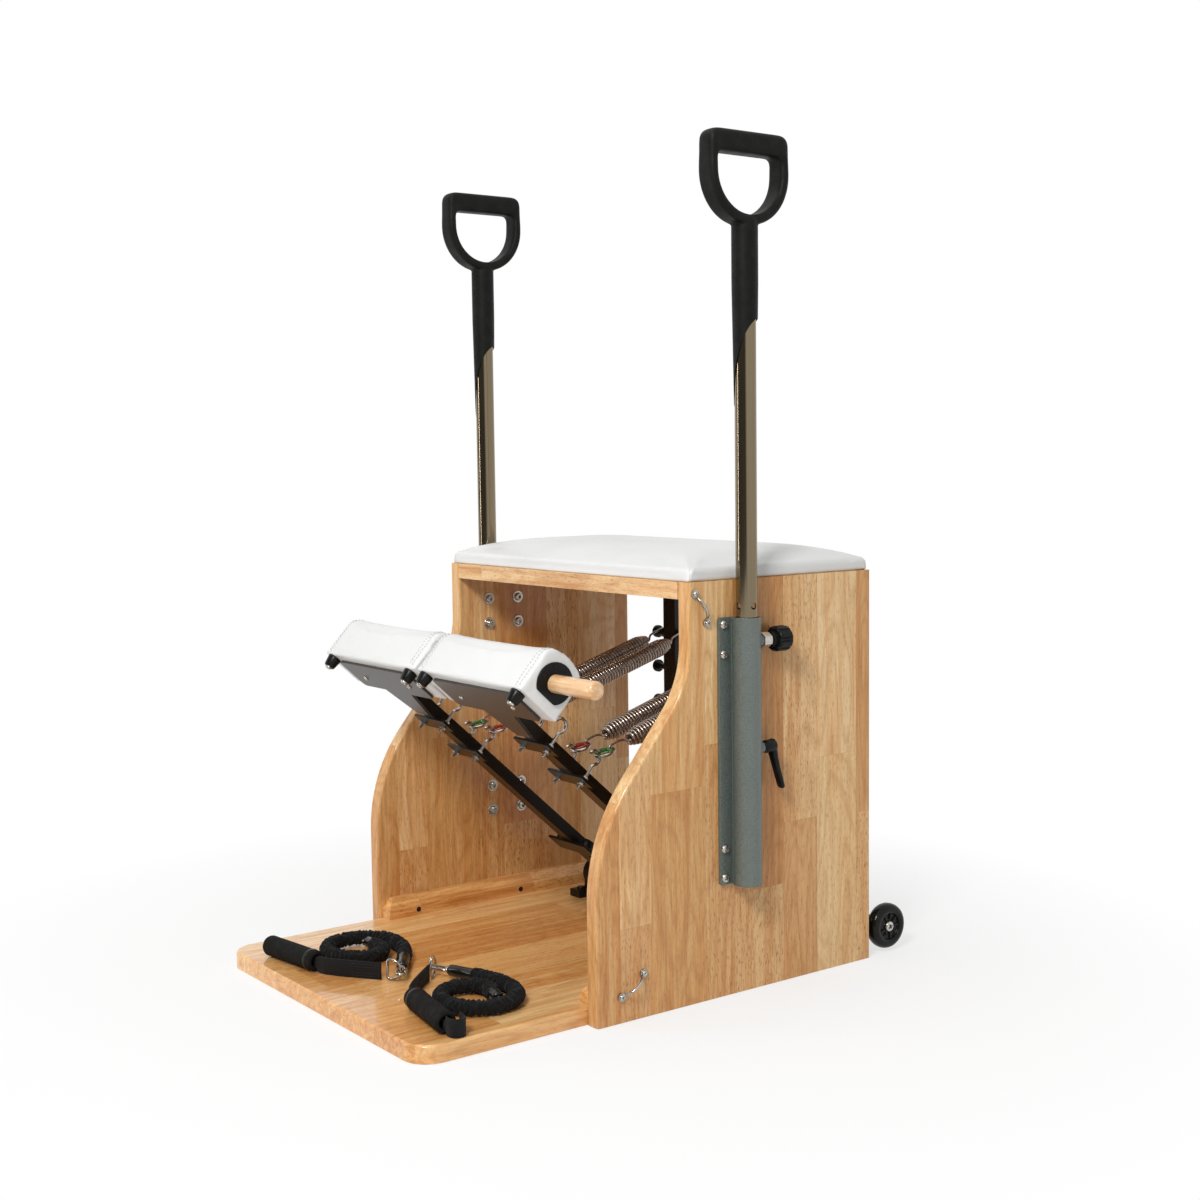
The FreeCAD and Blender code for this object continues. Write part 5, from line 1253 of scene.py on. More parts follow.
@dataclass(frozen=True)
class HexNut:
    """Hexagon nut with chamfered corners and a bore."""

    flats: float
    height: float
    bore: float

    def mesh(self) -> bpy.types.Mesh:
        """Nut standing on the origin along +Z.

        Returns:
            Its mesh.
        """
        count = 48
        hexed = hexagon(self.flats)
        round_edge = self.flats * 0.53

        def clipped(turn: float) -> float:
            """Chamfered outline at an angle."""
            return min(hexed(turn), round_edge)

        slope = self.flats * 0.035
        rings = [circle(self.bore, 0.0, count), shaped(clipped, 0.0, count), shaped(hexed, slope, count),
                 shaped(hexed, self.height - slope, count), shaped(clipped, self.height, count),
                 circle(self.bore * 1.12, self.height, count), circle(self.bore, self.height - slope, count)]
        return Shell().loft(rings, closed=True).mesh("hex_nut", 25.0)


def stitch_mesh(length: float, width: float) -> bpy.types.Mesh:
    """One stitch lying along +X on the origin, sunk at both ends.

    Args:
        length: its length.
        width: thickness of its thread.

    Returns:
        Its mesh.
    """
    rings = []
    for share in (-1.0, -0.72, 0.0, 0.72, 1.0):
        bow = 1.0 - share * share
        size = width * (0.45 + 0.55 * math.sqrt(bow))
        middle = Vector((share * length / 2, 0.0, width * (0.75 * bow - 0.35)))
        rings.append([middle + Vector((0.0, size * point.x, size * point.y * 0.8))
                      for point in circle(0.5, 0.0, 6)])
    return Shell().loft(rings).mesh("stitch", 60.0)


# Studio


@dataclass(frozen=True)
class SoftBox:
    """Rectangular area light."""

    name: str
    place: tuple[float, float, float]
    target: tuple[float, float, float]
    size: tuple[float, float]
    power: float

    def hang(self) -> None:
        """Put the light into the scene."""
        data = bpy.data.lights.new(self.name, "AREA")
        data.shape = "RECTANGLE"
        data.size, data.size_y = self.size
        data.energy = self.power
        light = bpy.data.objects.new(self.name, data)
        back = Vector(self.place) - Vector(self.target)
        light.matrix_world = aimed(Vector(self.place), back, UP.cross(back + RIGHT * 1e-4))
        bpy.context.scene.collection.objects.link(light)


LIGHTS = (
    SoftBox("key_light", (1.8, -2.45, 2.7), (0.05, 0.05, 0.45), (0.8, 0.8), 100.0),
    SoftBox("top_light", (-0.2, -0.8, 2.9), (0.0, -0.1, 0.3), (1.6, 1.6), 17.0),
    SoftBox("left_strip", (-1.7, -2.3, 1.0), (0.05, 0.05, 1.0), (0.16, 2.0), 12.0),
)


@dataclass
class Studio:
    """Camera, soft light, white ground and background."""

    camera_place: tuple[float, float, float] = (2.061, -1.415, 0.761)
    lens: float = 50.616
    yaw: float = 143.42
    pitch: float = -4.970
    roll: float = -0.749
    ambient: float = 0.36
    dark_side: tuple[float, float, float] = (-0.02, -1.0, 0.0)
    dark_edge: tuple[float, float] = (0.45, 0.70)
    dimmed: float = 0.12
    ground_tone: Colour = (0.86, 0.86, 0.855)
    ground_half: float = 6.0
    ground_drop: float = 0.0006
    ground_fade: tuple[float, float] = (0.40, 1.05)
    ground_glow: float = 0.62

    def build(self) -> None:
        """Set up the whole studio."""
        self.camera()
        self.world()
        self.ground()
        for light in LIGHTS:
            light.hang()
        bpy.context.scene.view_settings.view_transform = "Standard"

    def camera(self) -> None:
        """Camera at the photograph's place."""
        yaw, pitch, roll = (math.radians(value) for value in (self.yaw, self.pitch, self.roll))
        ahead = Vector((math.cos(yaw) * math.cos(pitch), math.sin(yaw) * math.cos(pitch), math.sin(pitch)))
        level = Vector((math.sin(yaw), -math.cos(yaw), 0.0))
        above = level.cross(ahead)
        across = math.cos(roll) * level + math.sin(roll) * above
        upright = -math.sin(roll) * level + math.cos(roll) * above
        data = bpy.data.cameras.new("camera")
        data.sensor_width = 36.0
        data.lens = self.lens
        camera = bpy.data.objects.new("camera", data)
        matrix = Matrix((across, upright, -ahead)).transposed().to_4x4()
        matrix.translation = Vector(self.camera_place)
        camera.matrix_world = matrix
        bpy.context.scene.collection.objects.link(camera)
        bpy.context.scene.camera = camera

    def world(self) -> None:
        """White background over a plain ambient light, with a dim wall in front for reflections."""
        world = bpy.data.worlds.new("studio")
        world.use_nodes = True
        work = NodeTree(world.node_tree)
        rays = work.add("ShaderNodeLightPath").outputs
        ahead = work.add("ShaderNodeTexCoord").outputs["Generated"]
        facing = work.add("ShaderNodeVectorMath", {0: ahead, 1: self.dark_side}, operation="DOT_PRODUCT")
        extra = work.remap(facing.outputs["Value"], *self.dark_edge, 1.0 - self.ambient, self.dimmed - self.ambient)
        mirrored = work.math("MULTIPLY_ADD", rays["Is Glossy Ray"], extra, self.ambient)
        seen = work.math("MAXIMUM", rays["Is Camera Ray"], rays["Is Transmission Ray"])
        strength = work.math("MAXIMUM", seen, mirrored)
        sky = work.add("ShaderNodeBackground", {"Color": WHITE, "Strength": strength})
        work.add("ShaderNodeOutputWorld", {"Surface": sky.outputs[0]})
        bpy.context.scene.world = world

    def ground(self) -> None:
        """Pale floor that keeps the shadow and runs out into white."""
        half, corners = self.ground_half, ((-1, -1), (1, -1), (1, 1), (-1, 1))
        shell = Shell()
        shell.points = [Vector((x * half, y * half, -self.ground_drop)) for x, y in corners]
        shell.faces = [(0, 1, 2, 3)]
        shell.unwrap = [(0.0, 0.0), (1.0, 0.0), (1.0, 1.0), (0.0, 1.0)]
        floor = shown("floor", shell.mesh("floor"))
        material = bpy.data.materials.new("floor")
        material.use_nodes = True
        work = NodeTree(material.node_tree)
        place = work.add("ShaderNodeTexCoord").outputs["Object"]
        away = work.add("ShaderNodeVectorMath", {0: place}, operation="LENGTH").outputs["Value"]
        rays = work.add("ShaderNodeLightPath").outputs
        seen = work.math("MAXIMUM", rays["Is Camera Ray"], rays["Is Glossy Ray"])
        seen = work.math("MAXIMUM", seen, rays["Is Transmission Ray"])
        share = work.math("MULTIPLY", work.remap(away, *self.ground_fade, self.ground_glow, 1.0), seen)
        matt = work.add("ShaderNodeBsdfDiffuse", {"Color": (*self.ground_tone, 1.0)})
        white = work.add("ShaderNodeEmission", {"Color": WHITE, "Strength": 1.0})
        both = work.add("ShaderNodeMixShader", {0: share, 1: matt.outputs[0], 2: white.outputs[0]})
        work.add("ShaderNodeOutputMaterial", {"Surface": both.outputs[0]})
        floor.data.materials.append(material)


# Padding


@dataclass
class Padding:
    """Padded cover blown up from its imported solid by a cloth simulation."""

    voxel: float = 0.0045
    pressure: float = 4.0
    cap: float = 0.003
    frames: int = 20
    slack: float = 0.0012

    CLOTH = {"vertex_group_mass": "held", "quality": 5, "mass": 0.25, "tension_stiffness": 18.0,
             "compression_stiffness": 18.0, "shear_stiffness": 8.0, "bending_stiffness": 0.6, "use_pressure": True}

    def puffed(self, name: str, node: bpy.types.Object, held: Callable[[Vector], bool]) -> bpy.types.Mesh:
        """Mesh of a padded cover.

        Args:
            name: name of the mesh.
            node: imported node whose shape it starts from.
            held: tells whether a point stays in place.

        Returns:
            The puffed mesh, subdivided once.
        """
        even = voxelled(name + "_sim", node_copy(node), self.voxel)
        rest = self.slackened(even, held)
        self.simulate(name, even, rest, held)
        return self.divided(name, even)

    def slackened(self, mesh: bpy.types.Mesh, held: Callable[[Vector], bool]) -> list[Vector]:
        """Draw the free skin in a little, and give the places it starts from.

        Args:
            mesh: the skin, changed in place.
            held: tells whether a point stays in place.

        Returns:
            Those places.
        """
        normals = [vertex.normal.copy() for vertex in mesh.vertices]
        for vertex, normal in zip(mesh.vertices, normals):
            if not held(vertex.co):
                vertex.co -= normal * self.slack
        mesh.update()
        return [vertex.co.copy() for vertex in mesh.vertices]

    def simulate(self, name: str, mesh: bpy.types.Mesh, rest: list[Vector],
                 held: Callable[[Vector], bool]) -> None:
        """Blow the skin up and put the result back, capped, into the mesh.

        Args:
            name: name of the helper object.
            mesh: the skin, changed in place.
            rest: the places it starts from.
            held: tells whether a point stays in place.
        """
        piece = shown(name + "_cloth", mesh)
        group = piece.vertex_groups.new(name="held")
        group.add([number for number, spot in enumerate(rest) if held(spot)], 1.0, "REPLACE")
        cloth = piece.modifiers.new("cloth", "CLOTH")
        settings = cloth.settings
        for key, value in self.CLOTH.items():
            setattr(settings, key, value)
        settings.uniform_pressure_force = self.pressure
        settings.effector_weights.gravity = 0.0
        scene = bpy.context.scene
        cloth.point_cache.frame_start = 1
        cloth.point_cache.frame_end = self.frames
        for number in range(1, self.frames + 1):
            scene.frame_set(number)
        moved = evaluated(piece)
        for number, spot in enumerate(rest):
            step = moved.vertices[number].co - spot
            if step.length > self.cap:
                step *= self.cap / step.length
            mesh.vertices[number].co = spot + step
        piece.modifiers.remove(cloth)
        scene.frame_set(1)
        bpy.data.meshes.remove(moved)
        bpy.data.objects.remove(piece)
        mesh.update()

    @staticmethod
    def divided(name: str, mesh: bpy.types.Mesh) -> bpy.types.Mesh:
        """Mesh subdivided once and smoothed.

        Args:
            name: name of the mesh.
            mesh: the coarse mesh.

        Returns:
            The finer mesh.
        """
        piece = shown(name + "_fine", mesh)
        finer = piece.modifiers.new("finer", "SUBSURF")
        finer.levels = finer.render_levels = 1
        result = evaluated(piece)
        dropped(piece)
        result.name = name
        return smooth(result, 80.0)


def surface_of(mesh: bpy.types.Mesh) -> BVHTree:
    """Search tree of a mesh's surface."""
    return BVHTree.FromPolygons([vertex.co for vertex in mesh.vertices],
                                [tuple(face.vertices) for face in mesh.polygons])


@dataclass
class SeatCushion:
    """White seat cushion with a tucked seam at each corner."""

    half_width: float = 0.3055
    front: float = 0.037
    rear: float = 0.385
    bottom: float = 0.585
    side_height: float = 0.015
    pocket_inset: float = 0.012
    pocket_depth: float = 0.0135
    margin: float = 0.003
    tuck_radius: float = 0.0011
    tuck_low: float = 0.0015
    tuck_near: float = 0.004
    tuck_run: float = 0.026
    tuck_full: float = 0.35
    tuck_thin: float = 0.85
    seam_low: float = 0.004
    seam_half: float = 0.004
    seam_fade: float = 0.035
    seam_depth: float = 0.0016
    fold_reach: float = 0.09
    fold_start: float = 0.010
    fold_fade: float = 0.030
    fold_waves: float = 11.0
    fold_height: float = 0.0007
    padding: Padding = field(default_factory=lambda: Padding(voxel=0.005, cap=0.0018, slack=0.0008))

    def held(self, spot: Vector) -> bool:
        """Whether a point is on the cushion's underside.

        Args:
            spot: the point.

        Returns:
            True where it is held.
        """
        low = spot.z < self.bottom + self.margin
        inside = (abs(spot.x) < self.half_width - self.pocket_inset and spot.z < self.bottom + self.pocket_depth
                  and self.front + self.pocket_inset < spot.y < self.rear - self.pocket_inset)
        return low or inside

    def corners(self) -> list[tuple[Vector, Vector]]:
        """Foot of each corner and its outward diagonal.

        Returns:
            Pairs of foot and diagonal.
        """
        made = []
        for x in (-1, 1):
            for y, back in ((self.front, -1), (self.rear, 1)):
                made.append((Vector((x * self.half_width, y, self.bottom)), Vector((x, back, 0.0)).normalized()))
        return made

    def build(self, nodes: dict[str, bpy.types.Object]) -> None:
        """Make the cover and its corner tucks.

        Args:
            nodes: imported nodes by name.
        """
        mesh = self.padding.puffed("seat_cushion_cover", nodes["seat_cushion"], self.held)
        self.pinch(mesh)
        cover = settle("seat_cushion_cover", mesh, Finish.VINYL, "frame", "white_vinyl", "seat_cushion")
        skin = surface_of(mesh)
        tucks = Shell()
        for foot, out in self.corners():
            path = self.tuck_path(skin, foot, out)
            last = len(path) - 1
            thinned = [max(0.0, step / last - self.tuck_full) / (1.0 - self.tuck_full) for step in range(len(path))]
            radii = [self.tuck_radius * (1.0 - self.tuck_thin * share) for share in thinned]
            tucks.tube(path, radii, 8)
        name = "seat_corner_tucks"
        settle(name, tucks.mesh(name, 60.0), Finish.VINYL, "frame", "white_vinyl")

    def pinch(self, mesh: bpy.types.Mesh) -> None:
        """Draw the skin in at the corner seams, with small folds running from them.

        Args:
            mesh: the cover, changed in place.
        """
        for vertex in mesh.vertices:
            spot = vertex.co
            if spot.z < self.bottom + self.seam_low:
                continue
            for foot, out in self.corners():
                away = Vector((spot.x - foot.x, spot.y - foot.y, 0.0))
                reach = away.length
                if reach > self.fold_reach:
                    continue
                side = out.cross(UP)
                off = away.dot(side)
                seam = math.exp(-(off / self.seam_half) ** 2) * math.exp(-reach / self.seam_fade)
                turn = math.atan2(off, max(1e-4, -away.dot(out)))
                folds = math.sin(turn * self.fold_waves + 0.6) * math.exp(-reach / self.fold_fade)
                folds *= min(1.0, reach / self.fold_start)
                lift = min(1.0, (spot.z - self.bottom) / self.side_height)
                vertex.co += Vector((-out.x, -out.y, -0.35)) * (self.seam_depth * seam * lift)
                vertex.co.z += self.fold_height * folds * lift
        mesh.update()

    def tuck_path(self, skin: BVHTree, foot: Vector, out: Vector) -> list[Vector]:
        """Line of a corner seam, up the edge and a little way over the top.

        Args:
            skin: search tree of the cover.
            foot: foot of the corner.
            out: its outward diagonal.

        Returns:
            Points of the line.
        """
        clear, path = 0.1, []
        heights = [self.tuck_low + self.side_height * 1.05 * step / 6 for step in range(7)]
        insets = [self.tuck_near + self.tuck_run * step / 8 for step in range(1, 9)]
        rays = [(foot + out * clear / 2 + UP * height, -out, 0.45) for height in heights]
        rays += [(foot - out * inset + UP * clear, -UP, 0.55) for inset in insets]
        for start, way, sunk in rays:
            hit, normal, *_ = skin.ray_cast(start, way)
            if hit is not None:
                path.append(hit - normal * (self.tuck_radius * sunk))
        return path


# Boards and their fittings


@dataclass
class BoxSeat:
    """Boards, cleats, eye straps, transport wheels and all the screws in them."""

    half_width: float = 0.3055
    inner: float = 0.2815
    sleeve_bolt_y: tuple[float, ...] = (0.0945, 0.1515)
    sleeve_bolt_z: tuple[float, ...] = (0.524, 0.483, 0.211, 0.170)
    flange: float = 0.005
    eyes: tuple[tuple[float, float, float], ...] = ((0.0575, 0.5485, -62.9), (-0.067, 0.049, 34.4))
    eye_span: float = 0.046
    eye_foot: float = 0.003
    cleat_screws: tuple[float, ...] = (-0.066, 0.132)
    cleat_face: float = 0.2575
    cleat_z: float = 0.033
    post_x: float = 0.137
    post_screw: float = 0.032
    post_y: float = 0.3725
    post_ends: tuple[float, float] = (0.028, 0.557)
    bracket_screws: tuple[float, ...] = (0.353, 0.373)
    bracket: float = 0.004
    wheel_y: float = 0.431
    wheel_z: float = 0.0385
    wheel_face: float = 0.282
    axle_end: float = 0.0176
    ribs: int = 9

    TYRE = ((5.2, 0.8), (12.0, 0.3), (24.0, 0.3), (29.5, 1.2), (32.6, 3.4), (34.1, 7.0), (34.5, 11.0), (34.1, 15.0),
            (32.6, 18.6), (29.8, 20.9), (26.0, 21.7), (22.4, 21.5), (20.6, 20.3), (19.9, 18.2), (19.2, 17.1),
            (5.2, 17.0))
    RIB = ((10.4, -1.0), (19.4, -1.3), (19.4, 1.3), (10.4, 1.0))
    RIB_HEIGHTS = (16.8, 19.4)

    WOODS = {"side_panel_left": Finish.PANEL_WOOD, "side_panel_right": Finish.PANEL_WOOD,
             "base_board": Finish.BASE_WOOD, "top_board": Finish.TOP_WOOD, "base_cleats": Finish.CLEAT_WOOD,
             "seat_plywood": Finish.PLYWOOD}

    def build(self, repeats: Repeats) -> None:
        """Make the fasteners and the wheels.

        Args:
            repeats: tree that sets small parts on their places.
        """
        self.bolts(repeats)
        self.screws(repeats)
        for side in Side:
            self.wheel(side, repeats)

    def bolts(self, repeats: Repeats) -> None:
        """Bolts of the sleeves: heads outside, caps on washers inside.

        Args:
            repeats: tree that sets small parts on their places.
        """
        heads, caps = [], []
        for side in Side:
            out = RIGHT * side.value
            for number, z in enumerate(self.sleeve_bolt_z):
                for y in self.sleeve_bolt_y:
                    spin = number * 1.7 + y * 90
                    turn = RIGHT.cross(UP) * math.cos(spin) + UP * math.sin(spin)
                    heads.append(aimed(Vector((side.value * (self.half_width + self.flange), y, z)), out, turn))
                    caps.append(aimed(Vector((side.value * self.inner, y, z)), -out, turn))
        repeats.settle("sleeve_bolt_heads", ScrewHead(0.0065, 0.004).mesh(), heads, Finish.ZINC, "frame", "zinc",
                       "sleeve_bolts")
        repeats.settle("sleeve_bolt_caps", PanelNut().mesh(), caps, Finish.ZINC, "frame", "zinc", crease=30.0)

    def screws(self, repeats: Repeats) -> None:
        """Screws of the eye straps, cleats, posts and wheel brackets.

        Args:
            repeats: tree that sets small parts on their places.
        """
        places, sunk = [], []
        for side in Side:
            out = RIGHT * side.value
            for y, z, slope in self.eyes:
                along = Vector((0.0, math.cos(math.radians(slope)), math.sin(math.radians(slope))))
                for end in (-1, 1):
                    spot = Vector((side.value * (self.half_width + self.eye_foot), y, z))
                    places.append(aimed(spot + along * (end * self.eye_span / 2), out, along + UP * 0.3 * end))
            for y in self.cleat_screws:
                spot = Vector((side.value * self.cleat_face, y, self.cleat_z))
                sunk.append(aimed(spot, -out, Vector((0.0, 1.0, 0.6))))
            for end in (-1, 1):
                x = side.value * self.post_x + end * self.post_screw
                low, high = (Vector((x, self.post_y, z)) for z in self.post_ends)
                places.append(aimed(low, UP, Vector((1, 0.2 * end, 0))))
                places.append(aimed(high, -UP, Vector((1, 0.7, 0))))
            for y in self.bracket_screws:
                places.append(aimed(Vector((side.value * (self.inner - self.bracket), y, self.wheel_z)), -out))
        repeats.settle("frame_screw_heads", ScrewHead(0.004, 0.0024).mesh(), places, Finish.ZINC, "frame", "zinc",
                       "frame_screws")
        repeats.settle("cleat_screw_heads", ScrewHead(0.0042, 0.0006).mesh(), sunk, Finish.BLACK_STEEL, "frame",
                       "zinc")

    def wheel(self, side: Side, repeats: Repeats) -> None:
        """Transport wheel with a ribbed hub, and the head of its axle bolt.

        Args:
            side: side of the wheel.
            repeats: tree that sets small parts on their places.
        """
        out = RIGHT * side.value
        place = aimed(Vector((side.value * self.wheel_face, self.wheel_y, self.wheel_z)), out)
        tyre = Shell().lathe(mm(self.TYRE), place, 56, True).mesh("tyre", 30.0)
        rings = [[Vector(spot) for spot in mm((*corner, height) for corner in self.RIB)]
                 for height in self.RIB_HEIGHTS]
        rib = Shell().loft(rings).mesh("rib")
        spokes = [place @ Matrix.Rotation(turn, 4, "Z") for turn in angles(self.ribs)]
        ribs = repeats.scatter("wheel_ribs_" + side.label, rib, spokes, Finish.TYRE)
        name = "wheel_tyre_" + side.label
        settle(name, welded(name, tyre, ribs), Finish.TYRE, "transport_wheel_" + side.label, "wheel_black",
               "wheel_" + side.label)
        head = aimed(place @ Vector((0.0, 0.0, self.axle_end)), out, Vector((0.0, 1.0, 0.5)))
        repeats.settle("axle_bolt_" + side.label, ScrewHead(0.0084, 0.0046).mesh(), [head], Finish.ZINC, "frame",
                       "zinc")


# Pedals and springs


@dataclass
class PedalGear:
    """Pad, socket flange, screws and feet of one pedal, drawn level and raised to rest."""

    side: Side
    pivot: tuple[float, float] = (0.245, 0.058)
    offset: float = 0.137
    rest: float = -42.0
    reach: float = 0.573
    half_length: float = 0.133
    under: float = -0.009
    socket_lift: float = 0.028
    socket_radius: float = 0.0155
    flange_radius: float = 0.0285
    flange_flat: float = 0.0225
    flange_height: float = 0.0033
    bore: float = 0.0128
    foot: tuple[float, float] = (0.115, -0.600)
    foot_height: float = 0.0170
    stop: tuple[float, float] = (0.034, -0.112)
    plate: float = 0.004
    plate_screw: tuple[float, float] = (0.065, -0.562)
    flange_screws: tuple[float, ...] = (-0.02, 0.13, 0.37, 0.52)
    seam_inset: float = 0.0125
    stitch_pitch: float = 0.0052
    row_gap: float = 0.0034
    groove_half: float = 0.0021
    groove_depth: float = 0.0017
    pucker_half: float = 0.008
    pucker_depth: float = 0.00028
    crease_depth: float = 0.0004
    pad_middle: float = 0.030
    near: float = 0.003
    hold: float = 0.004
    padding: Padding = field(default_factory=lambda: Padding(voxel=0.004, cap=0.0026, slack=0.001))

    @property
    def body(self) -> str:
        """The pedal's body."""
        return "pedal_" + self.side.label

    def raised(self) -> Matrix:
        """Matrix from the level pedal to its rest place."""
        place = Matrix.Translation((self.side.value * self.offset, *self.pivot))
        return place @ Matrix.Rotation(math.radians(self.rest), 4, "X")

    def held(self, spot: Vector) -> bool:
        """Whether a point of the pad is on the plate, in the socket's bore or under its flange.

        Args:
            spot: the point.

        Returns:
            True where it is held.
        """
        local = self.raised().inverted() @ spot
        off = math.hypot(local.y + self.reach, local.z - self.socket_lift)
        in_bore = off < self.socket_radius + self.near
        at_end = abs(local.x) > self.half_length - self.hold and off < self.flange_radius + self.near
        return local.z < self.under + self.hold or in_bore or at_end

    def build(self, nodes: dict[str, bpy.types.Object], repeats: Repeats) -> None:
        """Make the pad with its stitching, the flange, the screws and the feet.

        Args:
            nodes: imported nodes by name.
            repeats: tree that sets small parts on their places.
        """
        label = self.side.label
        mesh = self.padding.puffed("pedal_cover_" + label, nodes["pedal_pad_" + label], self.held)
        self.sew(mesh)
        cover = settle("pedal_cover_" + label, mesh, Finish.VINYL, self.body, "white_vinyl", "pedal_pad_" + label)
        repeats.settle("pedal_stitches_" + label, stitch_mesh(0.0036, 0.0011), self.stitches(surface_of(mesh)),
                       Finish.THREAD, self.body, "white_vinyl", crease=60.0)
        self.flange()
        self.screws(repeats)
        self.feet()

    def flange(self) -> None:
        """Black end plate round the dowel's socket, cut flat below."""
        raised, sign = self.raised(), self.side.value
        rings = []
        for outer, height, share in ((False, 0.0004, 1.0), (True, 0.0004, 1.0), (True, 0.0025, 1.0),
                                     (True, self.flange_height, 0.965), (False, self.flange_height, 1.06)):
            ring = []
            for turn in angles(64):
                rim = min(self.flange_radius, self.flange_flat / max(1e-6, -math.sin(turn)))
                size = (rim if outer else self.bore) * share
                ring.append(raised @ Vector((sign * (self.half_length + height), size * math.cos(turn) - self.reach,
                                             self.socket_lift + size * math.sin(turn))))
            rings.append(ring)
        name = "socket_flange_" + self.side.label
        mesh = Shell().loft(rings, closed=True).mesh(name, 35.0)
        settle(name, mesh, Finish.PLASTIC, self.body, "black_plastic")

    def sew(self, mesh: bpy.types.Mesh) -> None:
        """Sink the seams near both ends and pucker the cover beside them.

        Args:
            mesh: the cover, changed in place.
        """
        back = self.raised().inverted()
        normals = [vertex.normal.copy() for vertex in mesh.vertices]
        for vertex, normal in zip(mesh.vertices, normals):
            local = back @ vertex.co
            if local.z < self.under + self.near or self.held(vertex.co):
                continue
            off = abs(local.x) - (self.half_length - self.seam_inset)
            groove = math.exp(-(off / self.groove_half) ** 2)
            around = math.atan2(local.z - self.pad_middle, local.y + self.reach)
            pucker = math.sin(around * 26.0 + local.x * 40) * math.exp(-(off / self.pucker_half) ** 2)
            crease = noise.noise(local * 30.0) * self.crease_depth
            vertex.co -= normal * (self.groove_depth * groove - self.pucker_depth * pucker + crease)
        mesh.update()

    def stitches(self, skin: BVHTree) -> list[Matrix]:
        """Places of the stitches, in two rows along each seam.

        Args:
            skin: search tree of the cover.

        Returns:
            Their placing matrices.
        """
        raised = self.raised()
        made = []
        for end in (-1, 1):
            for row in (-1, 1):
                x = end * (self.half_length - self.seam_inset) + row * self.row_gap
                line = self.girdle(skin, raised, x)
                gone = 0.0
                for (near, normal), (far, _) in zip(line, line[1:]):
                    gone += (far - near).length
                    if gone < self.stitch_pitch:
                        continue
                    gone -= self.stitch_pitch
                    made.append(aimed(near, normal, (far - near).normalized()))
        return made

    def girdle(self, skin: BVHTree, raised: Matrix, x: float) -> list[tuple[Vector, Vector]]:
        """Points and normals round the pad at one place along it, from plate to plate.

        Args:
            skin: search tree of the cover.
            raised: matrix from the level pedal to its rest place.
            x: place along the pad.

        Returns:
            The points with their normals.
        """
        made = []
        middle = Vector((x, -self.reach, self.pad_middle))
        for step in range(361):
            turn = math.radians(-48.0 + 276.0 * step / 360)
            out = Vector((0.0, math.cos(turn), math.sin(turn)))
            hit, normal, *_ = skin.ray_cast(raised @ (middle + out * 0.12), raised.to_3x3() @ -out)
            if hit is not None and (raised.inverted() @ hit).z > self.under + self.hold:
                made.append((hit, normal))
        return made

    def screws(self, repeats: Repeats) -> None:
        """Screws below the plate, on the socket's flange and in the feet.

        Args:
            repeats: tree that sets small parts on their places.
        """
        raised, sign, label = self.raised(), self.side.value, self.side.label
        below = raised.to_3x3() @ -UP
        plate, tips, rim = [], [], []
        for end in (-1, 1):
            x, y = self.plate_screw
            spot = Vector((end * x, y, self.under - self.plate))
            plate.append(aimed(raised @ spot, below, Vector((1, 0.3 * end, 0))))
            x, y = self.foot
            spot = Vector((end * x, y, self.under - self.foot_height))
            tips.append(aimed(raised @ spot, below, Vector((1, 0.5 * end, 0))))
        ring = (self.bore + self.flange_radius) / 2 + 0.0015
        for share in self.flange_screws:
            turn = 2 * math.pi * share
            spot = Vector((sign * (self.half_length + self.flange_height), ring * math.cos(turn) - self.reach,
                           self.socket_lift + ring * math.sin(turn)))
            rim.append(aimed(raised @ spot, RIGHT * sign, Vector((0.0, 1.0, share))))
        repeats.settle("plate_screws_" + label, ScrewHead(0.004, 0.0024).mesh(), plate, Finish.ZINC, self.body,
                       "zinc", "pedal_screws_" + label)
        repeats.settle("flange_screws_" + label, ScrewHead(0.0022, 0.0012).mesh(), rim, Finish.BLACK_STEEL,
                       self.body, "zinc")
        repeats.settle("foot_screws_" + label, ScrewHead(0.0055, 0.0030).mesh(), tips, Finish.ZINC, self.body,
                       "chrome")

    def feet(self) -> None:
        """Rubber feet under the pad's front corners and buffers on the stop plate."""
        raised, tall, shell = self.raised(), self.foot_height, Shell()
        below = raised.to_3x3() @ -UP
        foot = [(0.0, 0.0), (0.0104, 0.0), (0.0108, 0.0008), (0.0105, 0.0030), (0.0086, tall - 0.0022),
                (0.0078, tall - 0.0005), (0.0066, tall), (0.0, tall)]
        buffer = mm(((0.0, 0.0), (11.0, 0.0), (11.0, 12.2), (10.0, 13.6), (8.6, 14.0), (0.0, 14.0)))
        for end in (-1, 1):
            for profile, (x, y), out in ((foot, self.foot, below), (buffer, self.stop, -below)):
                shell.lathe(profile, aimed(raised @ Vector((end * x, y, self.under)), out), 32)
        name = "rubber_feet_" + self.side.label
        settle(name, shell.mesh(name, 40.0), Finish.RUBBER, self.body, "black_rubber",
               "pedal_feet_" + self.side.label)


@dataclass
class Dowel:
    """Turned wooden rod with rounded ends."""

    radius: float = 0.0125
    start: float = 0.008
    length: float = 0.357
    axis: tuple[float, float] = (-0.16209, 0.46222)
    rounding: float = 0.0045

    def build(self) -> None:
        """Make the rod."""
        profile = [(0.0, 0.0)]
        turns = [math.pi / 2 * step / 6 for step in range(7)]
        profile += [(self.radius - self.rounding * (1 - math.sin(turn)), self.rounding * (1 - math.cos(turn)))
                    for turn in turns]
        middle = [(self.radius, self.length * step / 8) for step in range(1, 8)]
        far = [(radius, self.length - height) for radius, height in profile[::-1]]
        place = aimed(Vector((self.start, *self.axis)), RIGHT)
        mesh = Shell().lathe(profile + middle + far, place, 40).mesh("coupling_dowel", 50.0)
        settle("coupling_dowel", mesh, Finish.DOWEL_WOOD, "dowel", "rubberwood", "dowel")


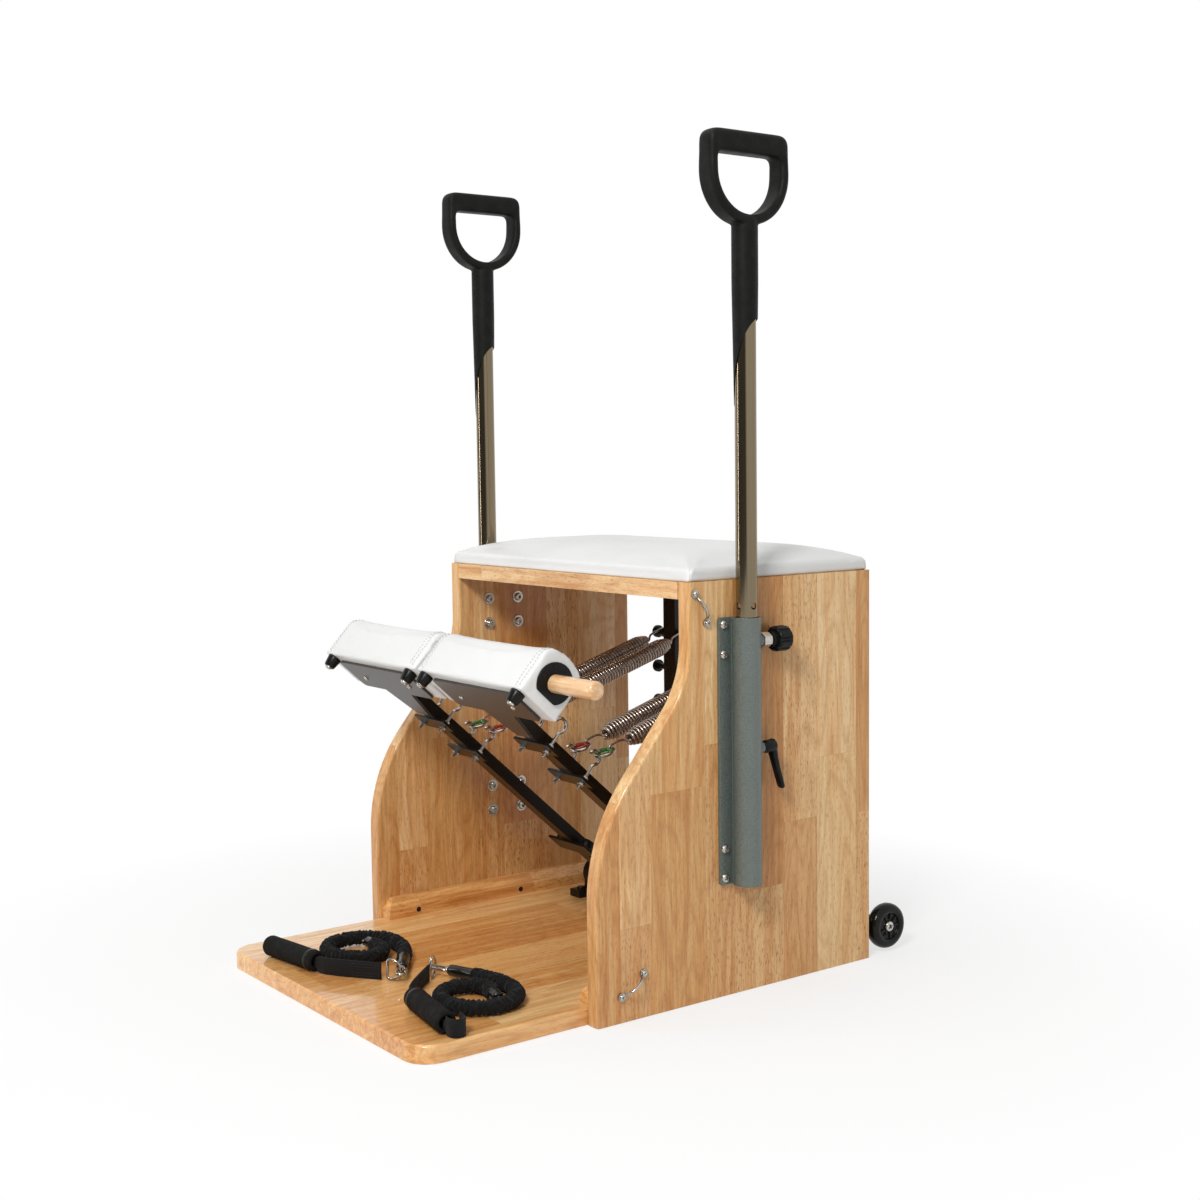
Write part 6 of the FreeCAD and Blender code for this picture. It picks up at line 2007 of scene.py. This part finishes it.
@dataclass
class SpringGear:
    """One tension spring with its hooked ends and the coloured ring that it pulls on."""

    side: Side
    outer: bool
    pedal_x: float = 0.137
    spread: float = 0.029
    seat: tuple[float, float] = (-0.0222, 0.3332)
    peg: tuple[float, float] = (0.3725, 0.457)
    wire: float = 0.0018
    coil_wire: float = 0.0024
    radius: float = 0.0120
    end_radius: float = 0.0060
    turns: float = 56.0
    taper: float = 3.5
    lower: float = 0.0640
    upper: float = 0.0403
    ring_reach: float = 0.0187
    ring_radius: float = 0.01375
    ring_wire: float = 0.00225
    ring_play: float = 0.0010
    peg_radius: float = 0.005
    peg_play: float = 0.0002
    hook_wrap: float = 255.0
    insert_wide: float = 0.0045
    insert_bulge: float = 0.0008
    insert_depth: float = 0.0019

    def __post_init__(self) -> None:
        """Work out the spring's line."""
        place = "outer" if self.outer else "inner"
        self.name = f"{self.side.label}_{place}"
        x = self.side.value * (self.pedal_x + (self.spread if self.outer else -self.spread))
        self.low = Vector((x, *self.seat))
        self.high = Vector((x, *self.peg))
        self.along = (self.high - self.low).normalized()

    def hook(self, foot: Vector, centre: Vector, radius: float) -> list[Vector]:
        """Route of a hook from the end of the coil round a cross bar.

        Args:
            foot: axis of the spring at the coil's end.
            centre: axis of the bar.
            radius: radius of the hook's bend.

        Returns:
            Points of the wire.
        """
        ahead = (centre - foot).normalized()
        rise = RIGHT.cross(self.along)
        reach = (centre - foot).length
        points = [foot + RIGHT * self.end_radius, foot + RIGHT * self.end_radius * 0.8 + ahead * 0.003,
                  foot + RIGHT * self.end_radius * 0.25 + rise * radius * 0.55 + ahead * 0.007,
                  foot + rise * radius + ahead * min(0.013, reach * 0.6)]
        for step in range(13):
            turn = math.radians(self.hook_wrap * step / 12)
            points.append(centre + rise * (radius * math.cos(turn)) + ahead * (radius * math.sin(turn)))
        return points

    def build(self, coil: Coil) -> None:
        """Make the spring and its ring insert.

        Args:
            coil: tree that winds springs.
        """
        foot, top = self.low + self.along * self.lower, self.high - self.along * self.upper
        sizes = (self.turns, self.radius, self.end_radius, self.taper, self.coil_wire, (top - foot).length)
        wound = coil.wind("spring_" + self.name, dict(zip(Coil.SIZES, sizes)), Finish.NICKEL)
        wound.transform(aimed(foot, self.along, RIGHT))
        ring = self.low + self.along * self.ring_reach
        far_side = ring + self.along * self.ring_radius
        lower = Route("hook", self.hook(foot, far_side, self.ring_wire + self.wire + self.ring_play))
        upper = Route("hook", self.hook(top, self.high, self.peg_radius + self.wire + self.peg_play))
        hooks = Shell().tube(lower.points, self.wire, 10).tube(upper.points, self.wire, 10).mesh("hooks", 60.0)
        name = "wound_spring_" + self.name
        piece = shown(name, welded(name, wound, hooks, crease=65.0), Finish.NICKEL)
        tuple(top)
        tuple(foot)
        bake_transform(piece)
        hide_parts("spring_" + self.name, "spring_eye_" + self.name)
        LOG.info("%s reaches over its stretch, %d faces", name, len(piece.data.polygons))
        self.insert(ring)

    def insert(self, ring: Vector) -> None:
        """Coloured plastic ring inside the metal one.

        Args:
            ring: middle of the metal ring.
        """
        normal = RIGHT.cross(self.along)
        outside, depth = self.ring_radius - self.ring_wire * 0.6, self.insert_depth
        inside = outside - self.insert_wide
        profile = [(inside, -depth), (outside, -depth * 1.25), (outside, depth * 1.25), (inside, depth),
                   (inside - self.insert_bulge, 0.0)]
        mesh = Shell().lathe(profile, aimed(ring, normal, RIGHT), 40, True).mesh("ring_insert", 40.0)
        colour, finish = ("green", Finish.GREEN) if self.outer else ("red", Finish.RED)
        name = f"ring_insert_{colour}_{self.side.label}"
        settle(name, mesh, finish, "pedal_" + self.side.label, "ring_" + colour)


# Handles


@dataclass
class HandleGear:
    """Clamp lever and lock nut of one handle."""

    side: Side
    boss_face: float = 0.149
    pin_z: float = 0.500
    lever_z: float = 0.350
    stud_end: float = 0.0236

    HUB = ((0.0, 0.2), (7.2, 0.2), (7.6, 0.8), (7.6, 5.2), (8.4, 6.0), (9.0, 7.2), (9.0, 22.0), (8.4, 23.4),
           (7.0, 24.0), (0.0, 24.0))
    LEVER = ((166.0, 359.0, 3.4, 3.0), (167.0, 358.0, 5.6, 4.8), (168.3, 352.0, 7.6, 5.4), (169.6, 345.0, 7.4, 5.2),
             (172.4, 333.0, 6.4, 4.6), (177.2, 317.0, 5.8, 4.1), (182.6, 301.0, 6.0, 3.8), (185.6, 292.0, 6.1, 3.5),
             (186.8, 289.0, 5.4, 3.0), (187.4, 288.0, 3.6, 2.0))

    def build(self, repeats: Repeats) -> None:
        """Make the lever, its hub screw and the lock nut.

        Args:
            repeats: tree that sets small parts on their places.
        """
        label, x = self.side.label, self.side.value * POLE[0]
        hub = aimed(Vector((x, self.boss_face, self.lever_z)), REARWARD, RIGHT)
        lever = Shell().lathe(mm(self.HUB), hub, 36)
        lever.loft([self.section(x, *station) for station in self.LEVER])
        name = "clamp_handle_" + label
        settle(name, lever.mesh(name, 50.0), Finish.PLASTIC, "clamp_" + label, "black_plastic",
               "clamp_lever_" + label)
        stud = aimed(Vector((x, self.boss_face + self.stud_end, self.lever_z)), REARWARD, RIGHT)
        repeats.settle("clamp_screw_" + label, ScrewHead(0.0048, 0.0022, Drive.HEX).mesh(), [stud],
                       Finish.BLACK_STEEL, "clamp_" + label, "black_plastic")
        nut = aimed(Vector((x, self.boss_face, self.pin_z)), REARWARD, UP)
        repeats.settle("lock_nut_" + label, HexNut(0.019, 0.0138, 0.0045).mesh(), [nut], Finish.ZINC, "frame",
                       "zinc", crease=25.0)

    @staticmethod
    def section(x: float, y: float, z: float, half_wide: float, half_thick: float) -> list[Vector]:
        """Rounded section of the lever, in millimetres beside the handle's middle plane.

        Args:
            x: the handle's middle plane, in metres.
            y: place to the rear.
            z: height.
            half_wide: half its width.
            half_thick: half its thickness.

        Returns:
            Its points, in metres.
        """
        points = []
        for turn in angles(20):
            c, s = math.cos(turn), math.sin(turn)
            wide = math.copysign(abs(c) ** 0.6, c) * half_wide
            thick = math.copysign(abs(s) ** 0.6, s) * half_thick
            points.append(Vector((x + wide / 1000, (y + thick * 0.95) / 1000, (z + thick * 0.31) / 1000)))
        return points


@dataclass
class MouldedGrip:
    """D-shaped grip of one handle, a moulding with a round bar and a slanting tongue down its pole."""

    side: Side
    voxel: float = 0.0014
    cut: float = 1.036
    rounding: int = 130
    weights: tuple[tuple[float, float], ...] = ((1.078, 0.0), (1.105, 0.25), (1.140, 0.45), (1.158, 1.0))
    collar: float = 1.066
    notch: float = 0.940
    tip: float = 0.820
    full: float = 0.985
    slant: float = 2.2
    rows: int = 24
    notch_turn: float = 41.0
    neck_radius: float = 0.0182
    lip_radius: float = 0.0156
    inside: float = 0.01512

    def build(self, nodes: dict[str, bpy.types.Object]) -> None:
        """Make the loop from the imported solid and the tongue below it.

        Args:
            nodes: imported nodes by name.
        """
        label = self.side.label
        node, name = "handle_grip_" + label, "moulded_grip_" + label
        even = voxelled(name + "_start", self.topped(node_copy(nodes[node])), self.voxel)
        piece = shown(name + "_even", even)
        loop = piece.vertex_groups.new(name="loop")
        for vertex in even.vertices:
            loop.add([vertex.index], self.weight(vertex.co.z), "REPLACE")
        rounded = piece.modifiers.new("rounded", "SMOOTH")
        rounded.factor, rounded.iterations, rounded.vertex_group = 0.5, self.rounding, "loop"
        evened = piece.modifiers.new("evened", "SMOOTH")
        evened.factor, evened.iterations = 0.5, 3
        mesh = smooth(evaluated(piece), 80.0)
        dropped(piece)
        settle(name, mesh, Finish.GRIP_PLASTIC, "handle_" + label, "black_plastic", node)
        name = "grip_tongue_" + label
        settle(name, self.tongue(name), Finish.GRIP_PLASTIC, "handle_" + label, "black_plastic")

    def topped(self, mesh: bpy.types.Mesh) -> bpy.types.Mesh:
        """Part of a closed mesh above the cut, closed again.

        Args:
            mesh: the mesh, changed in place.

        Returns:
            The same mesh.
        """
        with edited(mesh) as work:
            every = [*work.verts, *work.edges, *work.faces]
            bmesh.ops.bisect_plane(work, geom=every, plane_co=(0.0, 0.0, self.cut), plane_no=UP, clear_inner=True)
            bmesh.ops.holes_fill(work, edges=[edge for edge in work.edges if edge.is_boundary])
        return mesh

    def weight(self, z: float) -> float:
        """Share of the rounding at a height.

        Args:
            z: the height.

        Returns:
            The share, 0 to 1.
        """
        for (low, first), (high, last) in zip(self.weights, self.weights[1:]):
            if z < high:
                return first + (last - first) * max(0.0, z - low) / (high - low)
        return self.weights[-1][1]

    def tongue(self, name: str) -> bpy.types.Mesh:
        """Sleeve from the loop down the pole, its lower edge cut on a slant.

        Args:
            name: name of the mesh.

        Returns:
            Its mesh.
        """
        x, y = self.side.value * POLE[0], POLE[1]
        outer, inner = [], []
        for row in range(self.rows + 1):
            rings = ([], [])
            for turn in angles(64):
                off = abs((turn - math.radians(self.notch_turn) + math.pi) % (2 * math.pi) - math.pi) / math.pi
                low = self.notch - (self.notch - self.tip) * off ** self.slant
                z = self.collar + (low - self.collar) * row / self.rows
                share = min(1.0, max(0.0, (z - self.tip) / (self.full - self.tip)))
                wide = self.lip_radius + (self.neck_radius - self.lip_radius) * share
                for ring, radius in zip(rings, (wide, self.inside)):
                    ring.append(Vector((x + radius * math.cos(turn), y + radius * math.sin(turn), z)))
            outer.append(rings[0])
            inner.append(rings[1])
        return Shell().loft(outer + inner[::-1], closed=True).mesh(name, 45.0)


# Bands


@dataclass
class Band:
    """One exercise band on the base: ruched tube, caps, hook, D-ring, webbing and foam grip."""

    side: Side
    coil: tuple[float, float]
    start: float
    turning: int
    strap_turn: float
    strap_run: float
    grip_turn: float
    floor: float = 0.0243
    tube: float = 0.012
    coil_radius: float = 0.053
    widening: float = 0.022
    lead_turn: float = 60.0
    round_turn: float = 280.0
    end_turn: float = 380.0
    closing: float = 0.024
    cap_radius: float = 0.0085
    cap_length: float = 0.045
    inner_cap: float = 0.018
    hook_length: float = 0.026
    hook_half: float = 0.0065
    hook_wire: float = 0.0020
    ring_radius: float = 0.016
    ring_wire: float = 0.0020
    strap_height: float = 0.025
    strap_thickness: float = 0.0026
    strap_lead: float = 0.024
    foam_radius: float = 0.0155
    foam_bore: float = 0.009
    foam_length: float = 0.120
    ruche_pace: float = 0.0011
    ruche_pitch: float = 0.0078
    ruche_core: float = 0.0086
    ruche_fold: float = 0.0028
    ruche_lump: float = 0.0010
    ruche_fine: float = 0.0005
    ruche_limit: float = 0.0119
    eye_reach: float = 0.0072
    eye_radius: float = 0.0045
    eye_wire: float = 0.0014
    ring_open: float = 118.0
    stub_lead: float = 0.008
    stub_bend: float = 0.011
    selvedge: float = 0.0009
    stitch_pitch: float = 0.0034
    stitch_rows: tuple[float, ...] = (-0.0085, -0.0045, 0.0045, 0.0085)

    BARREL = ((0.0, 0.0), (3.6, 0.0), (4.4, 0.8), (4.4, 4.6), (3.2, 5.6), (2.6, 7.2), (0.0, 7.2))
    GATE = ((0.0, 0.0), (2.7, 0.0), (2.7, 9.0), (0.0, 9.0))
    STEM = ((0.0, -0.6), (3.0, -0.6), (3.4, 0.4), (3.0, 3.2), (0.0, 3.2))

    def __post_init__(self) -> None:
        """Work out the band's layout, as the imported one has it."""
        self.centre = Vector((*self.coil, self.floor + self.tube))
        self.strap = self.turned(self.strap_turn)
        self.grip = self.turned(self.grip_turn)
        entry, self.lead = self.station(0.0)
        self.tube_end = entry - self.lead * (2 * self.tube)
        self.hook_eye = self.tube_end - self.lead * (self.cap_length + self.hook_length)
        middle = self.ring_radius - self.ring_wire
        rise = self.ring_radius - self.tube
        self.ring = self.hook_eye - self.strap * math.sqrt(middle ** 2 - rise ** 2) + UP * rise
        level = self.floor + self.strap_height / 2
        end = self.ring - self.strap * (self.ring_radius + 0.0003)
        self.strap_end = Vector((end.x, end.y, level))
        self.corner = self.strap_end - self.strap * self.strap_run
        self.grip_end = self.corner - self.grip * self.strap_lead

    @staticmethod
    def turned(degrees: float) -> Vector:
        """Level direction at an angle from +X."""
        return Vector((math.cos(math.radians(degrees)), math.sin(math.radians(degrees)), 0.0))

    def station(self, degrees: float) -> tuple[Vector, Vector]:
        """Point and heading of the tube's axis, a turn angle after its start.

        Args:
            degrees: the turn angle.

        Returns:
            The point and the heading.
        """
        radius, growth = self.coil_radius, 0.0
        if degrees < self.lead_turn:
            left = 1.0 - degrees / self.lead_turn
            radius += self.widening * left * left
            growth = -2 * self.widening * left / math.radians(self.lead_turn)
        if degrees > self.round_turn:
            span = self.end_turn - self.round_turn
            done = (degrees - self.round_turn) / span
            radius -= self.closing * done * done
            growth = -2 * self.closing * done / math.radians(span)
        out = self.turned(self.start + self.turning * degrees)
        around = Vector((-out.y, out.x, 0.0)) * self.turning
        return self.centre + out * radius, (around * radius + out * growth).normalized()

    def build(self, repeats: Repeats) -> None:
        """Make the band's pieces.

        Args:
            repeats: tree that sets small parts on their places.
        """
        label = self.side.label
        caps = self.caps()
        hooks = self.hooks()
        steps = 17
        turns = [self.end_turn * step / steps for step in range(steps + 1)]
        run = [self.station(turn) for turn in turns]
        end, heading = run[-1]
        points = [self.tube_end, *[spot for spot, _ in run], end + heading * (2 * self.tube)]
        route = Route("band_route", points)
        tube = settle("band_tube_" + label, self.ruched(route), Finish.BAND_CLOTH, "frame", "band_fabric",
                      "band_tubes")
        tuple(self.tube_end)
        route.length()
        [tuple(p) for p in route.points]
        LOG.info("band tube %s: %.3f m", label, route.length())
        grip = self.foam()
        collar = self.collar()
        far = self.grip_end - self.grip * self.foam_length
        strap_route = Route("strap_route", [self.strap_end, self.corner, self.grip_end, far])
        strap = settle("band_strap_" + label, self.webbing(strap_route), Finish.WEBBING, "frame", "webbing",
                       "band_straps")
        pieces = [grip, collar, self.sewing(strap_route, repeats)]
        if self.side is Side.RIGHT:
            pieces.append(self.stub())
        tuple(self.strap_end)
        strap_route.length()
        [tuple(p) for p in strap_route.points]
        LOG.info("band strap %s: %.3f m", label, strap_route.length())

    def ruched(self, route: Route) -> bpy.types.Mesh:
        """Elastic tube whose cloth sleeve is gathered into small uneven folds.

        Args:
            route: the tube's axis.

        Returns:
            Its mesh.
        """
        path = route.paced(self.ruche_pace)
        rings, lengths = [], []
        for number, frame in enumerate(frames(path)):
            gone = route.length() * number / (len(path) - 1)
            ring = []
            for out in circle(1.0, 0.0, 36):
                wander = noise.noise(Vector((out.x * 1.1, out.y * 1.1, gone * 75.0)))
                phase = gone / self.ruche_pitch + 1.15 * wander + 0.30 * math.sin(gone * 90.0)
                fold = 1.0 - abs(math.cos(math.pi * phase)) ** 1.6
                lump = noise.noise(Vector((out.x * 1.7, out.y * 1.7, gone * 130.0 + 7.0)))
                fine = noise.noise(Vector((out.x * 3.4, out.y * 3.4, gone * 520.0)))
                size = self.ruche_core + self.ruche_fold * fold + self.ruche_lump * lump + self.ruche_fine * fine
                ring.append(frame @ (out * min(size, self.ruche_limit)))
            rings.append(ring)
            lengths.append(gone)
        girth = 2 * math.pi * self.tube
        return Shell().loft(rings, False, lengths, girth).mesh("band_tube_" + self.side.label, 70.0)

    def caps(self) -> bpy.types.Object:
        """Smooth sleeves on both ends of the tube.

        Returns:
            The piece.
        """
        shell = Shell()
        end, heading = self.station(self.end_turn)
        for place, ahead, length in ((self.tube_end, -self.lead, self.cap_length),
                                     (end + heading * (2 * self.tube), heading, self.inner_cap)):
            r = self.cap_radius
            profile = [(0.0, -0.004), (r * 0.95, -0.004), (r * 1.12, -0.002), (r * 1.14, 0.001), (r * 1.02, 0.004),
                       (r * 0.98, length * 0.5), (r * 0.96, length - 0.004), (r * 0.86, length - 0.0012),
                       (r * 0.60, length), (0.0, length)]
            shell.lathe(profile, aimed(place, ahead), 32)
        name = "band_caps_" + self.side.label
        return settle(name, shell.mesh(name, 50.0), Finish.CAP_PLASTIC, "frame", "black_rubber", "band_caps")

    def hooks(self) -> bpy.types.Object:
        """Snap hook, D-ring and the small eye on the inner end.

        Returns:
            The piece.
        """
        shell = Shell()
        side = self.lead.cross(UP)
        far = self.hook_eye
        near = far + self.lead * (self.hook_length - self.hook_half - self.hook_wire)
        loop = []
        for middle, ahead in ((near, self.lead), (far, -self.lead)):
            across = side if ahead is self.lead else -side
            for step in range(9):
                turn = math.pi * step / 8
                loop.append(middle + (across * math.cos(turn) + ahead * math.sin(turn)) * self.hook_half)
        shell.tube(loop, self.hook_wire, 12, True)
        base = self.tube_end - self.lead * (self.cap_length - 0.0005)
        shell.lathe(mm(self.BARREL), aimed(base, -self.lead), 24)
        shell.lathe(mm(self.GATE), aimed(far + side * self.hook_half, self.lead), 20)
        middle = self.ring_radius - self.ring_wire
        bow = []
        for step in range(25):
            turn = math.radians(-self.ring_open + 2 * self.ring_open * step / 24)
            bow.append(self.ring + (self.strap * math.cos(turn) + UP * math.sin(turn)) * middle)
        shell.tube(bow, self.ring_wire, 12, True)
        end, heading = self.station(self.end_turn)
        tip = end + heading * (2 * self.tube + self.inner_cap)
        shell.lathe(mm(self.STEM), aimed(tip, heading), 20)
        eye, across = tip + heading * self.eye_reach, heading.cross(UP)
        loop = [eye + heading * spot.x + across * spot.y for spot in circle(self.eye_radius, 0.0, 20)]
        shell.tube(loop, self.eye_wire, 10, True)
        name = "band_hooks_" + self.side.label
        return settle(name, shell.mesh(name, 50.0), Finish.CHROME, "frame", "chrome", "band_hooks")

    def ribbon(self, path: Sequence[Vector], heights: Sequence[float]) -> Shell:
        """Webbing on edge along a path, with its selvedges rounded.

        Args:
            path: its middle line.
            heights: its height at each point of the line.

        Returns:
            The webbing under construction.
        """
        rings, lengths, gone = [], [], 0.0
        half = self.strap_thickness / 2
        for number, point in enumerate(path):
            before, after = path[max(0, number - 1)], path[min(len(path) - 1, number + 1)]
            gone += (point - before).length
            side = (after - before).normalized().cross(UP).normalized()
            tall = heights[number] / 2
            edge = tall - self.selvedge
            corners = ((half * 0.5, tall), (half, edge), (half * 0.92, 0.0), (half, -edge), (half * 0.5, -tall),
                       (-half * 0.5, -tall), (-half, -edge), (-half * 0.92, 0.0), (-half, edge),
                       (-half * 0.5, tall))
            rings.append([point + side * off + UP * up for off, up in corners])
            lengths.append(gone)
        return Shell().loft(rings, False, lengths, 2 * self.strap_height)

    def webbing(self, route: Route) -> bpy.types.Mesh:
        """Strap from the D-ring into the grip, narrowed where it runs inside the foam.

        Args:
            route: the strap's middle line.

        Returns:
            Its mesh.
        """
        path = route.paced(0.003)
        inside = self.foam_length / route.length()
        heights = []
        for number in range(len(path)):
            left = 1.0 - number / (len(path) - 1)
            squeeze = min(1.0, max(0.0, (left - inside * 0.94) / 0.05))
            heights.append(self.strap_height * (0.62 + 0.38 * squeeze) - 0.0004)
        return self.ribbon(path, heights).mesh("band_strap_" + self.side.label, 50.0)

    def sewing(self, route: Route, repeats: Repeats) -> bpy.types.Object:
        """Boxed stitching where the webbing is folded back beside the D-ring.

        Args:
            route: the strap's middle line.
            repeats: tree that sets small parts on their places.

        Returns:
            The piece.
        """
        path = route.paced(self.stitch_pitch)
        half, last, places = self.strap_thickness / 2, 13, []
        for near, far in zip(path[1:last], path[2:last + 1]):
            ahead = (far - near).normalized()
            side = ahead.cross(UP).normalized()
            for face in (-1, 1):
                for row in self.stitch_rows:
                    places.append(aimed((near + far) / 2 + side * (face * half) + UP * row, side * face, ahead))
        for number in (1, last):
            ahead = (path[number + 1] - path[number]).normalized()
            side = ahead.cross(UP).normalized()
            for face in (-1, 1):
                for step in range(-2, 3):
                    spot = path[number] + side * (face * half) + UP * (self.stitch_pitch * step)
                    places.append(aimed(spot, side * face, UP))
        return repeats.settle("band_sewing_" + self.side.label, stitch_mesh(0.0027, 0.0008), places,
                              Finish.BLACK_THREAD, "frame", "webbing", crease=60.0)

    def stub(self) -> bpy.types.Object:
        """Webbing folded back beside the far end of the grip.

        Returns:
            The piece.
        """
        away = -self.grip
        start = self.grip_end + away * (self.foam_length + 0.0006)
        side = UP.cross(away)
        if side.dot(self.centre - start) < 0:
            side = -side
        lead, bend = self.stub_lead, self.stub_bend
        fold = start + away * lead
        turns = [math.pi * step / 6 for step in range(7)]
        points = [start, start + away * (lead / 2)]
        points += [fold + side * bend + (away * math.sin(turn) - side * math.cos(turn)) * bend for turn in turns]
        points += [fold + side * 2 * bend - away * lead, fold + side * 2 * bend - away * (2 * lead)]
        path = Route("stub_route", points).paced(0.002)
        mesh = self.ribbon(path, [self.strap_height - 0.0004] * len(path)).mesh("band_strap_fold", 50.0)
        return settle("band_strap_fold", mesh, Finish.WEBBING, "frame", "webbing")

    def foam_place(self) -> Matrix:
        """Where the foam grip starts, along its axis."""
        start = self.grip_end - self.grip * 0.0003
        return aimed(Vector((start.x, start.y, self.floor + self.foam_radius)), -self.grip)

    def foam(self) -> bpy.types.Object:
        """Foam tube of the grip, a little uneven.

        Returns:
            The piece.
        """
        r, bore, long = self.foam_radius - 0.0003, self.foam_bore, self.foam_length
        outline = [(bore, 0.0015), (bore + 0.0008, 0.0003), (r - 0.0032, 0.0), (r - 0.0012, 0.0008),
                   (r - 0.0002, 0.0030)]
        steps = 30
        body = [(r, 0.004 + (long - 0.008) * step / steps) for step in range(steps + 1)]
        profile = outline + body + [(radius, long - height) for radius, height in outline[::-1]]
        place = self.foam_place()
        shell = Shell().lathe(profile, place, 40, True)
        axis_start, ahead = place.translation, place.col[2].to_3d()
        for point in shell.points:
            off = point - axis_start
            radial = off - ahead * off.dot(ahead)
            if radial.length > bore + 0.003:
                point -= radial.normalized() * (0.00025 + 0.00025 * noise.noise(point * 95.0))
        name = "band_foam_" + self.side.label
        piece = settle(name, shell.mesh(name, 45.0), Finish.FOAM, "frame", "foam_grip", "band_grips")
        return piece

    def collar(self) -> bpy.types.Object:
        """Rubber ring on the grip near the strap.

        Returns:
            The piece.
        """
        r = self.foam_radius
        profile = [(r - 0.0022, 0.010), (r - 0.0003, 0.0104), (r, 0.0112), (r, 0.0158), (r - 0.0003, 0.0166),
                   (r - 0.0022, 0.017)]
        name = "band_collar_" + self.side.label
        mesh = Shell().lathe(profile, self.foam_place(), 40, True).mesh(name, 40.0)
        return settle(name, mesh, Finish.RUBBER, "frame", "black_rubber")


BANDS = (
    Band(Side.LEFT, (-0.118, -0.245), 27.0, 1, 37.0, 0.083, 8.0),
    Band(Side.RIGHT, (0.179, -0.230), 138.0, -1, 131.0, 0.094, 170.0),
)

NODE_FINISHES: dict[str, Finish] = {
    **BoxSeat.WOODS,
    "pivot_blocks": Finish.BLACK_STEEL,
    "wheel_brackets": Finish.BLACK_STEEL,
    "spring_posts": Finish.BLACK_STEEL,
    "pivot_axle": Finish.ZINC,
    "eye_straps": Finish.CHROME,
}
SIDE_FINISHES: dict[str, Finish] = {
    "pedal_arm": Finish.BLACK_STEEL,
    "pedal_plate": Finish.PLATE_STEEL,
    "spring_hooks": Finish.CHROME,
    "ring_green": Finish.CHROME,
    "ring_red": Finish.CHROME,
    "dowel_socket": Finish.PLASTIC,
    "sleeve": Finish.HAMMERED,
    "guide_bush": Finish.PLASTIC,
    "handle_pole": Finish.POLE_CHROME,
    "pull_knob": Finish.PLASTIC,
}


def dress(nodes: dict[str, bpy.types.Object]) -> None:
    """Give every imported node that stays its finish.

    Args:
        nodes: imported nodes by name.
    """
    wanted = dict(NODE_FINISHES)
    for side in Side:
        wanted.update({f"{name}_{side.label}": finish for name, finish in SIDE_FINISHES.items()})
    for name, finish in wanted.items():
        slots = nodes[name].data.materials
        slots.clear()
        slots.append(finish.material())
        LOG.info("%s is finished in %s", name, finish.value.name)


def main() -> None:
    """Build the chair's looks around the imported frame."""
    logging.basicConfig(level=logging.INFO, format="%(name)s: %(message)s")
    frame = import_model()
    nodes = frame["nodes"]
    Studio().build()
    repeats, coil = Repeats(), Coil()
    for band in BANDS:
        band.build(repeats)
    dress(nodes)
    SeatCushion().build(nodes)
    BoxSeat().build(repeats)
    Dowel().build()
    for side in Side:
        PedalGear(side).build(nodes, repeats)
        HandleGear(side).build(repeats)
        MouldedGrip(side).build(nodes)
        for outer in (True, False):
            SpringGear(side, outer).build(coil)


if __name__ == "__main__":
    main()
